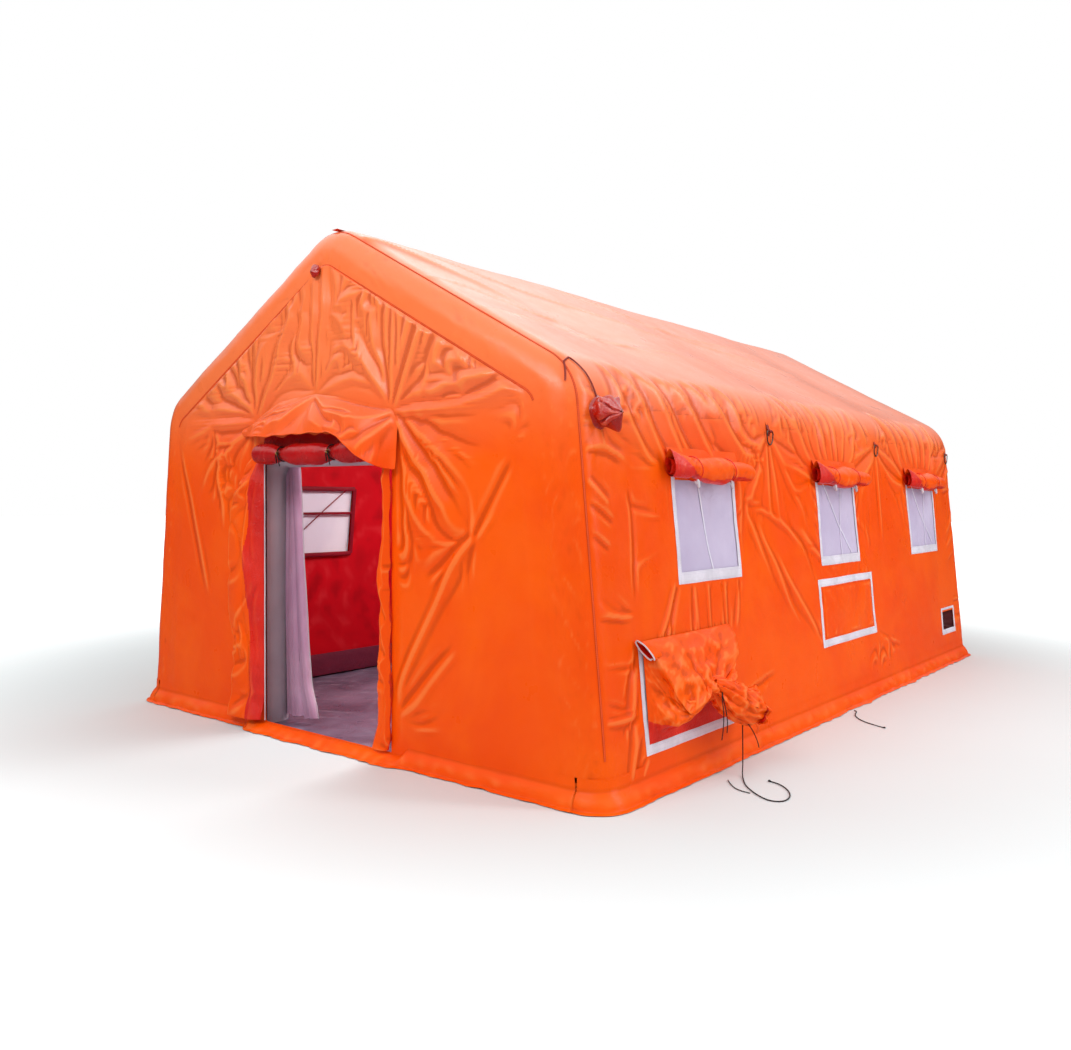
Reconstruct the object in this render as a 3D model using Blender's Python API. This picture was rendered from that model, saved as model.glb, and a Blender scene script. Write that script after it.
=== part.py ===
"""Inflatable medical tent: four air arches, a fabric cover and liner, door, windows, hatch and ports.

Metres, +Z up. The origin is on the ground at the centre of the floor plan, the door gable
faces -Y and the wall with the duct port faces +X. Each sub-part is one closed solid.
"""
import math
from collections import namedtuple

import bmesh
import bpy
from mathutils import Vector

# Overall form
LENGTH = 6.0
BASE_HALF_WIDTH = 1.96
EAVE_HALF_WIDTH = 1.745
EAVE_HEIGHT = 2.07
RIDGE_HEIGHT = 3.03
EAVE_BEND_RADIUS = 0.33
RIDGE_BEND_RADIUS = 0.34

# Fabric and fits
FABRIC = 0.004
CLEARANCE = 0.0003
HEM_HEIGHT = 0.012
BORDER_THICKNESS = 0.004
SWING_CLEARANCE = 0.005
LINER_HOLE_MARGIN = 0.05

# Air beams
ARCH_COUNT = 4
ARCH_RADIUS = 0.14
ARCH_SIDES = 12
PURLIN_RADIUS = 0.10
PURLIN_SIDES = 12
DOOR_BEAM_RADIUS = 0.14
DOOR_BEAM_BEND = 0.20
DOOR_POST_X = 0.774
DOOR_HEADER_HEIGHT = 1.62

# Cover
CORNER_STEPS = 6
SEAM_STEPS = 2
BAND_WIDTH = 0.22
ROOF_SAG = 0.05
EDGE_SAG = 0.03
WALL_SAG_START = 1.72
LARGEST_CELL = 0.32
WHOLE_RUN = 2.0
FLAP_CELL = 0.16
CURTAIN_CELL = 0.25

# Door
DOOR_HALF_WIDTH = 0.56
DOOR_TOP = 1.72
DOOR_SILL = 0.05
ROLL_TONGUE = 0.10
DOOR_ROLL_RADIUS = 0.055
DOOR_ROLL_LENGTH = 1.16
DOOR_ROLL_HINGE = 1.80
FLAP_TOP = 1.63
FLAP_BOTTOM = 0.075
LEFT_FLAP_WIDTH = 0.35
RIGHT_FLAP_WIDTH = 0.13
FLAP_HINGE_X = 0.575
FLAP_NARROWING = 0.75
FLAP_NARROW_SPAN = (0.55, 1.05)
FLAP_EDGE_WAVE = 0.10
FLAP_EDGE_WAVES = 9.0
FLAP_LIFT = 0.045
FLAP_RIPPLE = 0.016
FLAP_RIPPLES = 11.0
CANOPY_TOP = 2.02
CANOPY_DROP = 0.23
CANOPY_HALF_WIDTH = 0.70
CANOPY_LIFT = 0.10
CANOPY_SHORT_ENDS = 0.22
CANOPY_SLANT = 0.10
CANOPY_FALL_POWER = 1.5
CANOPY_FLAT_ENDS = 0.35
CANOPY_WAVE = 0.012
CANOPY_WAVES = 9.0
CURTAIN_TOP = 1.60
CURTAIN_BOTTOM = 0.06
CURTAIN_WIDTH = 0.20
CURTAIN_TOP_WIDTH = 0.75
CURTAIN_FLARE = 0.35
CURTAIN_PLEAT = 0.022
CURTAIN_PLEATS = 2
CURTAIN_TOP_PLEAT = 0.6
CURTAIN_ANGLE = math.radians(30.0)
CURTAIN_SLANT = 0.03

# Windows
WINDOW_WIDTH = 0.72
WINDOW_BOTTOM = 0.99
WINDOW_TOP = 1.57
WINDOW_BORDER = 0.05
WINDOW_SHIFT = 0.09
WINDOW_ROLL_RADIUS = 0.075
WINDOW_ROLL_LENGTH = 0.86
WINDOW_ROLL_HINGE = 1.70
ROLL_PITCH = 0.013
ROLL_TURNS = 1.6
HOLE_OVERLAP = 0.03

# Hatch and ports on the right wall
HATCH_START = -0.36
HATCH_END = 0.66
HATCH_BOTTOM = 0.445
HATCH_TOP = 0.90
HATCH_BORDER = 0.055
DUCT_START = -2.61
DUCT_END = -1.70
DUCT_BOTTOM = 0.19
DUCT_TOP = 0.72
DUCT_BORDER = 0.05
PORT_START = 2.30
PORT_END = 2.68
PORT_BOTTOM = 0.245
PORT_TOP = 0.48
PORT_BORDER = 0.035

# Duct sleeve
SLEEVE_NECK_LIFT = 0.15
SLEEVE_NECK = (-2.18, 0.49)
SLEEVE_TAIL_LIFT = 0.19
SLEEVE_TAIL = (-1.96, 0.35)
SLEEVE_MOUTH = (-1.78, 0.33)
SLEEVE_NECK_RADIUS = 0.05
SLEEVE_TAIL_RADIUS = 0.075
SLEEVE_SIDES = 24
SLEEVE_PLEATS = 6
SLEEVE_HEM = 0.009
SLEEVE_BAG_SHARES = (0.0, 0.12, 0.3, 0.5, 0.7, 0.86)
SLEEVE_ROOT_SQUARENESS = 9.0
SLEEVE_NECK_SQUARENESS = 2.2
SLEEVE_BAG_PLEAT = 0.14
SLEEVE_TAIL_PLEAT = 0.08
SLEEVE_FLATNESS = 0.8
SLEEVE_TAIL_START = 0.9
SLEEVE_TAIL_PLAN = ((0.0, 0.75), (0.5, 1.05), (1.0, 1.28))

# Valve and rings
VALVE_BELOW_EAVE = 0.225
VALVE_INSET = 0.067
BOOT_RADIUS = 0.062
BOOT_DEPTH = 0.085
BOOT_SIDES = 20
BOOT_PLAN = ((1.0, 0.0, 0.0), (1.02, 0.24, 0.04), (0.92, 0.70, 0.10), (0.80, 1.0, 0.14))
VALVE_RADIUS = 0.028
VALVE_DEPTH = 0.035
CAP_WALL = 0.004
RING_BELOW_EAVE = 0.205
RING_WIDTH = 0.085
RING_DROP = 0.085
RING_ROD = 0.004
TAB_WIDTH = 0.036
TAB_WALL = 0.0035
RING_PLAY = 0.0012
TAB_GAP = 0.012

# Skirt
SKIRT_TOP = 0.15
SKIRT_FLARE_START = 0.09
SKIRT_FLARE = 0.045
SKIRT_LIP = 0.03
SKIRT_WAVE = 0.012
SILL_REACH = 0.10
SILL_HALF_WIDTH = 0.70

# Cords
DUCT_CORD_DIAMETER = 0.006
SKIRT_CORD_DIAMETER = 0.006
CORD_STEP = 0.018

Station = namedtuple("Station", "point inward")


# Materials
def material(name, colour, roughness, metallic=0.0):
    """A Principled material with one colour."""
    finish = bpy.data.materials.new(name)
    finish.use_nodes = True
    shader = finish.node_tree.nodes["Principled BSDF"]
    shader.inputs["Base Color"].default_value = (*colour, 1.0)
    shader.inputs["Roughness"].default_value = roughness
    shader.inputs["Metallic"].default_value = metallic
    return finish


def make_materials():
    """The tent's finishes by name."""
    return {
        "cover": material("cover", (0.95, 0.17, 0.01), 0.35),
        "roof": material("roof", (0.96, 0.22, 0.07), 0.25),
        "beam": material("beam", (0.35, 0.35, 0.36), 0.5),
        "liner": material("liner", (0.62, 0.02, 0.03), 0.55),
        "floor": material("floor", (0.30, 0.29, 0.33), 0.6),
        "roll": material("roll", (0.75, 0.03, 0.03), 0.4),
        "border": material("border", (0.85, 0.84, 0.87), 0.5),
        "screen": material("screen", (0.66, 0.62, 0.74), 0.6),
        "curtain": material("curtain", (0.60, 0.47, 0.60), 0.7),
        "steel": material("steel", (0.45, 0.42, 0.40), 0.35, 1.0),
        "valve": material("valve", (0.05, 0.05, 0.05), 0.45),
        "cord": material("cord", (0.03, 0.03, 0.03), 0.7),
    }


# Building solids
def add_object(name, points, faces, finish, pivot=(0.0, 0.0, 0.0), smooth_angle=40.0):
    """An object whose origin is at pivot, with its faces turned outward."""
    origin = Vector(pivot)
    mesh = bpy.data.meshes.new(name)
    mesh.from_pydata([Vector(point) - origin for point in points], [], faces)
    work = bmesh.new()
    work.from_mesh(mesh)
    bmesh.ops.recalc_face_normals(work, faces=work.faces)
    work.to_mesh(mesh)
    work.free()
    mesh.shade_smooth()
    mesh.set_sharp_from_angle(angle=math.radians(smooth_angle))
    mesh.materials.append(finish)
    thing = bpy.data.objects.new(name, mesh)
    thing.location = origin
    bpy.context.scene.collection.objects.link(thing)
    return thing


def loft(sections, ring=False):
    """Points and faces of a skin over sections of equal count; a ring has no end caps."""
    count = len(sections[0])
    points = [point for section in sections for point in section]
    faces = []
    spans = len(sections) if ring else len(sections) - 1
    for span in range(spans):
        here = span * count
        there = (span + 1) % len(sections) * count
        for side in range(count):
            after = (side + 1) % count
            faces.append([here + side, here + after, there + after, there + side])
    if not ring:
        last = (len(sections) - 1) * count
        faces.append(list(range(count)))
        faces.append([last + side for side in range(count)])
    return points, faces


def sheet(rows, columns, outer, inner, is_cut=None):
    """A thin closed sheet over a grid. Cut cells are left out and coinciding grid points shared."""
    index = {}
    pairs = []

    def node(row, column):
        place = outer(row, column)
        key = tuple(round(value, 5) for value in place)
        if key not in index:
            index[key] = len(pairs)
            pairs.append((place, inner(row, column)))
        return index[key]

    cells = []
    for row in range(rows - 1):
        for column in range(columns - 1):
            if is_cut and is_cut(row, column):
                continue
            corners = [node(row, column), node(row, column + 1)]
            corners += [node(row + 1, column + 1), node(row + 1, column)]
            corners = list(dict.fromkeys(corners))
            if len(corners) > 2:
                cells.append(corners)
    count = len(pairs)
    points = [pair[0] for pair in pairs] + [pair[1] for pair in pairs]
    faces = cells + [[corner + count for corner in reversed(cell)] for cell in cells]
    used = {(a, b) for cell in cells for a, b in zip(cell, cell[1:] + cell[:1])}
    for a, b in used:
        if (b, a) not in used:
            faces.append([b, a, a + count, b + count])
    return points, faces


def thicken(curve, thickness):
    """The closed outline of a strip to the left of a plane curve."""
    offset = []
    for place, point in enumerate(curve):
        before = (point - curve[place - 1]).normalized() if place else None
        after = (curve[place + 1] - point).normalized() if place + 1 < len(curve) else None
        before = before or after
        after = after or before
        along = (before + after).normalized()
        stretch = thickness / max(along.dot(after), 0.5)
        offset.append(point + Vector((-along.y, along.x)) * stretch)
    return list(curve) + offset[::-1]


def grid_lines(marks, step):
    """The marks in order, with even steps between them no larger than step."""
    marks = sorted({round(mark, 6) for mark in marks})
    lines = [marks[0]]
    for low, high in zip(marks, marks[1:]):
        parts = max(1, math.ceil((high - low) / step))
        lines += [low + (high - low) * part / parts for part in range(1, parts + 1)]
    return lines


def smooth_share(value, low, high):
    """0 below low and 1 above high, with a smooth run between."""
    share = min(max((value - low) / (high - low), 0.0), 1.0)
    return share * share * (3.0 - 2.0 * share)


# The profile that every cover, beam and liner follows
WALL_NORMAL = Vector((EAVE_HEIGHT, BASE_HALF_WIDTH - EAVE_HALF_WIDTH)).normalized()
ROOF_NORMAL = Vector((RIDGE_HEIGHT - EAVE_HEIGHT, EAVE_HALF_WIDTH)).normalized()
UP_NORMAL = Vector((0.0, 1.0))
CORNER_RADIUS = ARCH_RADIUS + FABRIC + CLEARANCE
SEAM_ANGLE = math.pi / 2 * SEAM_STEPS / CORNER_STEPS
FLAT_END = LENGTH / 2 - CORNER_RADIUS
SEAM_ALONG = FLAT_END + CORNER_RADIUS * SEAM_ANGLE
GABLE_ALONG = FLAT_END + CORNER_RADIUS * math.pi / 2
LINER_INSET = 2 * ARCH_RADIUS + FABRIC + 2 * CLEARANCE
ARCH_POSITIONS = [FLAT_END * (2 * k / (ARCH_COUNT - 1) - 1) for k in range(ARCH_COUNT)]
BAY = ARCH_POSITIONS[1] - ARCH_POSITIONS[0]


def bend_centre(corner, first, second, radius):
    """The centre of a bend that is tangent to two straight runs."""
    return corner - (first + second) * (radius / (1.0 + first.dot(second)))


EAVE_CENTRE = bend_centre(
    Vector((EAVE_HALF_WIDTH, EAVE_HEIGHT)), WALL_NORMAL, ROOF_NORMAL, EAVE_BEND_RADIUS)
RIDGE_CENTRE = bend_centre(
    Vector((0.0, RIDGE_HEIGHT)), ROOF_NORMAL, Vector((-ROOF_NORMAL.x, ROOF_NORMAL.y)),
    RIDGE_BEND_RADIUS)
WALL_TOP = (EAVE_CENTRE + WALL_NORMAL * EAVE_BEND_RADIUS).y


def wall_x(height):
    """The wall's outer face at a height."""
    return BASE_HALF_WIDTH - (BASE_HALF_WIDTH - EAVE_HALF_WIDTH) * height / EAVE_HEIGHT


def wall_station(height):
    """A station on the wall, whose inset runs level."""
    return Station(Vector((wall_x(height), height)), Vector((-1.0 / WALL_NORMAL.x, 0.0)))


def bend_stations(centre, radius, first, second, steps):
    """Stations round a bend, both ends included."""
    turn = second.angle_signed(first)
    stations = []
    for step in range(steps + 1):
        angle = turn * step / steps
        normal = Vector((
            first.x * math.cos(angle) - first.y * math.sin(angle),
            first.x * math.sin(angle) + first.y * math.cos(angle)))
        stations.append(Station(centre + normal * radius, -normal))
    return stations


def roof_stations(steps):
    """Stations on the slope between the two bends, without its ends."""
    low = EAVE_CENTRE + ROOF_NORMAL * EAVE_BEND_RADIUS
    high = RIDGE_CENTRE + ROOF_NORMAL * RIDGE_BEND_RADIUS
    return [Station(low.lerp(high, k / steps), -ROOF_NORMAL) for k in range(1, steps)]


def half_profile(heights, eave_steps, roof_steps, ridge_steps):
    """The right half of the profile, from the foot to the ridge."""
    stations = [wall_station(height) for height in heights]
    stations += bend_stations(EAVE_CENTRE, EAVE_BEND_RADIUS, WALL_NORMAL, ROOF_NORMAL, eave_steps)
    stations += roof_stations(roof_steps)
    stations += bend_stations(
        RIDGE_CENTRE, RIDGE_BEND_RADIUS, ROOF_NORMAL, UP_NORMAL, ridge_steps)
    return stations


def whole_profile(half):
    """Stations with their side, from the right foot over the ridge to the left foot."""
    return [(station, 1) for station in half] + [(station, -1) for station in half[-2::-1]]


def inset_point(station, inset, y, side=1):
    """A point that lies inside the cover's outer face by inset."""
    place = station.point + station.inward * inset
    return Vector((side * place.x, y, place.y))


def cover_point(station, along, lift=0.0, side=1):
    """A point of the cover, lifted outward. Past the end arch's centre it rounds the arch's
    tube and then lies in the gable plane."""
    over = abs(along) - FLAT_END
    end = math.copysign(1.0, along)
    if over <= 0.0:
        return inset_point(station, -lift, along, side)
    angle = over / CORNER_RADIUS
    if angle <= math.pi / 2:
        reach = CORNER_RADIUS + lift
        inset = CORNER_RADIUS - reach * math.cos(angle)
        return inset_point(station, inset, end * (FLAT_END + reach * math.sin(angle)), side)
    inset = CORNER_RADIUS + abs(along) - GABLE_ALONG
    return inset_point(station, inset, end * (LENGTH / 2 + lift), side)


def bay_share(y):
    """0 over each arch's tube and 1 in the middle of a bay."""
    nearest = min(abs(y - place) for place in ARCH_POSITIONS)
    return smooth_share(nearest, ARCH_RADIUS * 0.7, BAY * 0.5)


# Air beams
def arch_tube(y, radius, half):
    """Sections of an arch's tube, square-cut at its feet."""
    sections = []
    for station, side in whole_profile(half):
        section = []
        for k in range(ARCH_SIDES):
            angle = 2 * math.pi * k / ARCH_SIDES
            inset = CORNER_RADIUS - radius * math.cos(angle)
            section.append(inset_point(station, inset, y + radius * math.sin(angle), side))
        sections.append(section)
    return sections


def cutter(thing):
    """Marks an object as a cutting tool only."""
    thing.hide_render = True
    thing.display_type = "WIRE"
    return thing


def combine(thing, tool, operation):
    """A Boolean that stays on its object."""
    change = thing.modifiers.new(tool.name, "BOOLEAN")
    change.operation = operation
    change.object = tool


def make_airframe(finishes):
    """Four arches, the purlins between them and the door frame, all inflated tubes."""
    half = half_profile([FABRIC + CLEARANCE], 4, 1, 3)
    tools = []
    for number, y in enumerate(ARCH_POSITIONS, 1):
        add_object(f"arch_{number}", *loft(arch_tube(y, ARCH_RADIUS, half)), finishes["beam"])
        grown = loft(arch_tube(y, ARCH_RADIUS + CLEARANCE, half))
        tools.append(cutter(add_object(f"saddle_{number}", *grown, finishes["beam"])))
    middle = (WALL_NORMAL + ROOF_NORMAL).normalized()
    eave = EAVE_CENTRE + middle * (EAVE_BEND_RADIUS - CORNER_RADIUS)
    ridge = RIDGE_CENTRE + UP_NORMAL * (RIDGE_BEND_RADIUS - CORNER_RADIUS)
    lines = {
        "ridge_beam": ridge,
        "eave_beam_right": eave,
        "eave_beam_left": Vector((-eave.x, eave.y)),
    }
    for name, centre in lines.items():
        for bay in range(ARCH_COUNT - 1):
            sections = []
            for y in ARCH_POSITIONS[bay:bay + 2]:
                turns = [2 * math.pi * k / PURLIN_SIDES for k in range(PURLIN_SIDES)]
                sections.append([
                    Vector((centre.x + PURLIN_RADIUS * math.cos(turn), y,
                            centre.y + PURLIN_RADIUS * math.sin(turn))) for turn in turns])
            beam = add_object(f"{name}_{bay + 1}", *loft(sections), finishes["beam"])
            combine(beam, tools[bay], "DIFFERENCE")
            combine(beam, tools[bay + 1], "DIFFERENCE")
    make_door_frame(finishes)


def door_frame_centre():
    """The depth of the door frame's tubes, which lie against the gable."""
    return -LENGTH / 2 + FABRIC + CLEARANCE + DOOR_BEAM_RADIUS


def make_door_frame(finishes):
    """An inverted U: two posts beside the doorway and the header over it."""
    top = DOOR_HEADER_HEIGHT + DOOR_BEAM_RADIUS
    corner = Vector((DOOR_POST_X - DOOR_BEAM_BEND, top - DOOR_BEAM_BEND))
    steps = 4
    path = [(Vector((DOOR_POST_X, FABRIC + CLEARANCE)), 0.0)]
    for k in range(steps + 1):
        angle = math.pi / 2 * k / steps
        place = corner + Vector((math.cos(angle), math.sin(angle))) * DOOR_BEAM_BEND
        path.append((place, angle))
    path += [(Vector((-place.x, place.y)), math.pi - angle) for place, angle in path[::-1]]
    sections = []
    for place, turn in path:
        section = []
        for k in range(ARCH_SIDES):
            angle = 2 * math.pi * k / ARCH_SIDES
            out = DOOR_BEAM_RADIUS * math.cos(angle)
            y = door_frame_centre() + DOOR_BEAM_RADIUS * math.sin(angle)
            section.append(Vector((place.x + out * math.cos(turn), y,
                                   place.y + out * math.sin(turn))))
        sections.append(section)
    add_object("door_frame_beam", *loft(sections), finishes["beam"])


# Covers
def corner_alongs(start, end, steps):
    """Even places round the corner tube."""
    return [start + (end - start) * k / steps for k in range(steps + 1)]


def cover_lines(marks, step):
    """Places along the tent between the two cover seams, with the marks among them."""
    flat = grid_lines([-FLAT_END, *ARCH_POSITIONS, *marks, FLAT_END], step)
    wrap = corner_alongs(FLAT_END, SEAM_ALONG, SEAM_STEPS)[1:]
    return [-place for place in wrap[::-1]] + flat + wrap


def make_roof(finishes):
    """The two roof sheets, which sag between the arches and meet at the ridge."""
    stations = half_profile([], 4, 6, 3)
    alongs = cover_lines([(a + b) / 2 for a, b in zip(ARCH_POSITIONS, ARCH_POSITIONS[1:])],
                         LARGEST_CELL)
    last = len(stations) - 1

    def lift(row, along):
        if abs(along) > FLAT_END:
            return 0.0
        middle = math.sin(math.pi * row / last) ** 2
        return -bay_share(along) * (EDGE_SAG + (ROOF_SAG - EDGE_SAG) * middle)

    for name, side in (("roof_right", 1), ("roof_left", -1)):
        def place(row, column, depth, side=side):
            along = alongs[column]
            point = cover_point(stations[row], along, lift(row, along) - depth, side)
            if row == last:
                point.x = side * CLEARANCE / 2
            return point

        points, faces = sheet(
            len(stations), len(alongs), lambda r, c: place(r, c, 0.0),
            lambda r, c: place(r, c, FABRIC))
        add_object(name, points, faces, finishes["roof"])


Opening = namedtuple("Opening", "start end bottom top")


def shrunk(opening, margin):
    """The opening with a margin taken off all round."""
    return Opening(opening.start + margin, opening.end - margin,
                   opening.bottom + margin, opening.top - margin)


def window_openings():
    """The outer edges of the three windows of one wall."""
    middles = [(a + b) / 2 + WINDOW_SHIFT for a, b in zip(ARCH_POSITIONS, ARCH_POSITIONS[1:])]
    half = WINDOW_WIDTH / 2
    return [Opening(y - half, y + half, WINDOW_BOTTOM, WINDOW_TOP) for y in middles]


def hatch_opening():
    """The outer edge of the hatch's border."""
    return Opening(HATCH_START, HATCH_END, HATCH_BOTTOM, HATCH_TOP)


def duct_opening():
    """The outer edge of the duct port's border."""
    return Opening(DUCT_START, DUCT_END, DUCT_BOTTOM, DUCT_TOP)


def port_opening():
    """The outer edge of the cable port's border."""
    return Opening(PORT_START, PORT_END, PORT_BOTTOM, PORT_TOP)


def wall_holes():
    """The holes behind the windows of each wall, and those of the right wall's hatch and ports."""
    windows = [shrunk(opening, HOLE_OVERLAP) for opening in window_openings()]
    ports = [shrunk(hatch_opening(), HATCH_BORDER + HOLE_OVERLAP),
             shrunk(duct_opening(), DUCT_BORDER + HOLE_OVERLAP),
             shrunk(port_opening(), PORT_BORDER)]
    return windows, ports


def in_hole(holes, along, height):
    """Whether a place on a wall lies in one of the holes."""
    return any(hole.start < along < hole.end and hole.bottom < height < hole.top
               for hole in holes)


def ring_places():
    """Where the guy rings hang: on every arch but the door's."""
    places = list(ARCH_POSITIONS[1:])
    places[-1] = FLAT_END - TAB_WIDTH
    return places


def tab_outline(middle, y, side):
    """Matched sections of a ring's fabric tab: its outline and the bore for the ring's bar."""
    bore = RING_ROD + RING_PLAY
    round_side = bore + TAB_WALL
    root = tab_lift() + FABRIC / 2
    outline = [(-root, round_side * 1.6), (-root / 2, round_side * 1.3)]
    outline += [(round_side * math.cos(turn), round_side * math.sin(turn))
                for turn in (math.pi / 2 - math.pi / 6 * k for k in range(7))]
    outline += [(-root / 2, -round_side * 1.3), (-root, -round_side * 1.6)]
    turns = [math.atan2(up, out) for out, up in outline]
    hole = [(bore * math.cos(turn), bore * math.sin(turn)) for turn in turns]

    def section(shape, along):
        return [middle + Vector((side * (out * WALL_NORMAL.x - up * WALL_NORMAL.y), along,
                                 out * WALL_NORMAL.y + up * WALL_NORMAL.x)) for out, up in shape]

    low, high = y - TAB_WIDTH / 2, y + TAB_WIDTH / 2
    return [section(outline, low), section(outline, high), section(hole, high),
            section(hole, low)]


def tab_lift():
    """How far a ring's bar stands off the wall."""
    return RING_ROD + RING_PLAY + TAB_WALL + TAB_GAP


def ring_middle(side):
    """The middle of a ring's bar in the profile plane."""
    return inset_point(wall_station(EAVE_HEIGHT - RING_BELOW_EAVE), -tab_lift(), 0.0, side)


def wall_sheet(side, holes):
    """The sheet of one side wall."""
    heights = [HEM_HEIGHT, SKIRT_TOP, WALL_SAG_START, WALL_TOP - CLEARANCE]
    heights += [edge for hole in holes for edge in (hole.bottom, hole.top)]
    heights = grid_lines(heights, LARGEST_CELL)
    stations = [wall_station(height) for height in heights]
    stations[-1] = Station(stations[-1].point, -WALL_NORMAL)
    alongs = cover_lines([edge for hole in holes for edge in (hole.start, hole.end)], LARGEST_CELL)

    def lift(height, along):
        if abs(along) > FLAT_END:
            return 0.0
        return -EDGE_SAG * bay_share(along) * smooth_share(height, WALL_SAG_START, WALL_TOP)

    def place(row, column, depth):
        height, along = heights[row], alongs[column]
        return cover_point(stations[row], along, lift(height, along) - depth, side)

    def is_cut(row, column):
        height = (heights[row] + heights[row + 1]) / 2
        along = (alongs[column] + alongs[column + 1]) / 2
        return in_hole(holes, along, height)

    return sheet(len(heights), len(alongs), lambda r, c: place(r, c, 0.0),
                 lambda r, c: place(r, c, FABRIC), is_cut)


def make_walls(finishes):
    """Both side walls with their openings and the tabs of the guy rings."""
    windows, ports = wall_holes()
    for name, side, holes in (("right", 1, windows + ports), ("left", -1, windows)):
        wall = add_object(f"wall_{name}", *wall_sheet(side, holes), finishes["cover"])
        wall.modifiers.new("triangles", "TRIANGULATE")
        for number, y in enumerate(ring_places(), 2):
            tab = loft(tab_outline(ring_middle(side), y, side), ring=True)
            tool = cutter(add_object(f"tab_{name}_{number}", *tab, finishes["cover"]))
            combine(wall, tool, "UNION")


# Main folds of the door gable: from (x, z), to (x, z), half width, height
GABLE_FOLDS = (
    ((0.575, 1.95), (0.84, 2.42), 0.09, 0.030),
    ((-0.065, 2.06), (-0.10, 2.55), 0.12, 0.022),
    ((-0.65, 1.97), (-0.32, 2.45), 0.10, 0.024),
    ((-1.117, 1.926), (-1.30, 0.90), 0.12, 0.022),
    ((-1.45, 2.03), (-1.117, 1.93), 0.09, 0.020),
    ((0.92, 2.20), (1.33, 1.95), 0.12, 0.026),
    ((0.95, 0.55), (1.35, 1.55), 0.12, 0.028),
    ((1.00, 0.22), (1.62, 0.95), 0.12, 0.022),
)


def fold_height(x, z):
    """How far the gable's cloth stands out at a place, from its main folds."""
    height = 0.0
    for start, end, half_width, rise in GABLE_FOLDS:
        begin, finish = Vector(start), Vector(end)
        run = finish - begin
        share = min(max((Vector((x, z)) - begin).dot(run) / run.length_squared, 0.0), 1.0)
        distance = (Vector((x, z)) - begin - run * share).length
        height += rise * math.exp(-(distance / half_width) ** 2)
    beside = smooth_share(abs(x), CANOPY_HALF_WIDTH + 0.28, CANOPY_HALF_WIDTH + 0.50)
    above = smooth_share(z, CANOPY_TOP + 0.15, CANOPY_TOP + 0.30)
    clear_of_skirt = smooth_share(z, SKIRT_TOP + 0.02, SKIRT_TOP + 0.20)
    return height * max(beside, above) * clear_of_skirt


def make_gables(finishes):
    """The front band round the first arch, the door gable and the plain back gable."""
    heights = grid_lines([HEM_HEIGHT, SKIRT_TOP, DOOR_SILL, DOOR_TOP], LARGEST_CELL)
    half = half_profile(heights, 4, 5, 3)
    gable_start = GABLE_ALONG + BAND_WIDTH - CORNER_RADIUS

    path = whole_profile(half)
    turns = corner_alongs(-SEAM_ALONG, -GABLE_ALONG, CORNER_STEPS - SEAM_STEPS)
    alongs = [-SEAM_ALONG - CLEARANCE, *turns[1:], -gable_start]

    def band(row, column, depth):
        station, side = path[row]
        return cover_point(station, alongs[column], -depth, side)

    points, faces = sheet(len(path), len(alongs), lambda r, c: band(r, c, 0.0),
                          lambda r, c: band(r, c, FABRIC))
    add_object("front_band", points, faces, finishes["cover"])

    edges = [cover_point(station, -gable_start - CLEARANCE) for station in half]
    top_row = len(heights)
    full = edges[top_row].x
    reach = grid_lines([DOOR_HALF_WIDTH, full], LARGEST_CELL * 0.6)
    shares = [(x - DOOR_HALF_WIDTH) / (full - DOOR_HALF_WIDTH) for x in reach]
    inner = grid_lines([0.0, DOOR_HALF_WIDTH], LARGEST_CELL * 0.6)[:-1]
    columns = [("side", -share) for share in shares[::-1]]
    columns += [("door", -x) for x in inner[:0:-1]] + [("door", x) for x in inner]
    columns += [("side", share) for share in shares]
    left_edge = len(shares) - 1

    def gable_x(row, column):
        kind, value = columns[column]
        width = edges[min(row, top_row)].x
        if kind == "door":
            x = value
        else:
            x = DOOR_HALF_WIDTH + (width - DOOR_HALF_WIDTH) * abs(value)
            x = math.copysign(x, -1.0 if column <= left_edge else 1.0)
        return x * edges[row].x / width if row > top_row else x

    def gable(row, column, depth):
        x = gable_x(row, column)
        z = edges[row].z
        rim = column in (0, len(columns) - 1) or row in (0, len(edges) - 1)
        rise = 0.0 if rim else fold_height(x, z)
        return Vector((x, -LENGTH / 2 - rise + depth, z))

    def in_door(row, column):
        inside = left_edge <= column < len(columns) - 1 - left_edge
        height = (edges[row].z + edges[row + 1].z) / 2
        return inside and DOOR_SILL < height < DOOR_TOP

    points, faces = sheet(len(edges), len(columns), lambda r, c: gable(r, c, 0.0),
                          lambda r, c: gable(r, c, FABRIC), in_door)
    add_object("gable_front", points, faces, finishes["cover"])

    make_back_gable(half, finishes)


def make_back_gable(half, finishes):
    """The closed gable, whose sheet also rounds the last arch."""
    turns = corner_alongs(SEAM_ALONG, GABLE_ALONG, CORNER_STEPS - SEAM_STEPS)
    wrap = [SEAM_ALONG + CLEARANCE, *turns[1:]]
    inner = [0.66, 0.33, 0.0, -0.33, -0.66]

    def back(row, column, depth):
        station = half[row]
        if column < len(wrap):
            return cover_point(station, wrap[column], -depth)
        if column >= len(wrap) + len(inner):
            last = len(wrap) * 2 + len(inner) - 1
            return cover_point(station, wrap[last - column], -depth, -1)
        edge = cover_point(station, GABLE_ALONG)
        return Vector((edge.x * inner[column - len(wrap)], LENGTH / 2 - depth, edge.z))

    columns = 2 * len(wrap) + len(inner)
    points, faces = sheet(len(half), columns, lambda r, c: back(r, c, 0.0),
                          lambda r, c: back(r, c, FABRIC))
    add_object("gable_back", points, faces, finishes["cover"])


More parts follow.
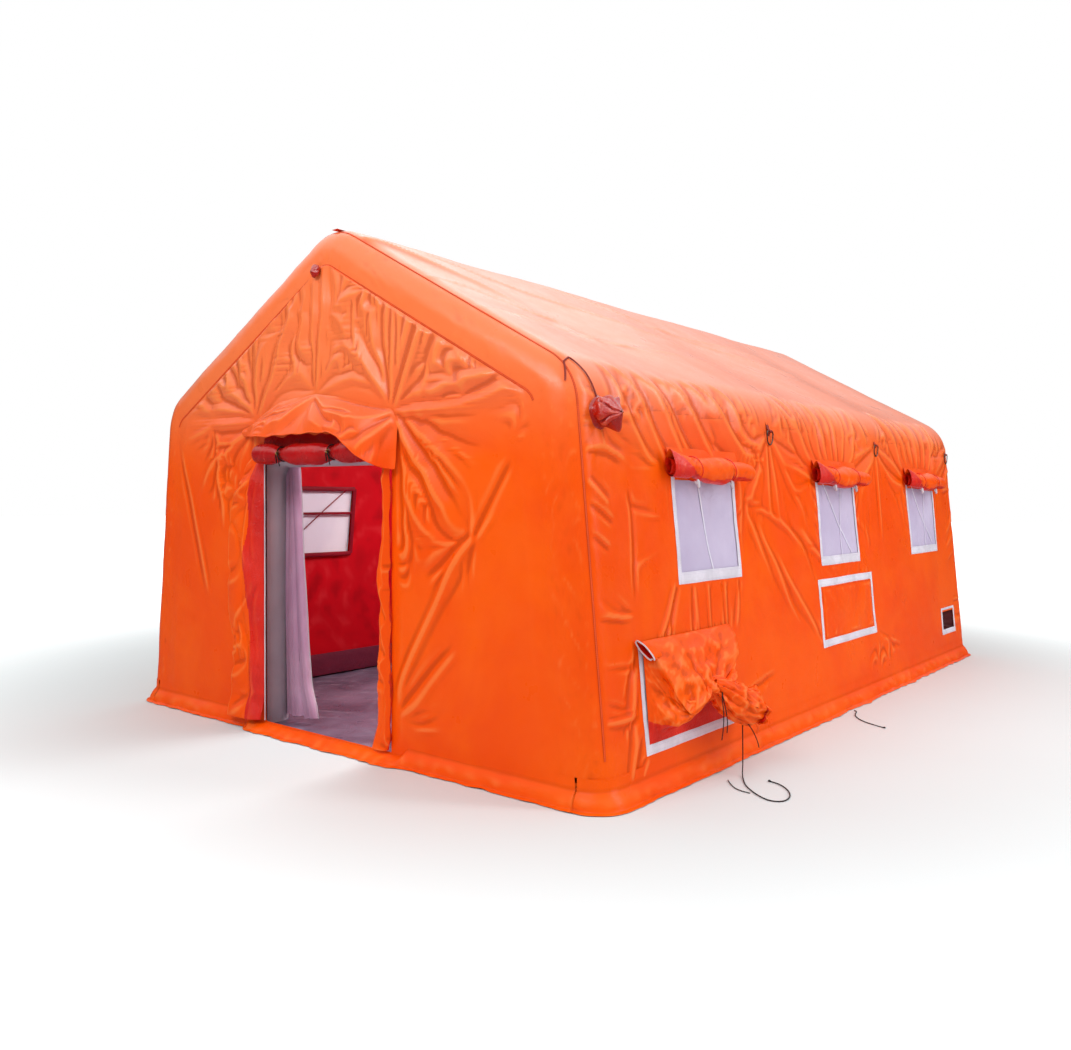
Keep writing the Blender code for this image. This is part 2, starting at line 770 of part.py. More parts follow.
def make_liner(finishes):
    """The inner tent, hung inside the arches, with wider openings behind those of the walls."""
    windows, ports = ([shrunk(hole, -LINER_HOLE_MARGIN) for hole in holes]
                      for holes in wall_holes())
    holes = windows + ports
    heights = grid_lines([HEM_HEIGHT] + [z for hole in holes for z in (hole.bottom, hole.top)],
                         WHOLE_RUN)
    path = whole_profile(half_profile(heights, 2, 1, 1))
    ends = FLAT_END - ARCH_RADIUS
    marks = [edge for hole in holes for edge in (hole.start, hole.end)]
    alongs = grid_lines([-FLAT_END, -ends, *marks, ends, FLAT_END], WHOLE_RUN)
    foot_rows = len(heights)

    def place(row, column, depth):
        station, side = path[row]
        return inset_point(station, LINER_INSET + depth, alongs[column], side)

    def is_cut(row, column):
        low = min(row, len(path) - 2 - row)
        if low + 1 >= foot_rows:
            return False
        height = (heights[low] + heights[low + 1]) / 2
        along = (alongs[column] + alongs[column + 1]) / 2
        return in_hole(windows + (ports if row == low else []), along, height)

    points, faces = sheet(len(path), len(alongs), lambda r, c: place(r, c, 0.0),
                          lambda r, c: place(r, c, FABRIC), is_cut)
    add_object("inner_liner", points, faces, finishes["liner"])


def make_groundsheet(finishes):
    """The floor, which reaches to the covers' inner faces and follows their round corners."""
    foot = wall_station(0.0)
    turns = corner_alongs(FLAT_END, GABLE_ALONG, CORNER_STEPS)
    outline = []
    for side, end, order in ((1, 1, 1), (-1, 1, -1), (-1, -1, 1), (1, -1, -1)):
        for along in turns[::order]:
            outline.append(cover_point(foot, end * along, -FABRIC - CLEARANCE, side))
    sections = [[Vector((place.x, place.y, z)) for place in outline] for z in (0.0, FABRIC)]
    add_object("groundsheet", *loft(sections), finishes["floor"])


# Skirts
def skirt_section(station_of, along, side, top, flare, lip):
    """A closed section of the skirt: a strip on the cover, a flare and a lip on the ground."""
    curve = [Vector((CLEARANCE, top))]
    if top > SKIRT_FLARE_START:
        curve.append(Vector((CLEARANCE, SKIRT_FLARE_START)))
    else:
        curve.append(Vector((CLEARANCE, top - HEM_HEIGHT / 2)))
    curve.append(Vector((CLEARANCE + flare, 0.0)))
    curve.append(Vector((CLEARANCE + flare + lip, 0.0)))
    outline = thicken(curve, FABRIC)
    return [station_of(Vector(point), along, side) for point in outline]


def skirt_point(point, along, side):
    """A place on the skirt from its lift off the cover and its height."""
    return cover_point(wall_station(point.y), along, point.x, side)


def wave(place, length, phase=0.0):
    """A gentle wave of the hem."""
    return SKIRT_WAVE * math.sin(2 * math.pi * place / length + phase)


def make_skirts(finishes):
    """The hem all round, flared on to the ground, with the door's sill strip in front."""
    alongs = grid_lines([-FLAT_END, FLAT_END], 0.24)
    for name, side in (("skirt_right", 1), ("skirt_left", -1)):
        sections = []
        for along in alongs:
            flare = SKIRT_FLARE + wave(along, 1.3, side)
            sections.append(skirt_section(skirt_point, along, side, SKIRT_TOP, flare, SKIRT_LIP))
        add_object(name, *loft(sections), finishes["cover"])
    for name, end in (("skirt_front", -1), ("skirt_back", 1)):
        add_object(name, *loft(end_skirt_sections(end)), finishes["cover"])


def end_skirt_sections(end):
    """Sections from the right wall's seam round both corners to the left wall's."""
    turns = [FLAT_END + CLEARANCE] + corner_alongs(FLAT_END, GABLE_ALONG, CORNER_STEPS)[1:]
    right = [skirt_section(skirt_point, end * along, 1, SKIRT_TOP, SKIRT_FLARE, SKIRT_LIP)
             for along in turns]
    left = [skirt_section(skirt_point, end * along, -1, SKIRT_TOP, SKIRT_FLARE, SKIRT_LIP)
            for along in turns[::-1]]
    reach = BASE_HALF_WIDTH - 2 * CORNER_RADIUS
    marks = [-reach, reach]
    if end < 0:
        marks += [-SILL_HALF_WIDTH, SILL_HALF_WIDTH, -DOOR_HALF_WIDTH, DOOR_HALF_WIDTH]
        marks += [-SILL_HALF_WIDTH - SKIRT_TOP, SILL_HALF_WIDTH + SKIRT_TOP]
    middle = []
    for x in grid_lines(marks, LARGEST_CELL)[::-1]:
        top, flare = SKIRT_TOP, SKIRT_FLARE + wave(x, 0.9)
        if end < 0 and abs(x) < SILL_HALF_WIDTH + 0.01:
            top, flare = DOOR_SILL, SILL_REACH
        across = (lambda point, place, side:
                  Vector((place, end * (LENGTH / 2 + point.x), point.y)))
        middle.append(skirt_section(across, x, 1, top, flare, SKIRT_LIP))
    return right + middle + left


# Rolled flaps
def roll_section(radius, tongue):
    """The closed section of a rolled flap: a tongue down from the seam, then a spiral. The
    first coordinate is the distance off the face that it hangs on, the second is height."""
    steps_a_turn = 10
    middle = Vector((radius + FABRIC / 2, -tongue))
    curve = [Vector((FABRIC / 2, 0.0))]
    count = round(ROLL_TURNS * steps_a_turn)
    for k in range(count + 1):
        turn = 2 * math.pi * k / steps_a_turn
        reach = radius - ROLL_PITCH * k / steps_a_turn
        angle = math.pi + turn
        curve.append(middle + Vector((math.cos(angle), math.sin(angle))) * reach)
    shifted = [point for point in thicken(curve, FABRIC / 2)[len(curve):]][::-1]
    mirrored = thicken([Vector((point.x, -point.y)) for point in curve], FABRIC / 2)
    other = [Vector((point.x, -point.y)) for point in mirrored[len(curve):]][::-1]
    return shifted + other[::-1]


def roll_radii(length, radius, steps):
    """Places along a roll and its radius there, drawn in at its two ties."""
    places = []
    for k in range(steps + 1):
        share = k / steps
        tied = abs(math.sin(2 * math.pi * share))
        places.append((length * (share - 0.5), radius * (1.0 - 0.16 * tied)))
    return places


def make_rolls(finishes):
    """The rolled window flaps and the rolled inner door, each on its sewn top edge."""
    openings = window_openings()
    for name, side in (("right", 1), ("left", -1)):
        for number, opening in enumerate(openings, 1):
            middle = (opening.start + opening.end) / 2
            top = wall_station(WINDOW_ROLL_HINGE)
            sections = []
            for along, radius in roll_radii(WINDOW_ROLL_LENGTH, WINDOW_ROLL_RADIUS, 4):
                section = []
                for point in roll_section(radius, ROLL_TONGUE):
                    station = Station(
                        Vector((wall_x(top.point.y + point.y), top.point.y + point.y)), top.inward)
                    section.append(
                        inset_point(station, -CLEARANCE - point.x, middle + along, side))
                sections.append(section)
            pivot = inset_point(top, -CLEARANCE - FABRIC / 2, middle, side)
            add_object(f"window_roll_{name}_{number}", *loft(sections), finishes["roll"], pivot)
    sections = []
    for along, radius in roll_radii(DOOR_ROLL_LENGTH, DOOR_ROLL_RADIUS, 6):
        section = [Vector((along, -LENGTH / 2 - CLEARANCE - point.x, DOOR_ROLL_HINGE + point.y))
                   for point in roll_section(radius, ROLL_TONGUE)]
        sections.append(section)
    pivot = (0.0, -LENGTH / 2 - CLEARANCE - FABRIC / 2, DOOR_ROLL_HINGE)
    add_object("door_roll", *loft(sections), finishes["roll"], pivot)


# Door cloths
def make_canopy(finishes):
    """The rain flap over the doorway, sewn along its top and draped over the roll."""
    columns, rows = 11, 6

    def place(row, column, depth):
        across = 2 * column / (columns - 1) - 1
        down = row / (rows - 1)
        x = across * CANOPY_HALF_WIDTH
        shorter = CANOPY_SHORT_ENDS * across ** 2 + CANOPY_SLANT * math.sin(3.0 * across)
        drop = CANOPY_DROP * (1.0 - shorter)
        lift = CANOPY_LIFT * down ** CANOPY_FALL_POWER * (1.0 - CANOPY_FLAT_ENDS * across ** 4)
        lift += CANOPY_WAVE * down * math.sin(CANOPY_WAVES * across)
        return Vector((x, -LENGTH / 2 - CLEARANCE - lift - depth, CANOPY_TOP - drop * down))

    points, faces = sheet(rows, columns, lambda r, c: place(r, c, FABRIC),
                          lambda r, c: place(r, c, 0.0))
    pivot = (0.0, -LENGTH / 2 - CLEARANCE - FABRIC / 2, CANOPY_TOP)
    add_object("door_canopy", points, faces, finishes["cover"], pivot)


def make_flaps(finishes):
    """The two door flaps: the wide left one folded back, the narrow right one half closed."""
    heights = grid_lines([FLAP_BOTTOM, FLAP_TOP], FLAP_CELL)
    columns = 6

    def flap(side, full_width, outward):
        def place(row, column, depth):
            z = heights[row]
            share = column / (columns - 1)
            high = (z - FLAP_BOTTOM) / (FLAP_TOP - FLAP_BOTTOM)
            width = full_width * (1.0 - FLAP_NARROWING * smooth_share(high, *FLAP_NARROW_SPAN))
            width *= 1.0 + FLAP_EDGE_WAVE * math.sin(FLAP_EDGE_WAVES * high + 1.0)
            lift = FLAP_LIFT * share * (2.0 - share)
            lift += FLAP_RIPPLE * share * math.sin(FLAP_RIPPLES * high)
            lift *= width / full_width
            x = side * FLAP_HINGE_X + outward * width * share
            return Vector((x, -LENGTH / 2 - CLEARANCE - lift - depth, z))

        return sheet(len(heights), columns, lambda r, c: place(r, c, FABRIC),
                     lambda r, c: place(r, c, 0.0))

    face = -LENGTH / 2 - CLEARANCE - FABRIC / 2
    add_object("door_flap_left", *flap(-1, LEFT_FLAP_WIDTH, -1), finishes["cover"],
               (-FLAP_HINGE_X, face, 0.0))
    add_object("door_flap_right", *flap(1, RIGHT_FLAP_WIDTH, -1), finishes["cover"],
               (FLAP_HINGE_X, face, 0.0))


def curtain_hinge():
    """Where the curtain hangs from the left door post."""
    reach = DOOR_BEAM_RADIUS + CLEARANCE + FABRIC / 2 * math.sin(CURTAIN_ANGLE)
    return Vector((-DOOR_POST_X + reach * math.cos(CURTAIN_ANGLE),
                   door_frame_centre() + reach * math.sin(CURTAIN_ANGLE), 0.0))


def make_curtain(finishes):
    """The drawn inner curtain, in pleats beside the left door post."""
    heights = grid_lines([CURTAIN_BOTTOM, CURTAIN_TOP], CURTAIN_CELL)
    columns = 9
    start = curtain_hinge()

    def place(row, column, depth):
        z = heights[row]
        share = column / (columns - 1)
        low = 1.0 - (z - CURTAIN_BOTTOM) / (CURTAIN_TOP - CURTAIN_BOTTOM)
        width = CURTAIN_WIDTH * (CURTAIN_TOP_WIDTH + CURTAIN_FLARE * low)
        pleat = CURTAIN_PLEAT * share * math.sin(2 * math.pi * CURTAIN_PLEATS * share)
        pleat *= CURTAIN_TOP_PLEAT + (1.0 - CURTAIN_TOP_PLEAT) * low
        edge = start.x + (CURTAIN_SLANT if row == len(heights) - 1 else 0.0)
        return Vector((edge + width * share, start.y + pleat + depth - FABRIC / 2, z))

    points, faces = sheet(len(heights), columns, lambda r, c: place(r, c, 0.0),
                          lambda r, c: place(r, c, FABRIC))
    add_object("door_curtain", points, faces, finishes["curtain"], start)


# Borders, screens and hatch on the side walls
def wall_ring(opening, lift, side):
    """The four corners of an opening on the wall's outer face, lifted outward."""
    corners = ((opening.start, opening.bottom), (opening.end, opening.bottom),
               (opening.end, opening.top), (opening.start, opening.top))
    return [inset_point(wall_station(z), -lift, y, side) for y, z in corners]


def border(opening, width, side=1):
    """A sewn border round an opening."""
    hole = shrunk(opening, width)
    low, high = CLEARANCE, CLEARANCE + BORDER_THICKNESS
    return loft([wall_ring(opening, low, side), wall_ring(opening, high, side),
                 wall_ring(hole, high, side), wall_ring(hole, low, side)], ring=True)


def make_wall_fittings(finishes):
    """Window screens, hatch and the borders of the two ports."""
    low, high = CLEARANCE, CLEARANCE + BORDER_THICKNESS
    for name, side in (("right", 1), ("left", -1)):
        for number, opening in enumerate(window_openings(), 1):
            pane = shrunk(opening, WINDOW_BORDER)
            sections = [wall_ring(opening, low, side), wall_ring(opening, high, side),
                        wall_ring(pane, high, side),
                        wall_ring(pane, high - BORDER_THICKNESS / 2, side)]
            add_object(f"window_screen_{name}_{number}", *loft(sections), finishes["screen"])
    add_object("hatch_frame", *border(hatch_opening(), HATCH_BORDER), finishes["border"])
    panel = shrunk(hatch_opening(), HATCH_BORDER + SWING_CLEARANCE)
    hinge = inset_point(wall_station(panel.top), -high, 0.0)
    add_object("hatch_flap", *loft([wall_ring(panel, low, 1), wall_ring(panel, high, 1)]),
               finishes["cover"], hinge)
    add_object("duct_frame", *border(duct_opening(), DUCT_BORDER), finishes["border"])
    add_object("cable_port_frame", *border(port_opening(), PORT_BORDER), finishes["border"])


# Duct sleeve
def sleeve_ring(centre_y, centre_z, lift, half_y, half_z, squareness, pleat, shrink=0.0):
    """One section of the sleeve, between a rectangle and a pleated round."""
    ring = []
    for k in range(SLEEVE_SIDES):
        angle = 2 * math.pi * (k + 0.5) / SLEEVE_SIDES
        power = 2.0 / squareness
        across = math.copysign(abs(math.cos(angle)) ** power, math.cos(angle))
        up = math.copysign(abs(math.sin(angle)) ** power, math.sin(angle))
        swell = 1.0 + pleat * math.cos(SLEEVE_PLEATS * angle)
        ring.append((centre_y + (half_y - shrink) * swell * across,
                     centre_z + (half_z - shrink) * swell * up, lift))
    return ring


def make_sleeve(finishes):
    """The duct sleeve: square at the port, gathered at its tied neck, with an open tail."""
    root = shrunk(duct_opening(), DUCT_BORDER + SWING_CLEARANCE)
    root_y, root_z = (root.start + root.end) / 2, (root.bottom + root.top) / 2
    half_y, half_z = (root.end - root.start) / 2, (root.top - root.bottom) / 2
    neck_y, neck_z = SLEEVE_NECK
    tail_y, tail_z = SLEEVE_TAIL
    mouth_y, mouth_z = SLEEVE_MOUTH

    def between(share, a, b):
        return a + (b - a) * share

    def bag(share, shrink):
        y = between(share ** 1.5, root_y, neck_y)
        z = between(share, root_z, neck_z)
        lift = CLEARANCE + (SLEEVE_NECK_LIFT - CLEARANCE) * share ** 0.8
        wide = between(share ** 1.3, half_y, SLEEVE_NECK_RADIUS)
        tall = between(share ** 1.3, half_z, SLEEVE_NECK_RADIUS)
        square = between(min(share * 2.0, 1.0), SLEEVE_ROOT_SQUARENESS, SLEEVE_NECK_SQUARENESS)
        pleat = SLEEVE_BAG_PLEAT * math.sin(math.pi * min(share, 0.9))
        return sleeve_ring(y, z, lift, wide, tall, square, pleat, shrink)

    rings = [bag(share, FABRIC * 2) for share in SLEEVE_BAG_SHARES[::-1]]
    rings += [bag(share, 0.0) for share in SLEEVE_BAG_SHARES]
    rings.append(bag(1.0, 0.0))
    start_radius = SLEEVE_TAIL_RADIUS * SLEEVE_TAIL_START
    rings.append(sleeve_ring(between(0.5, neck_y, tail_y), between(0.5, neck_z, tail_z),
                             between(0.5, SLEEVE_NECK_LIFT, SLEEVE_TAIL_LIFT),
                             start_radius, start_radius, 2.0, SLEEVE_TAIL_PLEAT))
    points = []
    for ring in rings:
        points.append([inset_point(wall_station(z), -lift, y) for y, z, lift in ring])
    points += sleeve_tail((tail_y, tail_z), (mouth_y, mouth_z), SLEEVE_TAIL_RADIUS)
    add_object("duct_sleeve", *loft(points), finishes["cover"])


def sleeve_tail(tail, mouth, radius):
    """The tail's sections, square to its run, with an open mouth at the end."""
    run = Vector((mouth[0] - tail[0], mouth[1] - tail[1])).normalized()
    sections = []
    steps = [(share, scale, 0.0) for share, scale in SLEEVE_TAIL_PLAN]
    steps += [(share, scale, SLEEVE_HEM) for share, scale in SLEEVE_TAIL_PLAN[:0:-1]]
    for share, scale, shrink in steps:
        middle_y = tail[0] + (mouth[0] - tail[0]) * share
        middle_z = tail[1] + (mouth[1] - tail[1]) * share
        section = []
        for k in range(SLEEVE_SIDES):
            angle = 2 * math.pi * (k + 0.5) / SLEEVE_SIDES
            out = -(radius * scale * SLEEVE_FLATNESS - shrink) * math.cos(angle)
            side = (radius * scale - shrink) * math.sin(angle)
            y = middle_y - run.y * side
            z = middle_z + run.x * side
            section.append(inset_point(wall_station(z), -SLEEVE_TAIL_LIFT - out, y))
        sections.append(section)
    return sections


# Inflation valve
def valve_ring(radius, lift, sides, pleat=0.0):
    """A round section on the wall by the first arch."""
    y = -FLAT_END + VALVE_INSET
    ring = []
    for k in range(sides):
        angle = 2 * math.pi * k / sides
        reach = radius * (1.0 + pleat * math.cos(5 * angle))
        station = wall_station(EAVE_HEIGHT - VALVE_BELOW_EAVE + reach * math.sin(angle))
        ring.append(inset_point(station, -lift, y + reach * math.cos(angle)))
    return ring


def make_valve(finishes):
    """The inflation valve in its gathered boot, with a pull-off cap."""
    low = CLEARANCE
    outer = [valve_ring(BOOT_RADIUS * wide, low + BOOT_DEPTH * deep, BOOT_SIDES, pleat)
             for wide, deep, pleat in BOOT_PLAN]
    inner = [valve_ring(BOOT_RADIUS * wide - FABRIC, low + BOOT_DEPTH * deep, BOOT_SIDES, pleat)
             for wide, deep, pleat in BOOT_PLAN[::-1]]
    boot = outer + inner
    add_object("valve_boot", *loft(boot, ring=True), finishes["cover"])
    flange = VALVE_RADIUS * 1.5
    body = [valve_ring(flange, low, 16), valve_ring(flange, low + 0.003, 16),
            valve_ring(VALVE_RADIUS, low + 0.006, 16), valve_ring(VALVE_RADIUS, VALVE_DEPTH, 16),
            valve_ring(VALVE_RADIUS * 0.6, VALVE_DEPTH, 16),
            valve_ring(VALVE_RADIUS * 0.6, VALVE_DEPTH * 0.5, 16)]
    add_object("valve_body", *loft(body), finishes["valve"])
    bore = VALVE_RADIUS + CLEARANCE
    rim = VALVE_DEPTH * 0.45
    top = VALVE_DEPTH + CLEARANCE
    cap = [valve_ring(bore, top, 16), valve_ring(bore, rim, 16),
           valve_ring(bore + CAP_WALL, rim, 16), valve_ring(bore + CAP_WALL, top + CAP_WALL, 16),
           valve_ring(bore * 0.5, top + CAP_WALL * 1.6, 16)]
    middle = wall_station(EAVE_HEIGHT - VALVE_BELOW_EAVE)
    pivot = inset_point(middle, -top, -FLAT_END + VALVE_INSET)
    add_object("valve_cap", *loft(cap), finishes["valve"], pivot)


# Guy rings
def ring_path():
    """The ring's closed centre line, as (along, down): a straight bar and a round bow."""
    half = RING_WIDTH / 2
    path = [(-half * 0.8, 0.0), (half * 0.8, 0.0)]
    steps = 10
    for k in range(steps + 1):
        angle = math.pi * k / steps
        path.append((half * math.cos(angle),
                     -RING_DROP * (0.18 + 0.82 * math.sin(angle) ** 0.9)))
    return [Vector(point) for point in path]


def make_rings(finishes):
    """The steel guy rings, hanging in their tabs."""
    path = ring_path()
    sides = 6
    for name, side in (("right", 1), ("left", -1)):
        middle = ring_middle(side)
        for number, y in enumerate(ring_places(), 2):
            sections = []
            for k, point in enumerate(path):
                ahead = (path[(k + 1) % len(path)] - point).normalized()
                behind = (point - path[k - 1]).normalized()
                along = (ahead + behind).normalized()
                across = Vector((-along.y, along.x))
                stretch = 1.0 / max(along.dot(ahead), 0.6)
                section = []
                for s in range(sides):
                    angle = 2 * math.pi * s / sides
                    flat = point + across * (RING_ROD * math.cos(angle) * stretch)
                    section.append(middle + Vector((
                        RING_ROD * math.sin(angle), y + flat.x, flat.y)))
                sections.append(section)
            pivot = middle + Vector((0.0, y, 0.0))
            add_object(f"guy_ring_{name}_{number}", *loft(sections, ring=True),
                       finishes["steel"], pivot)


# Cords, as points chosen by hand along each one's lie
DUCT_CORD_ROUTE = (
    (2.122, -1.955, 0.2890), (2.123, -1.956, 0.240), (2.127, -1.961, 0.180), (2.133, -1.970, 0.110),
    (2.141, -1.985, 0.050), (2.153, -2.012, 0.013), (2.182, -2.062, 0.0034),
    (2.235, -2.145, 0.0034), (2.300, -2.215, 0.0034), (2.375, -2.275, 0.0034),
    (2.440, -2.305, 0.0034), (2.490, -2.285, 0.0034), (2.500, -2.225, 0.0034),
    (2.475, -2.150, 0.0034), (2.425, -2.080, 0.0034), (2.360, -2.030, 0.0034),
    (2.300, -2.015, 0.0034),
)
SKIRT_CORD_ROUTE = (
    (2.0413, -0.120, 0.0034), (2.056, -0.128, 0.0034), (2.071, -0.160, 0.0034),
    (2.084, -0.215, 0.0034), (2.110, -0.280, 0.0034), (2.155, -0.345, 0.0034),
    (2.215, -0.402, 0.0034), (2.290, -0.448, 0.0034), (2.373, -0.486, 0.0034),
)


def smooth_route(points, step):
    """Even points on a smooth curve through a route's points."""
    places = [Vector(point) for point in points]
    fine = []
    for k in range(len(places) - 1):
        before = places[max(k - 1, 0)]
        here, after = places[k], places[k + 1]
        beyond = places[min(k + 2, len(places) - 1)]
        for s in range(12):
            t = s / 12
            fine.append(0.5 * (2 * here + (after - before) * t
                               + (2 * before - 5 * here + 4 * after - beyond) * t * t
                               + (3 * here - before - 3 * after + beyond) * t ** 3))
    fine.append(places[-1])
    lowest = min(place.z for place in places)
    even = [fine[0]]
    for point in fine[1:]:
        point.z = max(point.z, lowest)
        if (point - even[-1]).length >= step:
            even.append(point)
    if (fine[-1] - even[-1]).length < step / 2:
        even.pop()
    return even + [fine[-1]]


def make_cord(name, route, diameter, finish):
    """A cord as a round tube along its route."""
    points = smooth_route(route, CORD_STEP)
    curve = bpy.data.curves.new(name, "CURVE")
    curve.dimensions = "3D"
    curve.bevel_depth = diameter / 2
    curve.bevel_resolution = 2
    curve.use_fill_caps = True
    spline = curve.splines.new("POLY")
    spline.points.add(len(points) - 1)
    for place, point in zip(spline.points, points):
        place.co = (*point, 1.0)
    curve.materials.append(finish)
    thing = bpy.data.objects.new(name, curve)
    bpy.context.scene.collection.objects.link(thing)


def main():
    """Builds the whole tent."""
    for thing in list(bpy.data.objects):
        bpy.data.objects.remove(thing)
    finishes = make_materials()
    make_groundsheet(finishes)
    make_airframe(finishes)
    make_roof(finishes)
    make_walls(finishes)
    make_gables(finishes)
    make_liner(finishes)
    make_skirts(finishes)
    make_rolls(finishes)
    make_canopy(finishes)
    make_flaps(finishes)
    make_curtain(finishes)
    make_wall_fittings(finishes)
    make_sleeve(finishes)
    make_valve(finishes)
    make_rings(finishes)
    make_cord("duct_cord", DUCT_CORD_ROUTE, DUCT_CORD_DIAMETER, finishes["cord"])
    make_cord("skirt_cord", SKIRT_CORD_ROUTE, SKIRT_CORD_DIAMETER, finishes["cord"])


main()
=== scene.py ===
"""Dressed scene of an inflatable medical tent: its cloths with their folds, its fittings and cords,
a pale floor, soft light and the camera. Metres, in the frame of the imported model."""
import math

import bmesh
import bpy
import numpy as np
from mathutils import Matrix, Vector


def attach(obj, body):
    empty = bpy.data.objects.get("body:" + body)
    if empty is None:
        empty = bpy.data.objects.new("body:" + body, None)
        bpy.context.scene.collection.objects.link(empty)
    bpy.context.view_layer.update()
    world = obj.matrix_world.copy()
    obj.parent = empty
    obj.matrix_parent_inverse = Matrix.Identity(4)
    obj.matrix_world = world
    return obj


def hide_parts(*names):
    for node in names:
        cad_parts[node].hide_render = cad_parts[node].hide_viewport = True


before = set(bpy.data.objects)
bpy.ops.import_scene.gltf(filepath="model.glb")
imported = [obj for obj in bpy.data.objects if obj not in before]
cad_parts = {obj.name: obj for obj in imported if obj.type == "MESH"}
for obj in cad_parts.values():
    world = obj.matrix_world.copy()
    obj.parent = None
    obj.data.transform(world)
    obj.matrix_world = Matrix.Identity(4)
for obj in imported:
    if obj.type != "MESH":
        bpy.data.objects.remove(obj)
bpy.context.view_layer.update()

# Form of the cover, as in the solids
HALF_LENGTH = 3.0
BASE = 1.96
EAVE = 1.745
EAVE_Z = 2.07
RIDGE_Z = 3.03
EAVE_BEND = 0.33
RIDGE_BEND = 0.34
TUBE = 0.1443
FLAT_END = HALF_LENGTH - TUBE
SEAM = FLAT_END + TUBE * math.pi / 6
GABLE = FLAT_END + TUBE * math.pi / 2
BAND = GABLE + 0.22 - TUBE
ARCHES = [FLAT_END * (2 * k / 3 - 1) for k in range(4)]
BAY = ARCHES[1] - ARCHES[0]
LINER_INSET = 0.2846
EDGE_SAG = 0.022
ROOF_SAG = 0.05
SKIRT_TOP = 0.15
DOOR_HALF = 0.56
DOOR_TOP = 1.72
DOOR_SILL = 0.05
GABLE_FACE = -HALF_LENGTH
RING_Z = 1.865
RING_LIFT = 0.0207
COVER_FOOT = 0.012
VALVE = (-FLAT_END + 0.067, 1.845)

WALL_TURN = math.atan2(BASE - EAVE, EAVE_Z)
ROOF_TURN = math.atan2(EAVE, RIDGE_Z - EAVE_Z)
WALL_NORMAL = (math.cos(WALL_TURN), math.sin(WALL_TURN))


def bend_centre(corner, first, second, radius):
    """Centre of a bend between two straight runs with these normals."""
    a = np.array([math.cos(first), math.sin(first)])
    b = np.array([math.cos(second), math.sin(second)])
    return np.array(corner) - (a + b) * radius / (1 + a @ b)


EAVE_CENTRE = bend_centre((EAVE, EAVE_Z), WALL_TURN, ROOF_TURN, EAVE_BEND)
RIDGE_CENTRE = bend_centre((0.0, RIDGE_Z), ROOF_TURN, math.pi - ROOF_TURN, RIDGE_BEND)
WALL_TOP = EAVE_CENTRE[1] + EAVE_BEND * math.sin(WALL_TURN)
S_WALL = WALL_TOP / math.cos(WALL_TURN)
S_EAVE = S_WALL + EAVE_BEND * (ROOF_TURN - WALL_TURN)
ROOF_LOW = EAVE_CENTRE + EAVE_BEND * np.array([math.cos(ROOF_TURN), math.sin(ROOF_TURN)])
ROOF_HIGH = RIDGE_CENTRE + RIDGE_BEND * np.array([math.cos(ROOF_TURN), math.sin(ROOF_TURN)])
S_ROOF = S_EAVE + float(np.linalg.norm(ROOF_HIGH - ROOF_LOW))
S_RIDGE = S_ROOF + RIDGE_BEND * (math.pi / 2 - ROOF_TURN)


def smooth(value, low, high):
    """0 below low, 1 above high, with a soft run between."""
    share = np.clip((np.asarray(value, float) - low) / (high - low), 0.0, 1.0)
    return share * share * (3 - 2 * share)


def profile(s):
    """Place and outward normal on the right half outline, by length from the ground."""
    s = np.asarray(s, float)
    turn = WALL_TURN + np.clip((s - S_WALL) / EAVE_BEND, 0, ROOF_TURN - WALL_TURN)
    turn = turn + np.clip((s - S_ROOF) / RIDGE_BEND, 0, math.pi / 2 - ROOF_TURN)
    nx, nz = np.cos(turn), np.sin(turn)
    x = BASE - s * math.sin(WALL_TURN)
    z = s * math.cos(WALL_TURN)
    on_eave = s > S_WALL
    x = np.where(on_eave, EAVE_CENTRE[0] + EAVE_BEND * nx, x)
    z = np.where(on_eave, EAVE_CENTRE[1] + EAVE_BEND * nz, z)
    up = np.clip(s - S_EAVE, 0, S_ROOF - S_EAVE)
    on_roof = s > S_EAVE
    x = np.where(on_roof, ROOF_LOW[0] - up * math.sin(ROOF_TURN), x)
    z = np.where(on_roof, ROOF_LOW[1] + up * math.cos(ROOF_TURN), z)
    on_ridge = s > S_ROOF
    x = np.where(on_ridge, RIDGE_CENTRE[0] + RIDGE_BEND * nx, x)
    z = np.where(on_ridge, RIDGE_CENTRE[1] + RIDGE_BEND * nz, z)
    return x, z, nx, nz


def cover(along, s, lift=0.0, side=1.0):
    """A point of the cover, lifted outward. Past the end arch it rounds the arch's tube, then
    lies in the gable's plane."""
    along, s, lift, side = np.broadcast_arrays(
        *(np.asarray(value, float) for value in (along, s, lift, side)))
    x, z, nx, nz = profile(s)
    slope = smooth(s, 1.3, S_WALL)
    inx = nx * slope + (1 - slope) / WALL_NORMAL[0]
    inz = nz * slope
    over = np.abs(along) - FLAT_END
    angle = np.clip(over / TUBE, 0, math.pi / 2)
    reach = TUBE + lift
    inset = TUBE - reach * np.cos(angle) + np.maximum(over - TUBE * math.pi / 2, 0)
    y = np.where(over > 0, np.sign(along) * (FLAT_END + reach * np.sin(angle)), along)
    return np.stack([side * (x - inx * inset), y, z - inz * inset], -1)


TABLE_S = np.linspace(0, S_RIDGE, 2000)
TABLE_Z = profile(TABLE_S)[1]


def s_at(z):
    """Length up the outline at a height."""
    return np.interp(z, TABLE_Z, TABLE_S)


def lines(marks, step):
    """The marks in order with even steps between them, none larger than step."""
    marks = sorted({round(float(mark), 5) for mark in marks})
    runs = [np.linspace(a, b, max(1, math.ceil((b - a) / step - 1e-6)) + 1)[:-1]
            for a, b in zip(marks, marks[1:])]
    return np.concatenate(runs + [[marks[-1]]])


def circle(count):
    """Even turns of a circle."""
    return np.linspace(0, 2 * np.pi, count + 1)[:-1]


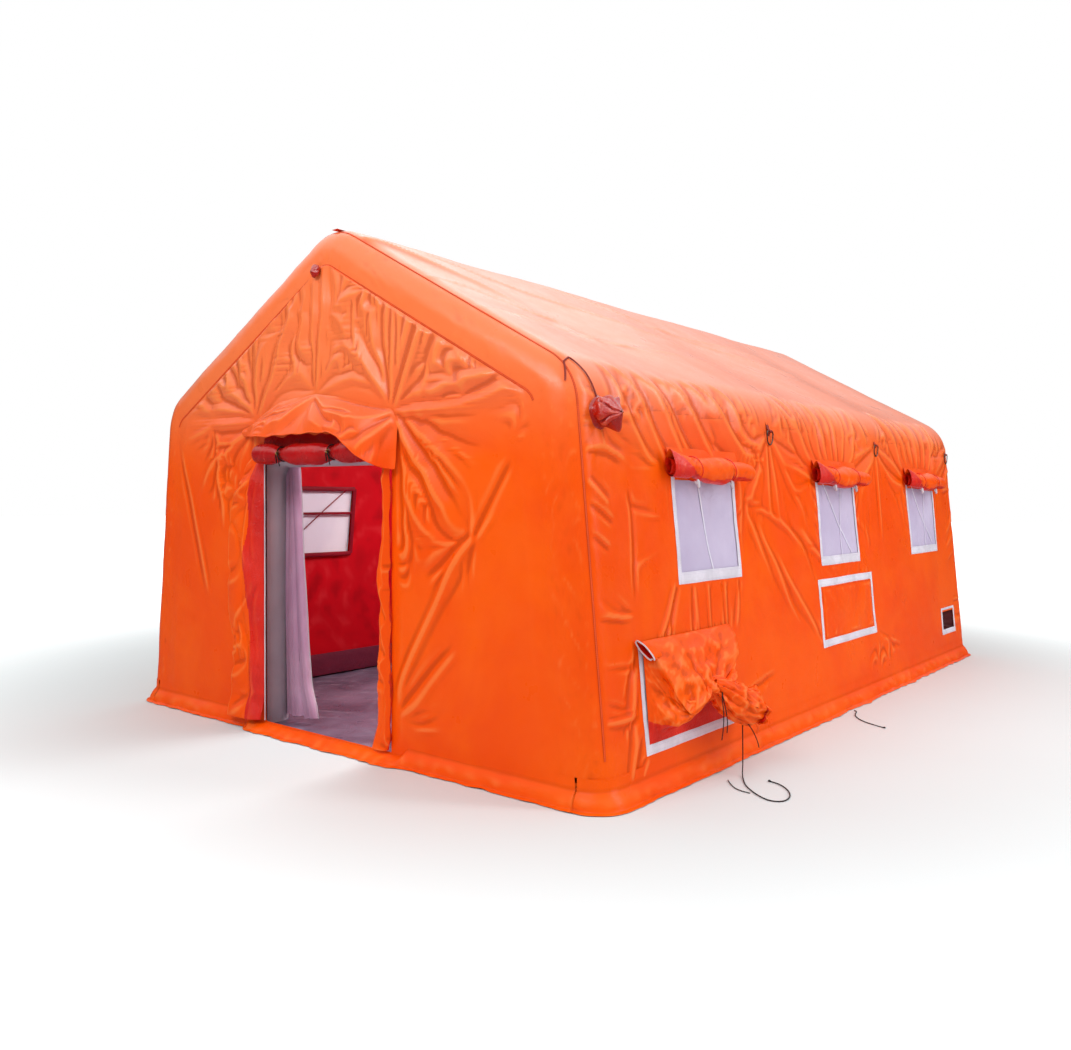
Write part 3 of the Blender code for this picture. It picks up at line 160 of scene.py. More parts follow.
def stack(*parts):
    """Numbers side by side, as places or as UV."""
    return np.stack(np.broadcast_arrays(*parts), -1)


def beside_wall(y, z, out, side):
    """A place at a height of a side wall, moved straight outward."""
    place = cover(y, s_at(z), 0.0, side)
    place[..., 0] += side * out
    return place


def off_wall(places):
    """Places by their distance along the right wall, their height and their lift, as points."""
    return cover(places[..., 0], s_at(np.maximum(places[..., 1], COVER_FOOT)), places[..., 2])


# Folds of cloth
def noise(u, v, seed=0):
    """Smooth noise from -1 to 1 over a plane."""
    iu, iv = np.floor(u).astype(np.int64), np.floor(v).astype(np.int64)
    fu, fv = u - iu, v - iv
    su = fu ** 3 * (fu * (fu * 6 - 15) + 10)
    sv = fv ** 3 * (fv * (fv * 6 - 15) + 10)

    def corner(i, j):
        mix = (iu + i) * 374761393 + (iv + j) * 668265263 + seed * 144269504
        mix = ((mix ^ (mix >> 13)) * 1274126177) & 0xffffffff
        angle = ((mix ^ (mix >> 16)) & 0xffff) * (2 * math.pi / 65536)
        return np.cos(angle) * (fu - i) + np.sin(angle) * (fv - j)

    low = corner(0, 0) * (1 - su) + corner(1, 0) * su
    high = corner(0, 1) * (1 - su) + corner(1, 1) * su
    return 1.4 * (low * (1 - sv) + high * sv)


def crumple(u, v, size, seed):
    """Creased cloth from about -1 to 1: soft facets between sharp crests."""
    u, v = u / size, v / size
    shift = 0.55 * noise(u * 0.6, v * 0.6, seed + 1)
    a = 1 - 2.2 * np.abs(noise(u + shift, v - shift, seed + 2))
    b = 1 - 2.2 * np.abs(noise(u * 2.3 + 7, v * 2.3 + shift, seed + 3))
    return 0.68 * a + 0.32 * b


def folds(u, v, runs):
    """Height of a set of folds. A run is its start, end, half width, height and bow: a sharp
    crest that starts strong, widens and fades."""
    total = np.zeros(u.shape)
    for (u0, v0), (u1, v1), width, rise, bow in runs:
        du, dv = u1 - u0, v1 - v0
        run = math.hypot(du, dv)
        a, b = u - u0, v - v0
        t = (a * du + b * dv) / run ** 2
        off = (b * du - a * dv) / run - bow * 4 * t * (1 - t)
        off = off / (width * (0.5 + 0.7 * np.clip(t, 0, 1)))
        off = np.where(off > 0, off * 1.7, off * 0.8)
        taper = smooth(t, -0.02, 0.12) * (1 - smooth(t, 0.35, 1.0))
        total += rise * taper * np.exp(-1.4 * (np.sqrt(off * off + 0.03) - 0.17))
    return total


def spread(seed):
    """A fixed stream of numbers from 0 to 1."""
    return np.random.default_rng(seed).random


def spread_pulls(first, last, count, width, amount, seed):
    """Pulls spread unevenly from the first run to the last, each run a start and an end."""
    pick = spread(seed)
    marks = []
    for k in range(count):
        t = (k + 0.7 * (pick() - 0.5)) / max(count - 1, 1)
        ends = [tuple(a + (b - a) * t + 0.03 * (pick() - 0.5) for a, b in zip(p, q))
                for p, q in zip(first, last)]
        marks.append((*ends, width * (0.6 + 0.9 * pick()), amount * (0.6 + 0.8 * pick())))
    return marks


# Cloth that settles into folds where it has more length than room. Its spare length is kept as
# shares along u, along v and across both, with the places it holds for.
def add_spare(spare, c, s, amount):
    """Adds spare length in a direction."""
    spare[0] += amount * c * c
    spare[1] += amount * s * s
    spare[2] += amount * c * s


def add_pinches(spare, marks):
    """Adds spare length round pinches: place, reach, amount and the angles each opens to."""
    u, v = spare[3], spare[4]
    for cu, cv, reach, amount, first, last in marks:
        du, dv = u - cu, v - cv
        r = np.hypot(du, dv) + 0.015
        away = np.abs((np.degrees(np.arctan2(dv, du)) - (first + last) / 2 + 180) % 360 - 180)
        half = (last - first) / 2
        within = 1.0 if half >= 180 else 1 - smooth(away, half - 8, half + 14)
        uneven = np.maximum(0.7 + 0.9 * noise(away / 17 + cu * 40, r * 1.2 + cv * 30, 17), 0.1)
        grow = amount * uneven * (r / 0.05) / (1 + r / 0.05) * np.exp(-(r / reach) ** 1.5) * within
        add_spare(spare, -dv / r, du / r, grow)
        add_spare(spare, du / r, dv / r, -0.10 * grow)


def add_pulls(spare, marks):
    """Adds spare length across straight pulls: both ends, half width and amount."""
    u, v = spare[3], spare[4]
    for (u0, v0), (u1, v1), width, amount in marks:
        run = math.hypot(u1 - u0, v1 - v0)
        c, s = (u1 - u0) / run, (v1 - v0) / run
        t = ((u - u0) * c + (v - v0) * s) / run
        off = ((v - v0) * c - (u - u0) * s) / (width * (0.6 + 0.6 * np.clip(t, 0, 1)))
        grow = amount * np.exp(-off ** 2) * smooth(t, -0.05, 0.12) * (1 - smooth(t, 0.70, 1.1))
        add_spare(spare, -s, c, grow)
        add_spare(spare, c, s, -0.1 * grow)


def add_crushed(spare, marks, seed):
    """Adds spare length that turns from place to place, in soft round patches."""
    u, v = spare[3], spare[4]
    angle = math.pi * 2.0 * noise(u / 0.36, v / 0.36, seed)
    for cu, cv, ru, rv, amount in marks:
        grow = amount * np.exp(-(((u - cu) / ru) ** 2 + ((v - cv) / rv) ** 2))
        add_spare(spare, np.cos(angle), np.sin(angle), grow)


def looked_up(grid, i, j):
    """Values of a grid at places between its rows and columns."""
    i, j = np.broadcast_arrays(i, j)
    i0 = np.clip(i.astype(int), 0, grid.shape[0] - 2)
    j0 = np.clip(j.astype(int), 0, grid.shape[1] - 2)
    a, b = np.clip(i - i0, 0, 1), np.clip(j - j0, 0, 1)
    if grid.ndim == 3:
        a, b = a[..., None], b[..., None]
    low = grid[i0, j0] * (1 - b) + grid[i0, j0 + 1] * b
    high = grid[i0 + 1, j0] * (1 - b) + grid[i0 + 1, j0 + 1] * b
    return low * (1 - a) + high * a


def linked(rows, columns, x, y, odd):
    """Both ends of every second link in a direction."""
    if y == 0:
        return (slice(None), slice(odd, columns - 1, 2)), (slice(None), slice(odd + 1, columns, 2))
    low, high = slice(odd, rows - 1, 2), slice(odd + 1, rows, 2)
    if x == 0:
        return (low, slice(None)), (high, slice(None))
    near, far = slice(0, columns - 1), slice(1, columns)
    return ((low, near), (high, far)) if y > 0 else ((high, near), (low, far))


def links_of(spare, u, v):
    """A cloth's links: both ends, length at rest and stiffness, in sets that share no place."""
    rows, columns = u.shape
    du, dv = u[0, 1] - u[0, 0], v[1, 0] - v[0, 0]
    links = []
    for x, y in ((1, 0), (0, 1), (1, 1), (1, -1)):
        size = math.hypot(x * du, y * dv)
        c, s = x * du / size, y * dv / size
        for odd in (0, 1):
            here, there = linked(rows, columns, x, y, odd)
            long = [(part[here] + part[there]) / 2 for part in spare[:3]]
            rest = size * (1 + c * c * long[0] + s * s * long[1] + 2 * c * s * long[2])
            links.append((here, there, rest.astype(np.float32), 0.5 if x * y else 1.0))
    return links


def pull_links(p, free, links):
    """Moves the free ends of the links towards their length at rest."""
    for here, there, rest, stiff in links:
        gap = p[there] - p[here]
        size = np.sqrt((gap * gap).sum(-1))
        a, b = free[here], free[there]
        push = (stiff * (size - rest) / (size * (a + b + 1e-6)))[..., None] * gap
        p[here] += push * a[..., None]
        p[there] -= push * b[..., None]


def settled(extent, fill, start, held, reach, rounds, tether=0.14, bend=0.13, sink=0.0007):
    """Heights of a cloth over a flat rectangle, from a coarse grid to a fine one. Its threads are
    longer than the room by the spare length, so it buckles. A tether keeps its places, and held
    parts stay as they start."""
    u0, u1, v0, v1 = extent
    offset = None
    for cell, steps in rounds:
        columns, rows = round((u1 - u0) / cell) + 1, round((v1 - v0) / cell) + 1
        u, v = np.meshgrid(np.linspace(u0, u1, columns), np.linspace(v0, v1, rows))
        flat = np.stack([u, v, 0 * u], -1)
        spare = [np.zeros_like(u), np.zeros_like(u), np.zeros_like(u), u, v]
        fill(spare)
        plain = np.stack([u, v, start(u, v)], -1).astype(np.float32)
        p = plain.copy()
        free = 1 - held(u, v)
        free[0], free[-1], free[:, 0], free[:, -1] = 0, 0, 0, 0
        if offset is not None:
            i = np.linspace(0, offset.shape[0] - 1, rows)[:, None]
            j = np.linspace(0, offset.shape[1] - 1, columns)[None, :]
            finer = (flat + looked_up(offset, i, j)).astype(np.float32)
            p = np.where(free[..., None] > 0, finer, plain)
        free = free.astype(np.float32)
        low, high = (np.asarray(edge, np.float32) for edge in reach(u, v))
        links = links_of(spare, u, v)
        before = p.copy()
        moved = free[..., None]
        for _ in range(steps):
            going = (p - before) * 0.93 * moved
            before = p.copy()
            p = p + going
            pull_links(p, free, links)
            mean = (p[1:-1, :-2] + p[1:-1, 2:] + p[:-2, 1:-1] + p[2:, 1:-1]) / 4
            p[1:-1, 1:-1] += bend * (mean - p[1:-1, 1:-1]) * moved[1:-1, 1:-1]
            p[..., :2] += tether * (plain[..., :2] - p[..., :2])
            p[..., 2] += sink * (plain[..., 2] - p[..., 2])
            p[..., 2] = np.clip(p[..., 2], low, high)
        offset = p - flat
    return offset[..., 2].astype(float)


def height_in(heights, extent, u, v):
    """Height of a settled cloth at a place."""
    u0, u1, v0, v1 = extent
    i = np.clip((np.asarray(v, float) - v0) / (v1 - v0), 0, 1) * (heights.shape[0] - 1)
    j = np.clip((np.asarray(u, float) - u0) / (u1 - u0), 0, 1) * (heights.shape[1] - 1)
    return looked_up(heights, i, j)


# Meshes
def surface(name, points, uv, finish, cut=None, shade=None, weld=False, slots=None):
    """A smooth grid mesh. uv is in metres, cut marks cells left out and slots their finish."""
    rows, columns = points.shape[:2]
    index = np.arange(rows * columns).reshape(rows, columns)
    quads = np.stack([index[:-1, :-1], index[:-1, 1:], index[1:, 1:], index[1:, :-1]], -1)
    quads = quads.reshape(-1, 4)
    slots = None if slots is None else np.asarray(slots).reshape(-1)
    if cut is not None:
        left = ~cut.reshape(-1)
        quads = quads[left]
        slots = None if slots is None else slots[left]
    used = np.unique(quads)
    place = np.full(rows * columns, -1)
    place[used] = np.arange(len(used))
    mesh = bpy.data.meshes.new(name)
    mesh.from_pydata(points.reshape(-1, 3)[used].tolist(), [], place[quads].tolist())
    layer = mesh.uv_layers.new(name="UVMap")
    layer.data.foreach_set("uv", uv.reshape(-1, 2)[quads.reshape(-1)].astype(np.float32).ravel())
    # fold marks: where the finish paints a highlight on crests and shade in dips
    if shade is not None:
        store = mesh.attributes.new("fold", "FLOAT", "POINT")
        store.data.foreach_set("value", shade.reshape(-1)[used].astype(np.float32))
    finishes = finish if isinstance(finish, (list, tuple)) else [finish]
    for one in finishes:
        mesh.materials.append(one)
    if slots is not None:
        mesh.polygons.foreach_set("material_index", slots.astype(np.int32))
    mesh.shade_smooth()
    if weld:
        work = bmesh.new()
        work.from_mesh(mesh)
        bmesh.ops.remove_doubles(work, verts=work.verts, dist=1e-5)
        work.to_mesh(mesh)
        work.free()
    thing = bpy.data.objects.new(name, mesh)
    bpy.context.scene.collection.objects.link(thing)
    return thing


def crease_shade(height):
    """Where a height field crests, above 0, and where it dips, below 0: marks for painted highlight and
    painted shade.
    """
    h = np.pad(height, 2, mode="edge")
    around = (h[:-4, 2:-2] + h[4:, 2:-2] + h[2:-2, :-4] + h[2:-2, 4:]) / 4
    near = (h[1:-3, 2:-2] + h[3:-1, 2:-2] + h[2:-2, 1:-3] + h[2:-2, 3:-1]) / 4
    return np.clip((2 * height - around - near) / 0.004, -1, 1)


def frames(path, closed=False):
    """Directions along and across a path, turned as little as it allows."""
    path = np.asarray(path, float)
    if closed:
        along = np.roll(path, -1, 0) - np.roll(path, 1, 0)
    else:
        along = np.gradient(path, axis=0)
    along /= np.linalg.norm(along, axis=1, keepdims=True)
    start = np.array([0.0, 0.0, 1.0]) if abs(along[0, 2]) < 0.9 else np.array([1.0, 0.0, 0.0])
    normal = start - along[0] * (start @ along[0])
    normals = []
    for direction in along:
        normal = normal - direction * (normal @ direction)
        normal = normal / np.linalg.norm(normal)
        normals.append(normal)
    normals = np.array(normals)
    return along, normals, np.cross(along, normals)


def tube(name, path, radius, finish, sides=12, closed=False):
    """A round tube along a path, its ends closed."""
    path = np.asarray(path, float)
    along, up, across = frames(path, closed)
    if closed:
        # the leftover twist is shared by all rings
        last = np.cross(along[0], up[0])
        twist = math.atan2(float(up[-1] @ last), float(up[-1] @ up[0]))
        angles = -twist * np.arange(len(path)) / len(path)
        turned = up * np.cos(angles)[:, None] + across * np.sin(angles)[:, None]
        across = np.cross(along, turned)
        up = turned
    radius = np.broadcast_to(np.asarray(radius, float), (len(path),))
    turn = 2 * math.pi * np.arange(sides) / sides
    ring = up[:, None] * np.cos(turn)[:, None] + across[:, None] * np.sin(turn)[:, None]
    points = path[:, None] + ring * radius[:, None, None]
    count = len(path)
    faces = []
    for k in range(count if closed else count - 1):
        here, there = k * sides, (k + 1) % count * sides
        faces += [(here + s, here + (s + 1) % sides, there + (s + 1) % sides, there + s)
                  for s in range(sides)]
    if not closed:
        faces.append(tuple(range(sides))[::-1])
        faces.append(tuple((count - 1) * sides + s for s in range(sides)))
    mesh = bpy.data.meshes.new(name)
    mesh.from_pydata(points.reshape(-1, 3).tolist(), [], faces)
    mesh.materials.append(finish)
    mesh.shade_smooth()
    mesh.set_sharp_from_angle(angle=math.radians(50))
    thing = bpy.data.objects.new(name, mesh)
    bpy.context.scene.collection.objects.link(thing)
    return thing


def ribbon(name, path, normals, width, thick, finish):
    """A flat strip along a path, lying square to the normals, with rounded edges. UV u is the
    length along it and v the place across it, in metres."""
    path, normals = np.asarray(path, float), np.asarray(normals, float)
    along = np.gradient(path, axis=0)
    along /= np.linalg.norm(along, axis=1, keepdims=True) + 1e-12
    across = np.cross(along, normals)
    across /= np.linalg.norm(across, axis=1, keepdims=True) + 1e-12
    up = np.cross(across, along)
    half = width / 2
    shape = [(-half, 0.0), (-half * 0.92, thick), (-half * 0.3, thick * 1.15),
             (half * 0.3, thick * 1.15), (half * 0.92, thick), (half, 0.0)]
    run = np.concatenate([[0], np.cumsum(np.linalg.norm(np.diff(path, axis=0), axis=1))])
    points = np.stack([path + across * a + up * b for a, b in shape], 0)
    uv = np.stack([stack(run, a) for a, b in shape], 0)
    return surface(name, points, uv, finish)


def joined(name, things):
    """Several pieces made one."""
    bpy.ops.object.select_all(action="DESELECT")
    for thing in things:
        thing.select_set(True)
    bpy.context.view_layer.objects.active = things[0]
    bpy.ops.object.join()
    things[0].name = name
    things[0].data.name = name
    return things[0]


def keep(thing, body, slot, *nodes):
    """Sets a piece on its body, and in place of the nodes. Its slot is not used."""
    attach(thing, body)
    if nodes:
        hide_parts(*nodes)
    return thing


# Materials
def linear(red, green, blue):
    """A colour given as it shows on a screen, from 0 to 255."""
    shares = [value / 255 for value in (red, green, blue)]
    return tuple(share / 12.92 if share <= 0.04045 else ((share + 0.055) / 1.055) ** 2.4
                 for share in shares) + (1.0,)


def darker(colour, share):
    """A colour scaled down."""
    return tuple(part * share for part in colour[:3]) + (1.0,)


def mixed(tree, share, low, high):
    """A colour between two, by a share."""
    node = tree.nodes.new("ShaderNodeMix")
    node.data_type = "RGBA"
    tree.links.new(share, node.inputs["Factor"])
    for socket, value in ((node.inputs[6], low), (node.inputs[7], high)):
        if isinstance(value, tuple):
            socket.default_value = value
        else:
            tree.links.new(value, socket)
    return node.outputs[2]


def calc(tree, kind, first, second=0.0, third=0.0):
    """One arithmetic step on sockets or numbers."""
    node = tree.nodes.new("ShaderNodeMath")
    node.operation = kind
    for socket, value in zip(node.inputs, (first, second, third)):
        if isinstance(value, (int, float)):
            socket.default_value = value
        else:
            tree.links.new(value, socket)
    return node.outputs[0]


def ramp(tree, value, low, high, start=0.0, end=1.0):
    """A soft step of a value, mapped to a range."""
    node = tree.nodes.new("ShaderNodeMapRange")
    node.interpolation_type = "SMOOTHSTEP"
    tree.links.new(value, node.inputs[0])
    for number, limit in enumerate((low, high, start, end), 1):
        node.inputs[number].default_value = limit
    return node.outputs[0]


def grain(tree, place, scale, detail=3.0, rough=0.55, distortion=0.0):
    """A noise over the object's own places."""
    node = tree.nodes.new("ShaderNodeTexNoise")
    tree.links.new(place, node.inputs["Vector"])
    for socket, value in (("Scale", scale), ("Detail", detail), ("Roughness", rough),
                          ("Distortion", distortion)):
        node.inputs[socket].default_value = value
    return node.outputs[0]


def new_finish(name):
    """An empty finish: itself, its nodes, its shader and the object's own places."""
    finish = bpy.data.materials.new(name)
    finish.use_nodes = True
    tree = finish.node_tree
    place = tree.nodes.new("ShaderNodeTexCoord").outputs["Object"]
    return finish, tree, tree.nodes["Principled BSDF"], place


def add_bump(tree, shader, height, strength=1.0, distance=1.0):
    """Lays a height over a finish."""
    bump = tree.nodes.new("ShaderNodeBump")
    bump.inputs["Strength"].default_value = strength
    bump.inputs["Distance"].default_value = distance
    tree.links.new(height, bump.inputs["Height"])
    tree.links.new(bump.outputs[0], shader.inputs["Normal"])


def cloth(name, colour, deep, pale=None, roughness=0.4, specular=0.35, crinkle=0.5, crinkle_scale=14.0,
          weave=0.15, weave_scale=500.0, drift=1.3, sheen=0.0, coat=0.0, shade=0.5, high=None):
    """Woven or coated cloth: two tones that drift, a painted highlight on crests and painted shade
    in dips, from the fold marks, crinkles, a fine weave and uneven gloss. With high, its colour
    changes up to that paler colour on the roof, a painted sheen, under a coat of that weight."""
    finish, tree, shader, place = new_finish(name)
    link = tree.links.new
    wander = grain(tree, place, drift, 4.0, 0.6, 0.4)
    tone = mixed(tree, ramp(tree, wander, 0.36, 0.66), deep, colour)
    split = tree.nodes.new("ShaderNodeSeparateXYZ")
    link(place, split.inputs[0])
    # painted sheen: on the roof the colour turns paler
    if high:
        on_roof = ramp(tree, split.outputs[2], *ROOF_BLEND)
        tone = mixed(tree, on_roof, tone, high[0])
    # painted highlight: crests turn to the pale colour; painted shade: dips turn darker, both by the
    # fold marks
    marks = tree.nodes.new("ShaderNodeAttribute")
    marks.attribute_name = "fold"
    crest = ramp(tree, marks.outputs["Fac"], 0.05, 1.0, 0.0, shade)
    dip = ramp(tree, marks.outputs["Fac"], -1.0, -0.05, shade, 0.0)
    tone = mixed(tree, crest, tone, pale or colour)
    tone = mixed(tree, dip, tone, darker(deep, 0.45))
    fine = grain(tree, place, 190.0, 2.0, 0.6)
    tone = mixed(tree, ramp(tree, fine, 0.3, 0.7, 0.0, 0.10), tone, deep)
    link(tone, shader.inputs["Base Color"])
    gloss = grain(tree, place, 5.0, 3.0, 0.6)
    link(ramp(tree, gloss, 0.3, 0.7, max(roughness - 0.07, 0.05), roughness + 0.09),
         shader.inputs["Roughness"])
    shader.inputs["Specular IOR Level"].default_value = specular
    shader.inputs["Sheen Weight"].default_value = sheen
    shader.inputs["Coat Weight"].default_value = coat
    shader.inputs["Coat Roughness"].default_value = 0.30 if high else 0.18
    if high:
        link(ramp(tree, on_roof, 0.0, 1.0, 0.0, high[1]), shader.inputs["Coat Weight"])
    creased = grain(tree, place, crinkle_scale, 5.0, 0.62, 1.4)
    sharp = calc(tree, "ABSOLUTE", calc(tree, "SUBTRACT", creased, 0.5))
    height = calc(tree, "MULTIPLY", sharp, -crinkle * 0.020)
    small = grain(tree, place, crinkle_scale * 4.2, 3.0, 0.6, 0.8)
    height = calc(tree, "MULTIPLY_ADD", small, crinkle * 0.0022, height)
    if high:
        height = calc(tree, "MULTIPLY", height, ramp(tree, on_roof, 0.0, 1.0, 1.0, 0.3))
    threads = None
    for axis in range(3):
        turn = calc(tree, "MULTIPLY", split.outputs[axis], weave_scale * 2 * math.pi)
        wave = calc(tree, "SINE", turn)
        threads = wave if threads is None else calc(tree, "MAXIMUM", threads, wave)
    add_bump(tree, shader, calc(tree, "MULTIPLY_ADD", threads, weave * 0.0003, height))
    return finish


def stitched(name, colour, thread, pitch=0.012, seams=(0.0,)):
    """Webbing or tape with rows of stitches along it, from the strip's own UV."""
    finish = cloth(name, colour, darker(colour, 0.82), roughness=0.55, crinkle=0.15, weave=0.6,
                   weave_scale=330.0, drift=6.0)
    tree = finish.node_tree
    shader = tree.nodes["Principled BSDF"]
    uv = tree.nodes.new("ShaderNodeTexCoord").outputs["UV"]
    split = tree.nodes.new("ShaderNodeSeparateXYZ")
    tree.links.new(uv, split.inputs[0])
    dash = calc(tree, "FRACT", calc(tree, "DIVIDE", split.outputs[0], pitch))
    dash = calc(tree, "LESS_THAN", dash, 0.62)
    rows = None
    for seam in seams:
        near = calc(tree, "ABSOLUTE", calc(tree, "SUBTRACT", split.outputs[1], seam))
        near = calc(tree, "LESS_THAN", near, 0.0009)
        rows = near if rows is None else calc(tree, "MAXIMUM", rows, near)
    mark = calc(tree, "MULTIPLY", dash, rows)
    base = shader.inputs["Base Color"].links[0].from_socket
    tree.links.new(mixed(tree, mark, base, thread), shader.inputs["Base Color"])
    return finish


def metal(name, colour, deep, roughness):
    """Zinc-plated wire with dull patches."""
    finish, tree, shader, place = new_finish(name)
    patches = grain(tree, place, 60.0, 5.0, 0.7)
    tree.links.new(mixed(tree, ramp(tree, patches, 0.35, 0.65), colour, deep),
                   shader.inputs["Base Color"])
    tree.links.new(ramp(tree, patches, 0.3, 0.7, roughness - 0.1, roughness + 0.2),
                   shader.inputs["Roughness"])
    shader.inputs["Metallic"].default_value = 1.0
    add_bump(tree, shader, grain(tree, place, 400.0, 3.0, 0.6), 0.3, 0.0005)
    return finish


# heights between which the cover's colour changes from wall to roof, up to a paler colour that is a
# painted sheen
ROOF_BLEND = (1.55, 2.25)
# a cloth's third colour, where given, is the painted highlight on its crests
ORANGE = cloth("orange_cover", linear(252, 92, 2), linear(246, 78, 1), linear(255, 142, 70),
               roughness=0.34, specular=0.15, crinkle=0.15, crinkle_scale=7.0,
               high=(linear(254, 122, 62), 0.85))
RED = cloth("red_coated", linear(196, 12, 16), linear(168, 6, 12), linear(236, 90, 80),
            roughness=0.22, specular=0.5, crinkle=0.3, crinkle_scale=14.0)
LINER = cloth("liner_red", linear(206, 8, 26), linear(198, 6, 24), linear(222, 50, 56),
              roughness=0.6, specular=0.1, crinkle=0.2, crinkle_scale=4.0)
TRIM = cloth("liner_trim", linear(146, 14, 34), linear(120, 8, 26), roughness=0.55, specular=0.2,
             crinkle=0.2, crinkle_scale=20.0)
HEM = cloth("liner_hem", linear(122, 34, 58), linear(98, 22, 46), roughness=0.5, crinkle=0.4)
GREY = cloth("air_beam_grey", linear(188, 178, 188), linear(172, 162, 174), linear(204, 198, 206),
             roughness=0.42, specular=0.4, crinkle=0.18, crinkle_scale=7.0)
FLOOR = cloth("groundsheet_grey", linear(128, 112, 134), linear(96, 82, 102), linear(176, 166, 184),
              roughness=0.34, specular=0.45, crinkle=0.7, crinkle_scale=5.0)
MESH = cloth("window_mesh", linear(208, 196, 222), linear(194, 180, 210), linear(226, 216, 236),
             roughness=0.6, specular=0.25, crinkle=0.25, crinkle_scale=3.0, weave=0.8,
             weave_scale=700.0, drift=1.0)
PANE = cloth("liner_pane", linear(246, 243, 250), linear(232, 228, 240), roughness=0.6,
             specular=0.2, crinkle=0.1)
LILAC = cloth("curtain_lilac", linear(222, 180, 208), linear(200, 150, 184), linear(244, 220, 238),
              roughness=0.5, specular=0.3, crinkle=0.3, crinkle_scale=12.0, sheen=0.2)
BLACK = cloth("black_braid", linear(26, 24, 26), linear(12, 11, 12), linear(60, 58, 60),
              roughness=0.6, crinkle=0.1, weave=1.5, weave_scale=420.0)
BORDER = stitched("white_border", linear(232, 226, 238), linear(196, 186, 206), 0.009,
                  (0.006, 0.013))
LINING = cloth("red_lining", linear(238, 38, 7), linear(206, 18, 5), linear(255, 104, 50),
               roughness=0.34, specular=0.45, crinkle=0.4, crinkle_scale=16.0)
POCKET = cloth("dark_pocket", linear(96, 14, 20), linear(58, 6, 10), roughness=0.6, crinkle=0.4)
BOOT = cloth("valve_boot_red", linear(190, 22, 6), linear(140, 10, 4), linear(255, 140, 100),
             roughness=0.16, specular=0.6, crinkle=0.4, crinkle_scale=20.0, coat=0.5)
TAB = cloth("ring_tab_red", linear(186, 44, 14), linear(140, 24, 8), roughness=0.45, crinkle=0.3)
CORD_WHITE = cloth("white_cord", linear(228, 220, 226), linear(196, 184, 194), roughness=0.55,
                   crinkle=0.1, weave=1.5, weave_scale=380.0)
THREAD = cloth("pale_tape", linear(240, 236, 248), linear(226, 220, 238), roughness=0.5, crinkle=0.1)
BRASS = metal("eyelet_brass", linear(150, 110, 60), linear(90, 62, 34), 0.35)
SEAM_TAPE = stitched("seam_tape", linear(238, 78, 10), linear(170, 40, 8), 0.010, (-0.004, 0.004))
# painted shadow: a dark red line that stands for the shadow along a raised edge of the cloth
SHADOW_TAPE = cloth("shadow_line_red", linear(140, 26, 10), linear(96, 14, 6), roughness=0.45,
                    crinkle=0.2)
STEEL = metal("ring_steel", linear(120, 112, 108), linear(74, 66, 62), 0.42)
RUBBER = cloth("valve_black", linear(30, 30, 31), linear(18, 18, 19), roughness=0.5, crinkle=0.05,
               weave=0.0)


# Camera, floor and light
LENS = 32.05
CAMERA_PLACE = (4.3922, -6.5276, 1.4399)
CAMERA_RIGHT = Vector((0.77923, 0.62671, 0.00603))
CAMERA_UP = Vector((-0.02248, 0.01834, 0.99958))
FLOOR_SIZE = 60.0
# strength of the sky low and high, as light and as a shine
SKY = (0.42, 0.86)
SHINE = (0.03, 1.35)
# name, place, aim, width, height and power
LAMPS = (
    ("key", (1.5, -7.5, 5.0), (0.0, -1.0, 1.0), 5.0, 1.6, 170.0),
    ("side", (7.5, 0.5, 4.6), (1.0, 0.0, 1.0), 1.6, 6.0, 230.0),
    ("top", (-1.0, 1.0, 7.0), (0.0, 0.0, 2.0), 5.0, 5.0, 60.0),
    ("inside", (0.0, -0.6, 2.35), (0.0, -0.6, 0.0), 1.0, 3.6, 85.0),
)


def mixed_level(tree, share, low, high):
    """A number between two, by a share."""
    return calc(tree, "MULTIPLY_ADD", share, calc(tree, "SUBTRACT", high, low), low)


def make_camera(scene):
    """The camera at the photographed angle."""
    data = bpy.data.cameras.new("camera")
    data.lens = LENS
    data.sensor_width = 36.0
    camera = bpy.data.objects.new("camera", data)
    turned = Matrix((CAMERA_RIGHT, CAMERA_UP, CAMERA_RIGHT.cross(CAMERA_UP))).transposed()
    camera.matrix_world = Matrix.Translation(CAMERA_PLACE) @ turned.to_4x4()
    scene.collection.objects.link(camera)
    scene.camera = camera


def make_sky(scene):
    """A white sky, brighter above, with a steeper run for what shines."""
    world = bpy.data.worlds.new("studio")
    scene.world = world
    world.use_nodes = True
    tree = world.node_tree
    sky = tree.nodes["Background"]
    sky.inputs["Color"].default_value = (1.0, 1.0, 1.0, 1.0)
    path = tree.nodes.new("ShaderNodeLightPath")
    seen = calc(tree, "MAXIMUM", path.outputs["Is Camera Ray"], path.outputs["Is Transmission Ray"])
    split = tree.nodes.new("ShaderNodeSeparateXYZ")
    tree.links.new(tree.nodes.new("ShaderNodeTexCoord").outputs["Generated"], split.inputs[0])
    soft = ramp(tree, split.outputs[2], 0.0, 0.9, *SKY)
    shine = ramp(tree, split.outputs[2], 0.15, 0.60, *SHINE)
    level = mixed_level(tree, path.outputs["Is Glossy Ray"], soft, shine)
    tree.links.new(mixed_level(tree, seen, level, 1.0), sky.inputs["Strength"])


def make_view():
    """The camera, the floor, the sky and the lamps."""
    scene = bpy.context.scene
    scene.view_settings.view_transform = "Standard"
    make_camera(scene)
    half = np.array([-FLOOR_SIZE, FLOOR_SIZE])
    x, y = np.meshgrid(half, half)
    surface("studio_floor", stack(x, y, -0.001), np.zeros((2, 2, 2)), studio_white())
    make_sky(scene)
    for name, place, aim, width, height, power in LAMPS:
        data = bpy.data.lights.new(name, "AREA")
        data.shape = "RECTANGLE"
        data.size = width
        data.size_y = height
        data.energy = power
        lamp = bpy.data.objects.new(name, data)
        lamp.location = place
        lamp.rotation_euler = (Vector(aim) - Vector(place)).to_track_quat("-Z", "Y").to_euler()
        scene.collection.objects.link(lamp)


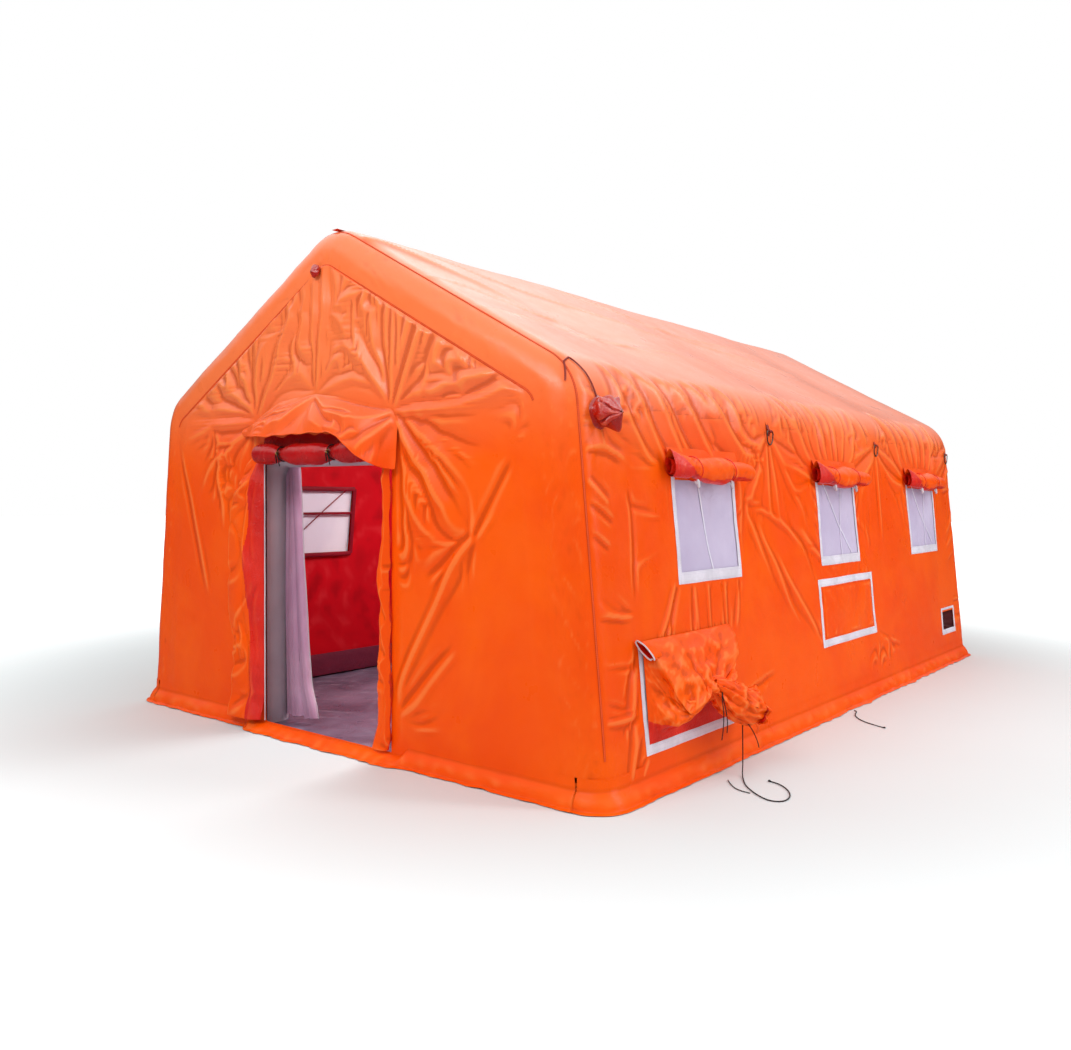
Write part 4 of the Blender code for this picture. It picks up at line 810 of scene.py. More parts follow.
def studio_white():
    """The pale floor, which brightens to white away from the tent."""
    finish, tree, shader, place = new_finish("studio_white")
    path = tree.nodes.new("ShaderNodeLightPath")
    tone = mixed(tree, grain(tree, place, 0.6, 2.0), (0.70, 0.755, 0.762, 1.0),
                 (0.73, 0.785, 0.792, 1.0))
    tree.links.new(mixed(tree, path.outputs["Is Glossy Ray"], tone, (0.16, 0.15, 0.15, 1.0)),
                   shader.inputs["Base Color"])
    shader.inputs["Roughness"].default_value = 0.8
    shader.inputs["Specular IOR Level"].default_value = 0.1
    far = tree.nodes.new("ShaderNodeVectorMath")
    far.operation = "LENGTH"
    tree.links.new(place, far.inputs[0])
    glow = ramp(tree, far.outputs["Value"], 3.4, 8.5, 0.0, 1.0)
    shader.inputs["Emission Color"].default_value = (1.0, 1.0, 1.0, 1.0)
    tree.links.new(calc(tree, "MULTIPLY", glow, path.outputs["Is Camera Ray"]),
                   shader.inputs["Emission Strength"])
    return finish


# Cords
def smooth_route(points, step):
    """Even points on a smooth curve through a route's points."""
    places = [np.array(point) for point in points]
    fine = []
    for k in range(len(places) - 1):
        before, here = places[max(k - 1, 0)], places[k]
        after, beyond = places[k + 1], places[min(k + 2, len(places) - 1)]
        for s in range(12):
            t = s / 12
            fine.append(0.5 * (2 * here + (after - before) * t
                               + (2 * before - 5 * here + 4 * after - beyond) * t * t
                               + (3 * here - before - 3 * after + beyond) * t ** 3))
    fine.append(places[-1])
    lowest = min(place[2] for place in places)
    even = [fine[0]]
    for point in fine[1:]:
        point[2] = max(point[2], lowest)
        if np.linalg.norm(point - even[-1]) >= step:
            even.append(point)
    if np.linalg.norm(fine[-1] - even[-1]) < step / 2:
        even.pop()
    return np.array(even + [fine[-1]])


CORD = 0.006
LOOSE_END = 0.005
DUCT_CORD_ROUTE = (
    (2.122, -1.955, 0.2890), (2.123, -1.956, 0.240), (2.127, -1.961, 0.180), (2.133, -1.970, 0.110),
    (2.141, -1.985, 0.050), (2.153, -2.012, 0.013), (2.182, -2.062, 0.0034),
    (2.235, -2.145, 0.0034), (2.300, -2.215, 0.0034), (2.375, -2.275, 0.0034),
    (2.440, -2.305, 0.0034), (2.490, -2.285, 0.0034), (2.500, -2.225, 0.0034),
    (2.475, -2.150, 0.0034), (2.425, -2.080, 0.0034), (2.360, -2.030, 0.0034),
    (2.300, -2.015, 0.0034))
SKIRT_CORD_ROUTE = (
    (2.0413, -0.120, 0.0034), (2.056, -0.128, 0.0034), (2.071, -0.160, 0.0034),
    (2.084, -0.215, 0.0034), (2.110, -0.280, 0.0034), (2.155, -0.345, 0.0034),
    (2.215, -0.402, 0.0034), (2.290, -0.448, 0.0034), (2.373, -0.486, 0.0034))


def make_cord(name, route, diameter, node=None, step=0.018, knot=True):
    """A braided cord along its route with a small knot at its end."""
    path = smooth_route(route, step)
    piece = tube(name, path, diameter / 2, BLACK, 10)
    if knot:
        run = path[-1] - path[-3]
        run /= np.linalg.norm(run)
        side = np.cross(run, (0.0, 0.0, 1.0))
        side /= np.linalg.norm(side) + 1e-9
        lift = np.array([0.0, 0.0, diameter * 0.35])
        loop = [path[-1] - run * diameter + run * diameter * 0.9 * math.cos(a)
                + side * diameter * 0.9 * math.sin(a) + lift * (1 + 0.5 * math.sin(2 * a))
                for a in circle(14)]
        keep(tube(name + "_knot", loop, diameter * 0.5, BLACK, 8, closed=True),
                         "tent", "cord")
    keep(piece, "tent", "cord", *([node] if node else []))
    return piece


# Side covers
WINDOWS = [(a + b) / 2 + 0.09 for a, b in zip(ARCHES, ARCHES[1:])]
WINDOW = (0.36, 0.99, 1.57)
HATCH = (-0.36, 0.66, 0.445, 0.90)
DUCT = (-2.61, -1.70, 0.19, 0.72)
PORT = (2.30, 2.68, 0.245, 0.48)
RINGS = [ARCHES[1], ARCHES[2], FLAT_END - 0.036]


def place_of(y, z):
    """A place on a side wall from its distance from the front and its height."""
    return (y - HALF_LENGTH, float(s_at(z)))


def pair(a, b):
    """Start and end of a fold on a side wall."""
    return (place_of(*a), place_of(*b))


def to_arch(y):
    """Distance along the tent to the nearest arch."""
    return np.min([np.abs(y - arch) for arch in ARCHES], axis=0)


def in_box(y, z, box, soft=0.05):
    """1 inside a box on the wall and 0 a little outside it."""
    a = smooth(y, box[0] - soft, box[0]) * (1 - smooth(y, box[1], box[1] + soft))
    return a * smooth(z, box[2] - soft, box[2]) * (1 - smooth(z, box[3], box[3] + soft))


SIDE_BOX = (-SEAM, SEAM, COVER_FOOT, S_EAVE + 0.42)
ROOF_CREASES = (
    ((-2.96, S_RIDGE - 0.18), (-1.70, S_EAVE + 0.16), 0.080, 0.032, 0.02),
    ((-2.96, S_EAVE + 1.00), (-0.80, S_EAVE + 0.14), 0.040, 0.013, 0.02),
    ((-2.60, S_RIDGE - 0.12), (0.90, S_EAVE + 0.20), 0.050, 0.016, -0.02),
    ((-1.30, S_RIDGE - 0.14), (2.30, S_EAVE + 0.26), 0.055, 0.015, 0.02),
    ((-2.95, S_EAVE + 0.56), (0.40, S_EAVE + 0.40), 0.045, 0.010, 0.0),
    ((-0.40, S_EAVE + 1.26), (2.90, S_EAVE + 0.90), 0.050, 0.012, 0.02))


def side_form(y, s):
    """A side's cover as it sags between the arches, without its folds."""
    bay = smooth(to_arch(y), 0.098, BAY * 0.5)
    z = profile(s)[1]
    share = np.clip((s - S_WALL) / (S_RIDGE - S_WALL), 0, 1)
    sag = EDGE_SAG * smooth(z, 1.55, WALL_TOP) * (1 - 0.75 * share)
    sag = sag + (ROOF_SAG - EDGE_SAG) * np.sin(math.pi * share) ** 2
    return -bay * sag


def side_rough(y, s, side):
    """The soft unevenness of a side's cover."""
    seed = 100 if side > 0 else 140
    on_wall = 1 - smooth(s, S_WALL + 0.1, S_WALL + 0.4)
    rough = 0.006 * noise(y * 1.7, s * 1.9, seed + 9) + 0.0030 * noise(y * 4.3, s * 3.1, seed + 10)
    # long soft creases on the roof
    rough = rough + (1 - on_wall) * 0.0030 * crumple(y * 0.25 + 0.3 * s, s, 0.30, seed + 11)
    rough = rough * (0.55 + 0.45 * on_wall)
    return rough + folds(y * side, s, ROOF_CREASES)


# Pulls that hang from the eave in each bay: the first and the last one, amount and seed
BAY_PULLS = (((0.30, 2.10), (0.60, 1.62), (1.50, 2.12), (1.98, 1.60), 0.15, 0),
             ((2.20, 2.14), (2.66, 1.68), (3.60, 2.14), (3.40, 1.70), 0.13, 2),
             ((4.15, 2.14), (4.52, 1.70), (5.60, 2.14), (5.40, 1.70), 0.12, 3))
# Single pulls, by distance from the front and height: start, end, half width and amount
SIDE_PULLS = (
    ((1.64, 1.45), (2.95, 1.00), 0.045, 0.08), ((1.64, 1.38), (2.72, 0.44), 0.055, 0.10),
    ((1.66, 1.28), (2.40, 0.55), 0.040, 0.07), ((0.72, 1.32), (0.34, 1.44), 0.040, 0.07),
    ((0.72, 1.20), (0.34, 1.08), 0.040, 0.06), ((0.42, 1.50), (0.40, 0.90), 0.050, 0.09),
    ((0.80, 0.99), (0.62, 0.66), 0.060, 0.17), ((0.98, 0.97), (0.93, 0.66), 0.048, 0.15),
    ((1.14, 0.97), (1.12, 0.66), 0.040, 0.13), ((1.34, 0.97), (1.30, 0.66), 0.050, 0.15),
    ((1.52, 0.97), (1.42, 0.70), 0.040, 0.11), ((0.22, 0.12), (0.36, 0.56), 0.036, 0.12),
    ((0.20, 0.30), (0.36, 0.66), 0.030, 0.10), ((0.26, 0.10), (0.36, 0.30), 0.040, 0.12),
    ((0.22, 0.48), (0.37, 0.74), 0.028, 0.08), ((0.34, 0.10), (0.40, 0.18), 0.030, 0.10),
    ((2.62, 0.88), (2.40, 1.26), 0.040, 0.06), ((3.68, 0.46), (4.20, 0.28), 0.045, 0.06),
    ((1.36, 0.30), (1.95, 0.42), 0.050, 0.07), ((3.22, 1.46), (3.80, 1.06), 0.036, 0.06),
    ((5.02, 1.46), (5.45, 0.98), 0.036, 0.06))
# Crushed places low on the walls: place, height, reach both ways and amount
LOW_CRUSHED = ((-1.45, 0.24, 0.22, 0.10, 0.08), (0.75, 0.28, 0.34, 0.10, 0.08),
               (2.75, 0.30, 0.14, 0.14, 0.06))
PINCH_Z = 1.855
ROLL_CORNER = (0.43, 1.62)


def side_pinches():
    """Pinches at the rings, the valve and the upper corners of the rolled flaps."""
    up = float(s_at(PINCH_Z))
    pinches = [(ring, up, 0.62, 0.17, 192, 348) for ring in RINGS[:2]]
    pinches += [(ring, up, 0.26, 0.10, 20, 160) for ring in RINGS[:2]]
    pinches += [(RINGS[2], up, 0.45, 0.14, 180, 280)]
    pinches += [(VALVE[0], float(s_at(VALVE[1])), 0.30, 0.12, 150, 390)]
    off, corner = ROLL_CORNER[0], float(s_at(ROLL_CORNER[1]))
    for middle in WINDOWS:
        pinches += [(middle - off, corner, 0.26, 0.11, 130, 290),
                    (middle + off, corner, 0.26, 0.11, -110, 50)]
    return pinches


def add_end_folds(spare, seed):
    """Adds spare length for the short folds that start at the end seams."""
    pick = spread(seed)
    for end in (-1, 1):
        up = 0.20
        while up < 1.95:
            up += 0.07 + 0.13 * pick()
            reach = 0.10 + 0.22 * pick()
            fall = reach * (0.9 * pick() - 0.05)
            amount = (0.05 + 0.12 * pick()) * (1.0 if end < 0 else 0.7)
            start = (end * (SEAM - 0.02), float(s_at(up)))
            stop = (end * (SEAM - 0.02 - reach), float(s_at(up - fall)))
            add_pulls(spare, ((start, stop, 0.020 + 0.022 * pick(), amount),))


def side_spare(spare, side):
    """Where a side's cover has spare length."""
    y, s = spare[3], spare[4]
    seed = 10 if side > 0 else 60
    at_eave = np.exp(-((profile(s)[1] - 1.98) / 0.16) ** 2)
    add_spare(spare, 1.0, 0.0, 0.034 * at_eave * smooth(to_arch(y), 0.02, 0.2))
    marks = []
    for first, first_end, last, last_end, amount, more in BAY_PULLS:
        marks += spread_pulls(pair(first, first_end), pair(last, last_end), 9, 0.050, amount,
                              seed + more)
    marks += [(*pair(start, end), width, amount) for start, end, width, amount in SIDE_PULLS]
    add_pulls(spare, marks)
    add_pinches(spare, side_pinches())
    crushed = [(arch + BAY * share, float(s_at(1.93)), 0.22, 0.13, 0.075)
               for arch in ARCHES[:3] for share in (0.2, 0.5, 0.8)]
    crushed += [(place, float(s_at(up)), *rest) for place, up, *rest in LOW_CRUSHED]
    add_crushed(spare, crushed, seed + 30)
    add_end_folds(spare, seed + 31)


def side_held(y, s, side):
    """Where a side's cover lies still: on its borders, its foot and the upper roof."""
    z = profile(s)[1]
    still = np.zeros(np.shape(z))
    for middle in WINDOWS:
        still = np.maximum(still, in_box(y, z, (middle - 0.375, middle + 0.375, 0.98, 1.60)))
    if side > 0:
        for y0, y1, z0, z1 in (HATCH, DUCT, PORT):
            still = np.maximum(still, in_box(y, z, (y0 - 0.01, y1 + 0.01, z0 - 0.01, z1 + 0.01)))
    still = np.maximum(still, 1 - smooth(z, 0.02, 0.15))
    return np.maximum(still, smooth(s, SIDE_BOX[3] - 0.34, SIDE_BOX[3] - 0.05))


def side_reach(y, s):
    """How far in and out a side's cover may go."""
    form = side_form(y, s)
    deep = 0.002 + 0.030 * smooth(to_arch(y), 0.10, 0.40)
    return form - deep, form + 0.010 + 0.028 * smooth(FLAT_END - np.abs(y), -0.10, 0.06)


def settle_side(side):
    """The settled heights of a side's cover."""
    def begin(y, s):
        tiny = 0.0016 * noise(y * 13, s * 11, 201) + 0.0009 * noise(y * 31, s * 29, 202)
        foot = smooth(profile(s)[1], 0.02, 0.16)
        return side_form(y, s) + foot * (side_rough(y, s, side) + 0.002 + tiny)
    rounds = ((0.048, 60), (0.024, 140), (0.012, 100)) if side > 0 else ((0.048, 60), (0.024, 160))
    return settled(SIDE_BOX, lambda spare: side_spare(spare, side), begin,
                   lambda y, s: side_held(y, s, side), side_reach, rounds)


def side_lift(y, s, side):
    """How far a side's cover stands off its plain form."""
    y, s = np.broadcast_arrays(np.asarray(y, float), np.asarray(s, float))
    z = profile(s)[1]
    ridge = 1 - smooth(s, S_RIDGE - 0.12, S_RIDGE - 0.01)
    plain = side_form(y, s) + smooth(z, 0.02, 0.16) * ridge * side_rough(y, s, side)
    height = height_in(SIDE_HEIGHTS[side], SIDE_BOX, y, s)
    lift = height + (plain - height) * smooth(s, SIDE_BOX[3] - 0.30, SIDE_BOX[3] - 0.02)
    return lift * smooth(SEAM - np.abs(y), 0.0, 0.03)


def wall_patch(y, z, side, lift):
    """A place on a side wall that follows its folds, with a lift off them."""
    s = s_at(z)
    return cover(y, s, side_lift(y, s, side) + lift, side)


def in_holes(grid_y, grid_s, holes):
    """Cells of a side's grid that lie in a hole."""
    middle_y = (grid_y[:-1, :-1] + grid_y[1:, 1:]) / 2
    middle_z = profile((grid_s[:-1, :-1] + grid_s[1:, 1:]) / 2)[1]
    cut = np.zeros(middle_y.shape, bool)
    for y0, y1, z0, z1 in holes:
        cut |= (middle_y > y0) & (middle_y < y1) & (middle_z > z0) & (middle_z < z1)
    return cut


def side_cover(name, node, side, low, high, step, holes=()):
    """A side's wall or roof cloth between two heights along the outline."""
    ys = lines([-SEAM, -FLAT_END, FLAT_END, SEAM, *(y for hole in holes for y in hole[:2])], step)
    ss = lines([low, high, *(float(s_at(z)) for hole in holes for z in hole[2:])], step)
    grid_y, grid_s = np.meshgrid(ys, ss)
    lift = side_lift(grid_y, grid_s, side)
    piece = surface(name, cover(grid_y, grid_s, lift, side), stack(grid_y, grid_s), ORANGE,
                    in_holes(grid_y, grid_s, holes), crease_shade(lift))
    return keep(piece, "tent", "cover" if low < S_WALL - 0.1 else "roof", node)


def make_sides():
    """Walls and roofs of both sides."""
    windows = [(middle - 0.33, middle + 0.33, 1.02, 1.54) for middle in WINDOWS]
    ports = [(y0 + hidden, y1 - hidden, z0 + hidden, z1 - hidden)
             for (y0, y1, z0, z1), hidden in ((HATCH, 0.07), (DUCT, 0.07), (PORT, 0.035))]
    for way, side, step, holes in (("right", 1, 0.012, windows + ports), ("left", -1, 0.022, windows)):
        wall = side_cover(f"cover_wall_{way}", f"wall_{way}", side, COVER_FOOT, S_WALL, step, holes)
        opened = sum((y1 - y0) * (z1 - z0) for y0, y1, z0, z1 in holes)
    for way, side, step in (("right", 1, 0.018), ("left", -1, 0.024)):
        roof = side_cover(f"cover_roof_{way}", f"roof_{way}", side, S_WALL, S_RIDGE, step)


# Gables and band
def whole_path(step, low=COVER_FOOT, marks=()):
    """Length up the outline and side, from the right foot over the ridge to the left foot."""
    half = lines([low, S_WALL, S_EAVE, S_ROOF, S_RIDGE, *marks], step)
    s = np.concatenate([half, half[-2::-1]])
    side = np.concatenate([np.ones(len(half)), -np.ones(len(half) - 1)])
    return s, side


def make_band():
    """The band of cover round the first arch."""
    s, side = whole_path(0.02)
    alongs = lines([-SEAM, -GABLE, -BAND], 0.014)
    run = np.concatenate([[0], np.cumsum(np.abs(np.diff(np.where(side > 0, s, 2 * S_RIDGE - s))))])
    grid_a, grid_s = np.meshgrid(alongs, s)
    grid_side = np.broadcast_to(side[:, None], grid_a.shape)
    grid_run = np.broadcast_to(run[:, None], grid_a.shape)
    edge = smooth(-grid_a, SEAM, SEAM + 0.04) * (1 - smooth(-grid_a, BAND - 0.04, BAND))
    rough = 0.0022 * crumple(grid_run, grid_a * 2, 0.22, 300)
    rough += 0.003 * noise(grid_run * 3, grid_a * 6, 301)
    # puckers at both seams
    rim = np.exp(-(BAND + grid_a) / 0.035) + np.exp(-(-grid_a - SEAM) / 0.035)
    rough += 0.0028 * rim * noise(grid_run * 22, grid_a * 3, 302)
    lift = rough * np.maximum(edge, 0.0)
    piece = surface("cover_band", cover(grid_a, grid_s, lift, grid_side), stack(grid_a, grid_run),
                    ORANGE, shade=crease_shade(lift))
    keep(piece, "tent", "cover", "front_band")


# Folds of the door gable, by x and height: pinches with reach, amount and angles, pulls with
# half width and amount, and crushed places with reach both ways and amount
GABLE_BOX = (-1.78, 1.78, 0.0, 2.90)
GABLE_PINCHES = (
    (-1.117, 1.926, 0.26, 0.12, -180, 180), (-0.650, 1.905, 0.50, 0.16, 10, 300),
    (-0.067, 2.017, 0.44, 0.12, 10, 170), (0.575, 1.908, 0.60, 0.18, -80, 150),
    (1.161, 1.237, 0.24, 0.10, -180, 180), (0.60, 0.24, 0.30, 0.10, -10, 80),
    (-0.95, 0.30, 0.22, 0.07, 90, 200), (0.66, 0.10, 0.30, 0.09, 0, 70))
GABLE_PULLS = (
    ((0.575, 1.93), (0.83, 2.45), 0.09, 0.09), ((0.590, 1.88), (0.66, 1.10), 0.07, 0.08),
    ((-0.62, 1.95), (-0.24, 2.62), 0.10, 0.09), ((-0.085, 2.08), (-0.02, 2.74), 0.09, 0.08),
    ((0.575, 1.90), (1.45, 2.02), 0.08, 0.08), ((0.575, 1.88), (1.00, 1.40), 0.09, 0.09),
    ((0.56, 0.34), (1.20, 1.33), 0.07, 0.085), ((0.64, 0.30), (1.10, 0.72), 0.07, 0.06),
    ((1.161, 1.237), (1.42, 1.66), 0.06, 0.07), ((1.161, 1.237), (0.80, 1.02), 0.06, 0.07),
    ((-1.60, 1.94), (-1.14, 0.70), 0.07, 0.085), ((-1.12, 1.90), (-0.96, 1.20), 0.06, 0.06))
GABLE_CRUSHED = (
    (1.13, 2.12, 0.30, 0.17, 0.13), (0.80, 1.62, 0.15, 0.30, 0.09), (0.38, 2.60, 0.30, 0.14, 0.11),
    (-0.30, 2.36, 0.24, 0.22, 0.08), (-0.92, 2.20, 0.28, 0.18, 0.09), (0.66, 1.10, 0.10, 0.20, 0.07),
    (-1.00, 1.55, 0.16, 0.20, 0.06), (1.50, 1.86, 0.16, 0.16, 0.07), (0.30, 2.22, 0.24, 0.14, 0.06))


GABLE_REACH = (-0.002, 0.034)


def gable_spare(spare):
    """Where the door gable has spare length."""
    add_pinches(spare, GABLE_PINCHES)
    add_pulls(spare, GABLE_PULLS)
    add_crushed(spare, GABLE_CRUSHED, 440)


def gable_rim(x, z):
    """Distance inside the band's seam."""
    top = RIDGE_Z - (BAND - FLAT_END - TUBE * (math.pi / 2 - 1)) / math.sin(ROOF_TURN)
    wide = BASE - TUBE - (BAND - GABLE) - (BASE - EAVE) * np.minimum(z, EAVE_Z) / EAVE_Z
    under_roof = (top - z) * math.sin(ROOF_TURN) - np.abs(x) * math.cos(ROOF_TURN)
    return np.minimum(wide - np.abs(x), under_roof)


def between(low, high):
    """Even limits for a settling cloth."""
    return lambda u, v: (np.full(u.shape, low), np.full(u.shape, high))


def held_nowhere(u, v):
    """A cloth that is held at its edges alone."""
    return np.zeros(u.shape)


def settle_gable():
    """The settled heights of the door gable."""
    def begin(x, z):
        rough = 0.006 * noise(x * 1.6, z * 1.4, 436) + 0.0025 * noise(x * 4.1, z * 3.3, 437)
        tiny = 0.0013 * noise(x * 13, z * 11, 438) + 0.0009 * noise(x * 31, z * 29, 439)
        return 0.009 + rough + tiny

    def held(x, z):
        door = (np.abs(x) < DOOR_HALF + 0.008) & (z < DOOR_TOP + 0.008)
        return np.maximum(1 - smooth(gable_rim(x, z), -0.01, 0.02), door.astype(float))
    return settled(GABLE_BOX, gable_spare, begin, held, between(*GABLE_REACH),
                   ((0.048, 60), (0.024, 160), (0.012, 110)))


GABLE_HEIGHTS = settle_gable()
SIDE_HEIGHTS = {side: settle_side(side) for side in (1, -1)}


def gable_lift(x, z):
    """How far the door gable's cloth stands out."""
    ease = np.maximum(smooth(np.abs(x), 0.57, 0.66), smooth(z, 1.73, 1.84))
    return height_in(GABLE_HEIGHTS, GABLE_BOX, x, z) * ease * smooth(z, 0.02, 0.22)


def gable_edge(s, along):
    """Edge of a gable's cloth: half width and height."""
    place = cover(along, s)
    return place[..., 0], place[..., 2]


def gable_area(wide, top):
    """Area of a gable up to its ridge, less what the roof's slopes take."""
    return wide * WALL_TOP + wide * (top - WALL_TOP) / 2


def make_door_gable():
    """The door gable with its doorway."""
    heights = lines([COVER_FOOT, DOOR_SILL, SKIRT_TOP, DOOR_TOP, WALL_TOP], 0.0125)
    s = np.concatenate([s_at(heights), lines([S_WALL, S_EAVE, S_ROOF, S_RIDGE], 0.016)[1:]])
    edge_x, edge_z = gable_edge(s, -BAND)
    row = len(heights) - 1
    full = edge_x[row]
    side_x = lines([DOOR_HALF, full], 0.0125)
    door_x = lines([0.0, DOOR_HALF], 0.0125)[:-1]
    share = (side_x - DOOR_HALF) / (full - DOOR_HALF)
    wide = np.minimum(np.arange(len(s)), row)
    right = DOOR_HALF + (edge_x[wide][:, None] - DOOR_HALF) * share
    inner = np.broadcast_to(door_x, (len(s), len(door_x)))
    half = np.concatenate([inner, right], 1)
    squeeze = np.where(np.arange(len(s)) > row, edge_x / full, 1.0)
    half = half * squeeze[:, None]
    x = np.concatenate([-half[:, :0:-1], half], 1)
    z = np.broadcast_to(edge_z[:, None], x.shape)
    # the cloth comes back to its plane in its last nine columns and under the ridge
    columns = np.arange(x.shape[1])
    rim = smooth(np.minimum(columns, columns[::-1]), 0, 9)[None, :]
    top = 1 - smooth(s, S_RIDGE - 0.10, S_RIDGE)[:, None]
    lift = gable_lift(x, z) * rim * top
    middle_x = (x[:-1, :-1] + x[1:, 1:]) / 2
    middle_z = (z[:-1, :-1] + z[1:, 1:]) / 2
    cut = (np.abs(middle_x) < DOOR_HALF - 1e-4) & (middle_z > DOOR_SILL) & (middle_z < DOOR_TOP)
    piece = surface("gable_cloth_front", stack(x, GABLE_FACE - lift, z), stack(x, z), ORANGE, cut,
                    crease_shade(lift), weld=True)
    keep(piece, "tent", "cover", "gable_front")
    wide, high = 2 * float(full), float(edge_z[-1])
    doorway = 2 * DOOR_HALF * (DOOR_TOP - DOOR_SILL)
    gable_area(wide, high) - doorway


BACK_PINCHES = ((-1.1, 2.0, 0.45, 0.14, -180, 180), (1.1, 1.95, 0.45, 0.14, -180, 180),
                (0.0, 2.35, 0.45, 0.12, -180, 180))
BACK_CRUSHED = ((0.5, 2.4, 0.3, 0.2, 0.07), (-0.6, 2.3, 0.3, 0.2, 0.07))


def back_spare(spare):
    """Where the closed gable has spare length."""
    add_pinches(spare, BACK_PINCHES)
    first, last = ((-1.5, 0.2), (-1.3, 1.5)), ((1.5, 0.2), (1.2, 1.5))
    add_pulls(spare, spread_pulls(first, last, 6, 0.12, 0.10, 504))
    add_crushed(spare, BACK_CRUSHED, 505)


def back_start(x, z):
    """The closed gable's unevenness before it settles."""
    return 0.010 + 0.008 * noise(x * 1.5, z * 1.4, 512) + 0.002 * noise(x * 12, z * 12, 513)


def make_back_gable():
    """The closed gable, whose cloth also rounds the last arch."""
    s = lines([COVER_FOOT, S_WALL, S_EAVE, S_ROOF, S_RIDGE], 0.03)
    wrap = lines([SEAM, GABLE], 0.02)
    edge_x, edge_z = gable_edge(s, GABLE)
    share = np.linspace(1, -1, 121)[1:-1]
    right = cover(wrap[None, :], s[:, None], 0.0, 1.0)
    left = cover(wrap[::-1][None, :], s[:, None], 0.0, -1.0)
    x = edge_x[:, None] * share
    z = np.broadcast_to(edge_z[:, None], x.shape)
    grid = settled(GABLE_BOX, back_spare, back_start,
                   lambda u, v: 1 - smooth(gable_rim(u, v), -0.01, 0.02), between(*GABLE_REACH),
                   ((0.048, 100), (0.024, 120)))
    lift = height_in(grid, GABLE_BOX, x, z)
    fade = (1 - smooth(np.abs(share), 0.90, 1.0))[None, :] * smooth(z, 0.02, 0.2)
    lift = lift * fade * (1 - smooth(s, S_RIDGE - 0.12, S_RIDGE)[:, None])
    points = np.concatenate([right, stack(x, HALF_LENGTH + lift, z), left], 1)
    past = edge_x[0] - GABLE
    run = np.concatenate([wrap + past, edge_x[0] * share, -(wrap[::-1] + past)])
    shade = np.zeros(points.shape[:2])
    shade[:, len(wrap):-len(wrap)] = crease_shade(lift)
    piece = surface("gable_cloth_back", points, stack(run, s[:, None]), ORANGE, shade=shade, weld=True)
    keep(piece, "tent", "cover", "gable_back")
    wide, high = 2 * (float(edge_x[0]) + GABLE - SEAM), float(edge_z[-1])
    gable_area(wide, high)


# thickness of a seam's tape, which lies as far off the cover
TAPE = 0.0012


def cover_normal(along, s, side):
    """Outward normal of the cover at a place."""
    low = cover(along, s, 0.0, side)
    high = cover(along, s, 0.01, side)
    n = high - low
    return n / np.linalg.norm(n, axis=-1, keepdims=True)


def make_seams():
    """Seam tapes of the cover."""
    for name, along, width, low in (("seam_band_inner", -BAND, 0.012, S_WALL + 0.06),
                                    ("seam_band_outer", -SEAM, 0.010, 0.20),
                                    ("seam_back_outer", SEAM, 0.010, 0.20)):
        s, side = whole_path(0.03, 0.14)
        s, side = s[s > low], side[s > low]
        path = cover(along, s, TAPE, side)
        normal = cover_normal(along, s, side)
        keep(ribbon(name, path, normal, width, TAPE, SEAM_TAPE), "tent", "cover")
    y = np.linspace(-SEAM, SEAM, 200)
    sag = side_form(y, np.full(200, S_RIDGE)) * smooth(SEAM - np.abs(y), 0.0, 0.03)
    path = stack(0.0, y, profile(S_RIDGE)[1] + sag + TAPE)
    keep(ribbon("seam_ridge", path, np.tile([0.0, 0.0, 1.0], (200, 1)), 0.05, 0.0015, SEAM_TAPE),
         "tent", "roof")


# Skirts
HEM_FLARE = 0.045
HEM_LIP = 0.022
HEM_OFF = 0.0035
# shares of a skirt's width at its fold and at its lip
HEM_MARKS = (0, 0.32, 0.78, 1.0)


def hem_shape(q, top, flare, lip):
    """Lift and height at a share of a skirt's width."""
    fold = min(0.09, top - 0.006)
    lift = np.interp(q, HEM_MARKS, (HEM_OFF, HEM_OFF, HEM_OFF + flare, HEM_OFF + flare + lip))
    height = np.interp(q, HEM_MARKS, (top, fold, 0.010, HEM_OFF))
    bulge = np.sin(np.pi * np.clip((q - 0.30) / 0.5, 0, 1))
    return lift + 0.010 * bulge, height


def level(u, v, seed):
    """Smooth noise at one place."""
    return float(noise(np.array([u]), np.array([v]), seed)[0])


def hem_column(kind, place, side, top, flare, run):
    """Lift and height down one line of a skirt, with its ripples at this length along it."""
    q = np.linspace(0, 1, 17)
    calm = float(smooth(abs(abs(place) - FLAT_END), 0.0, 0.16)) if kind == "wall" else 1.0
    ripple, small = level(run * 3.1, side * 2.0, 610), level(run * 11.0, side * 3.0 + 9.0, 611)
    wide = flare * (0.85 + calm * (0.40 * ripple + 0.10 * small))
    lift, height = hem_shape(q, top, wide, HEM_LIP * (1.0 + 0.3 * small * calm))
    pucker = noise(run * 9.0 + 2.2 + 0 * q, q * 2.5 + run * 2.0, 612)
    crease = 0.004 + 0.007 * max(0.0, level(run * 1.1, 3.0, 614))
    lift = lift + calm * crease * pucker * smooth(q, 0.15, 0.6)
    raised = np.maximum(noise(run * 7.0 + 0 * q, q * 2.0, 613), 0)
    height = height + 0.007 * raised * smooth(q, 0.6, 0.85) * calm
    return q, lift, np.maximum(height, 0.0015)


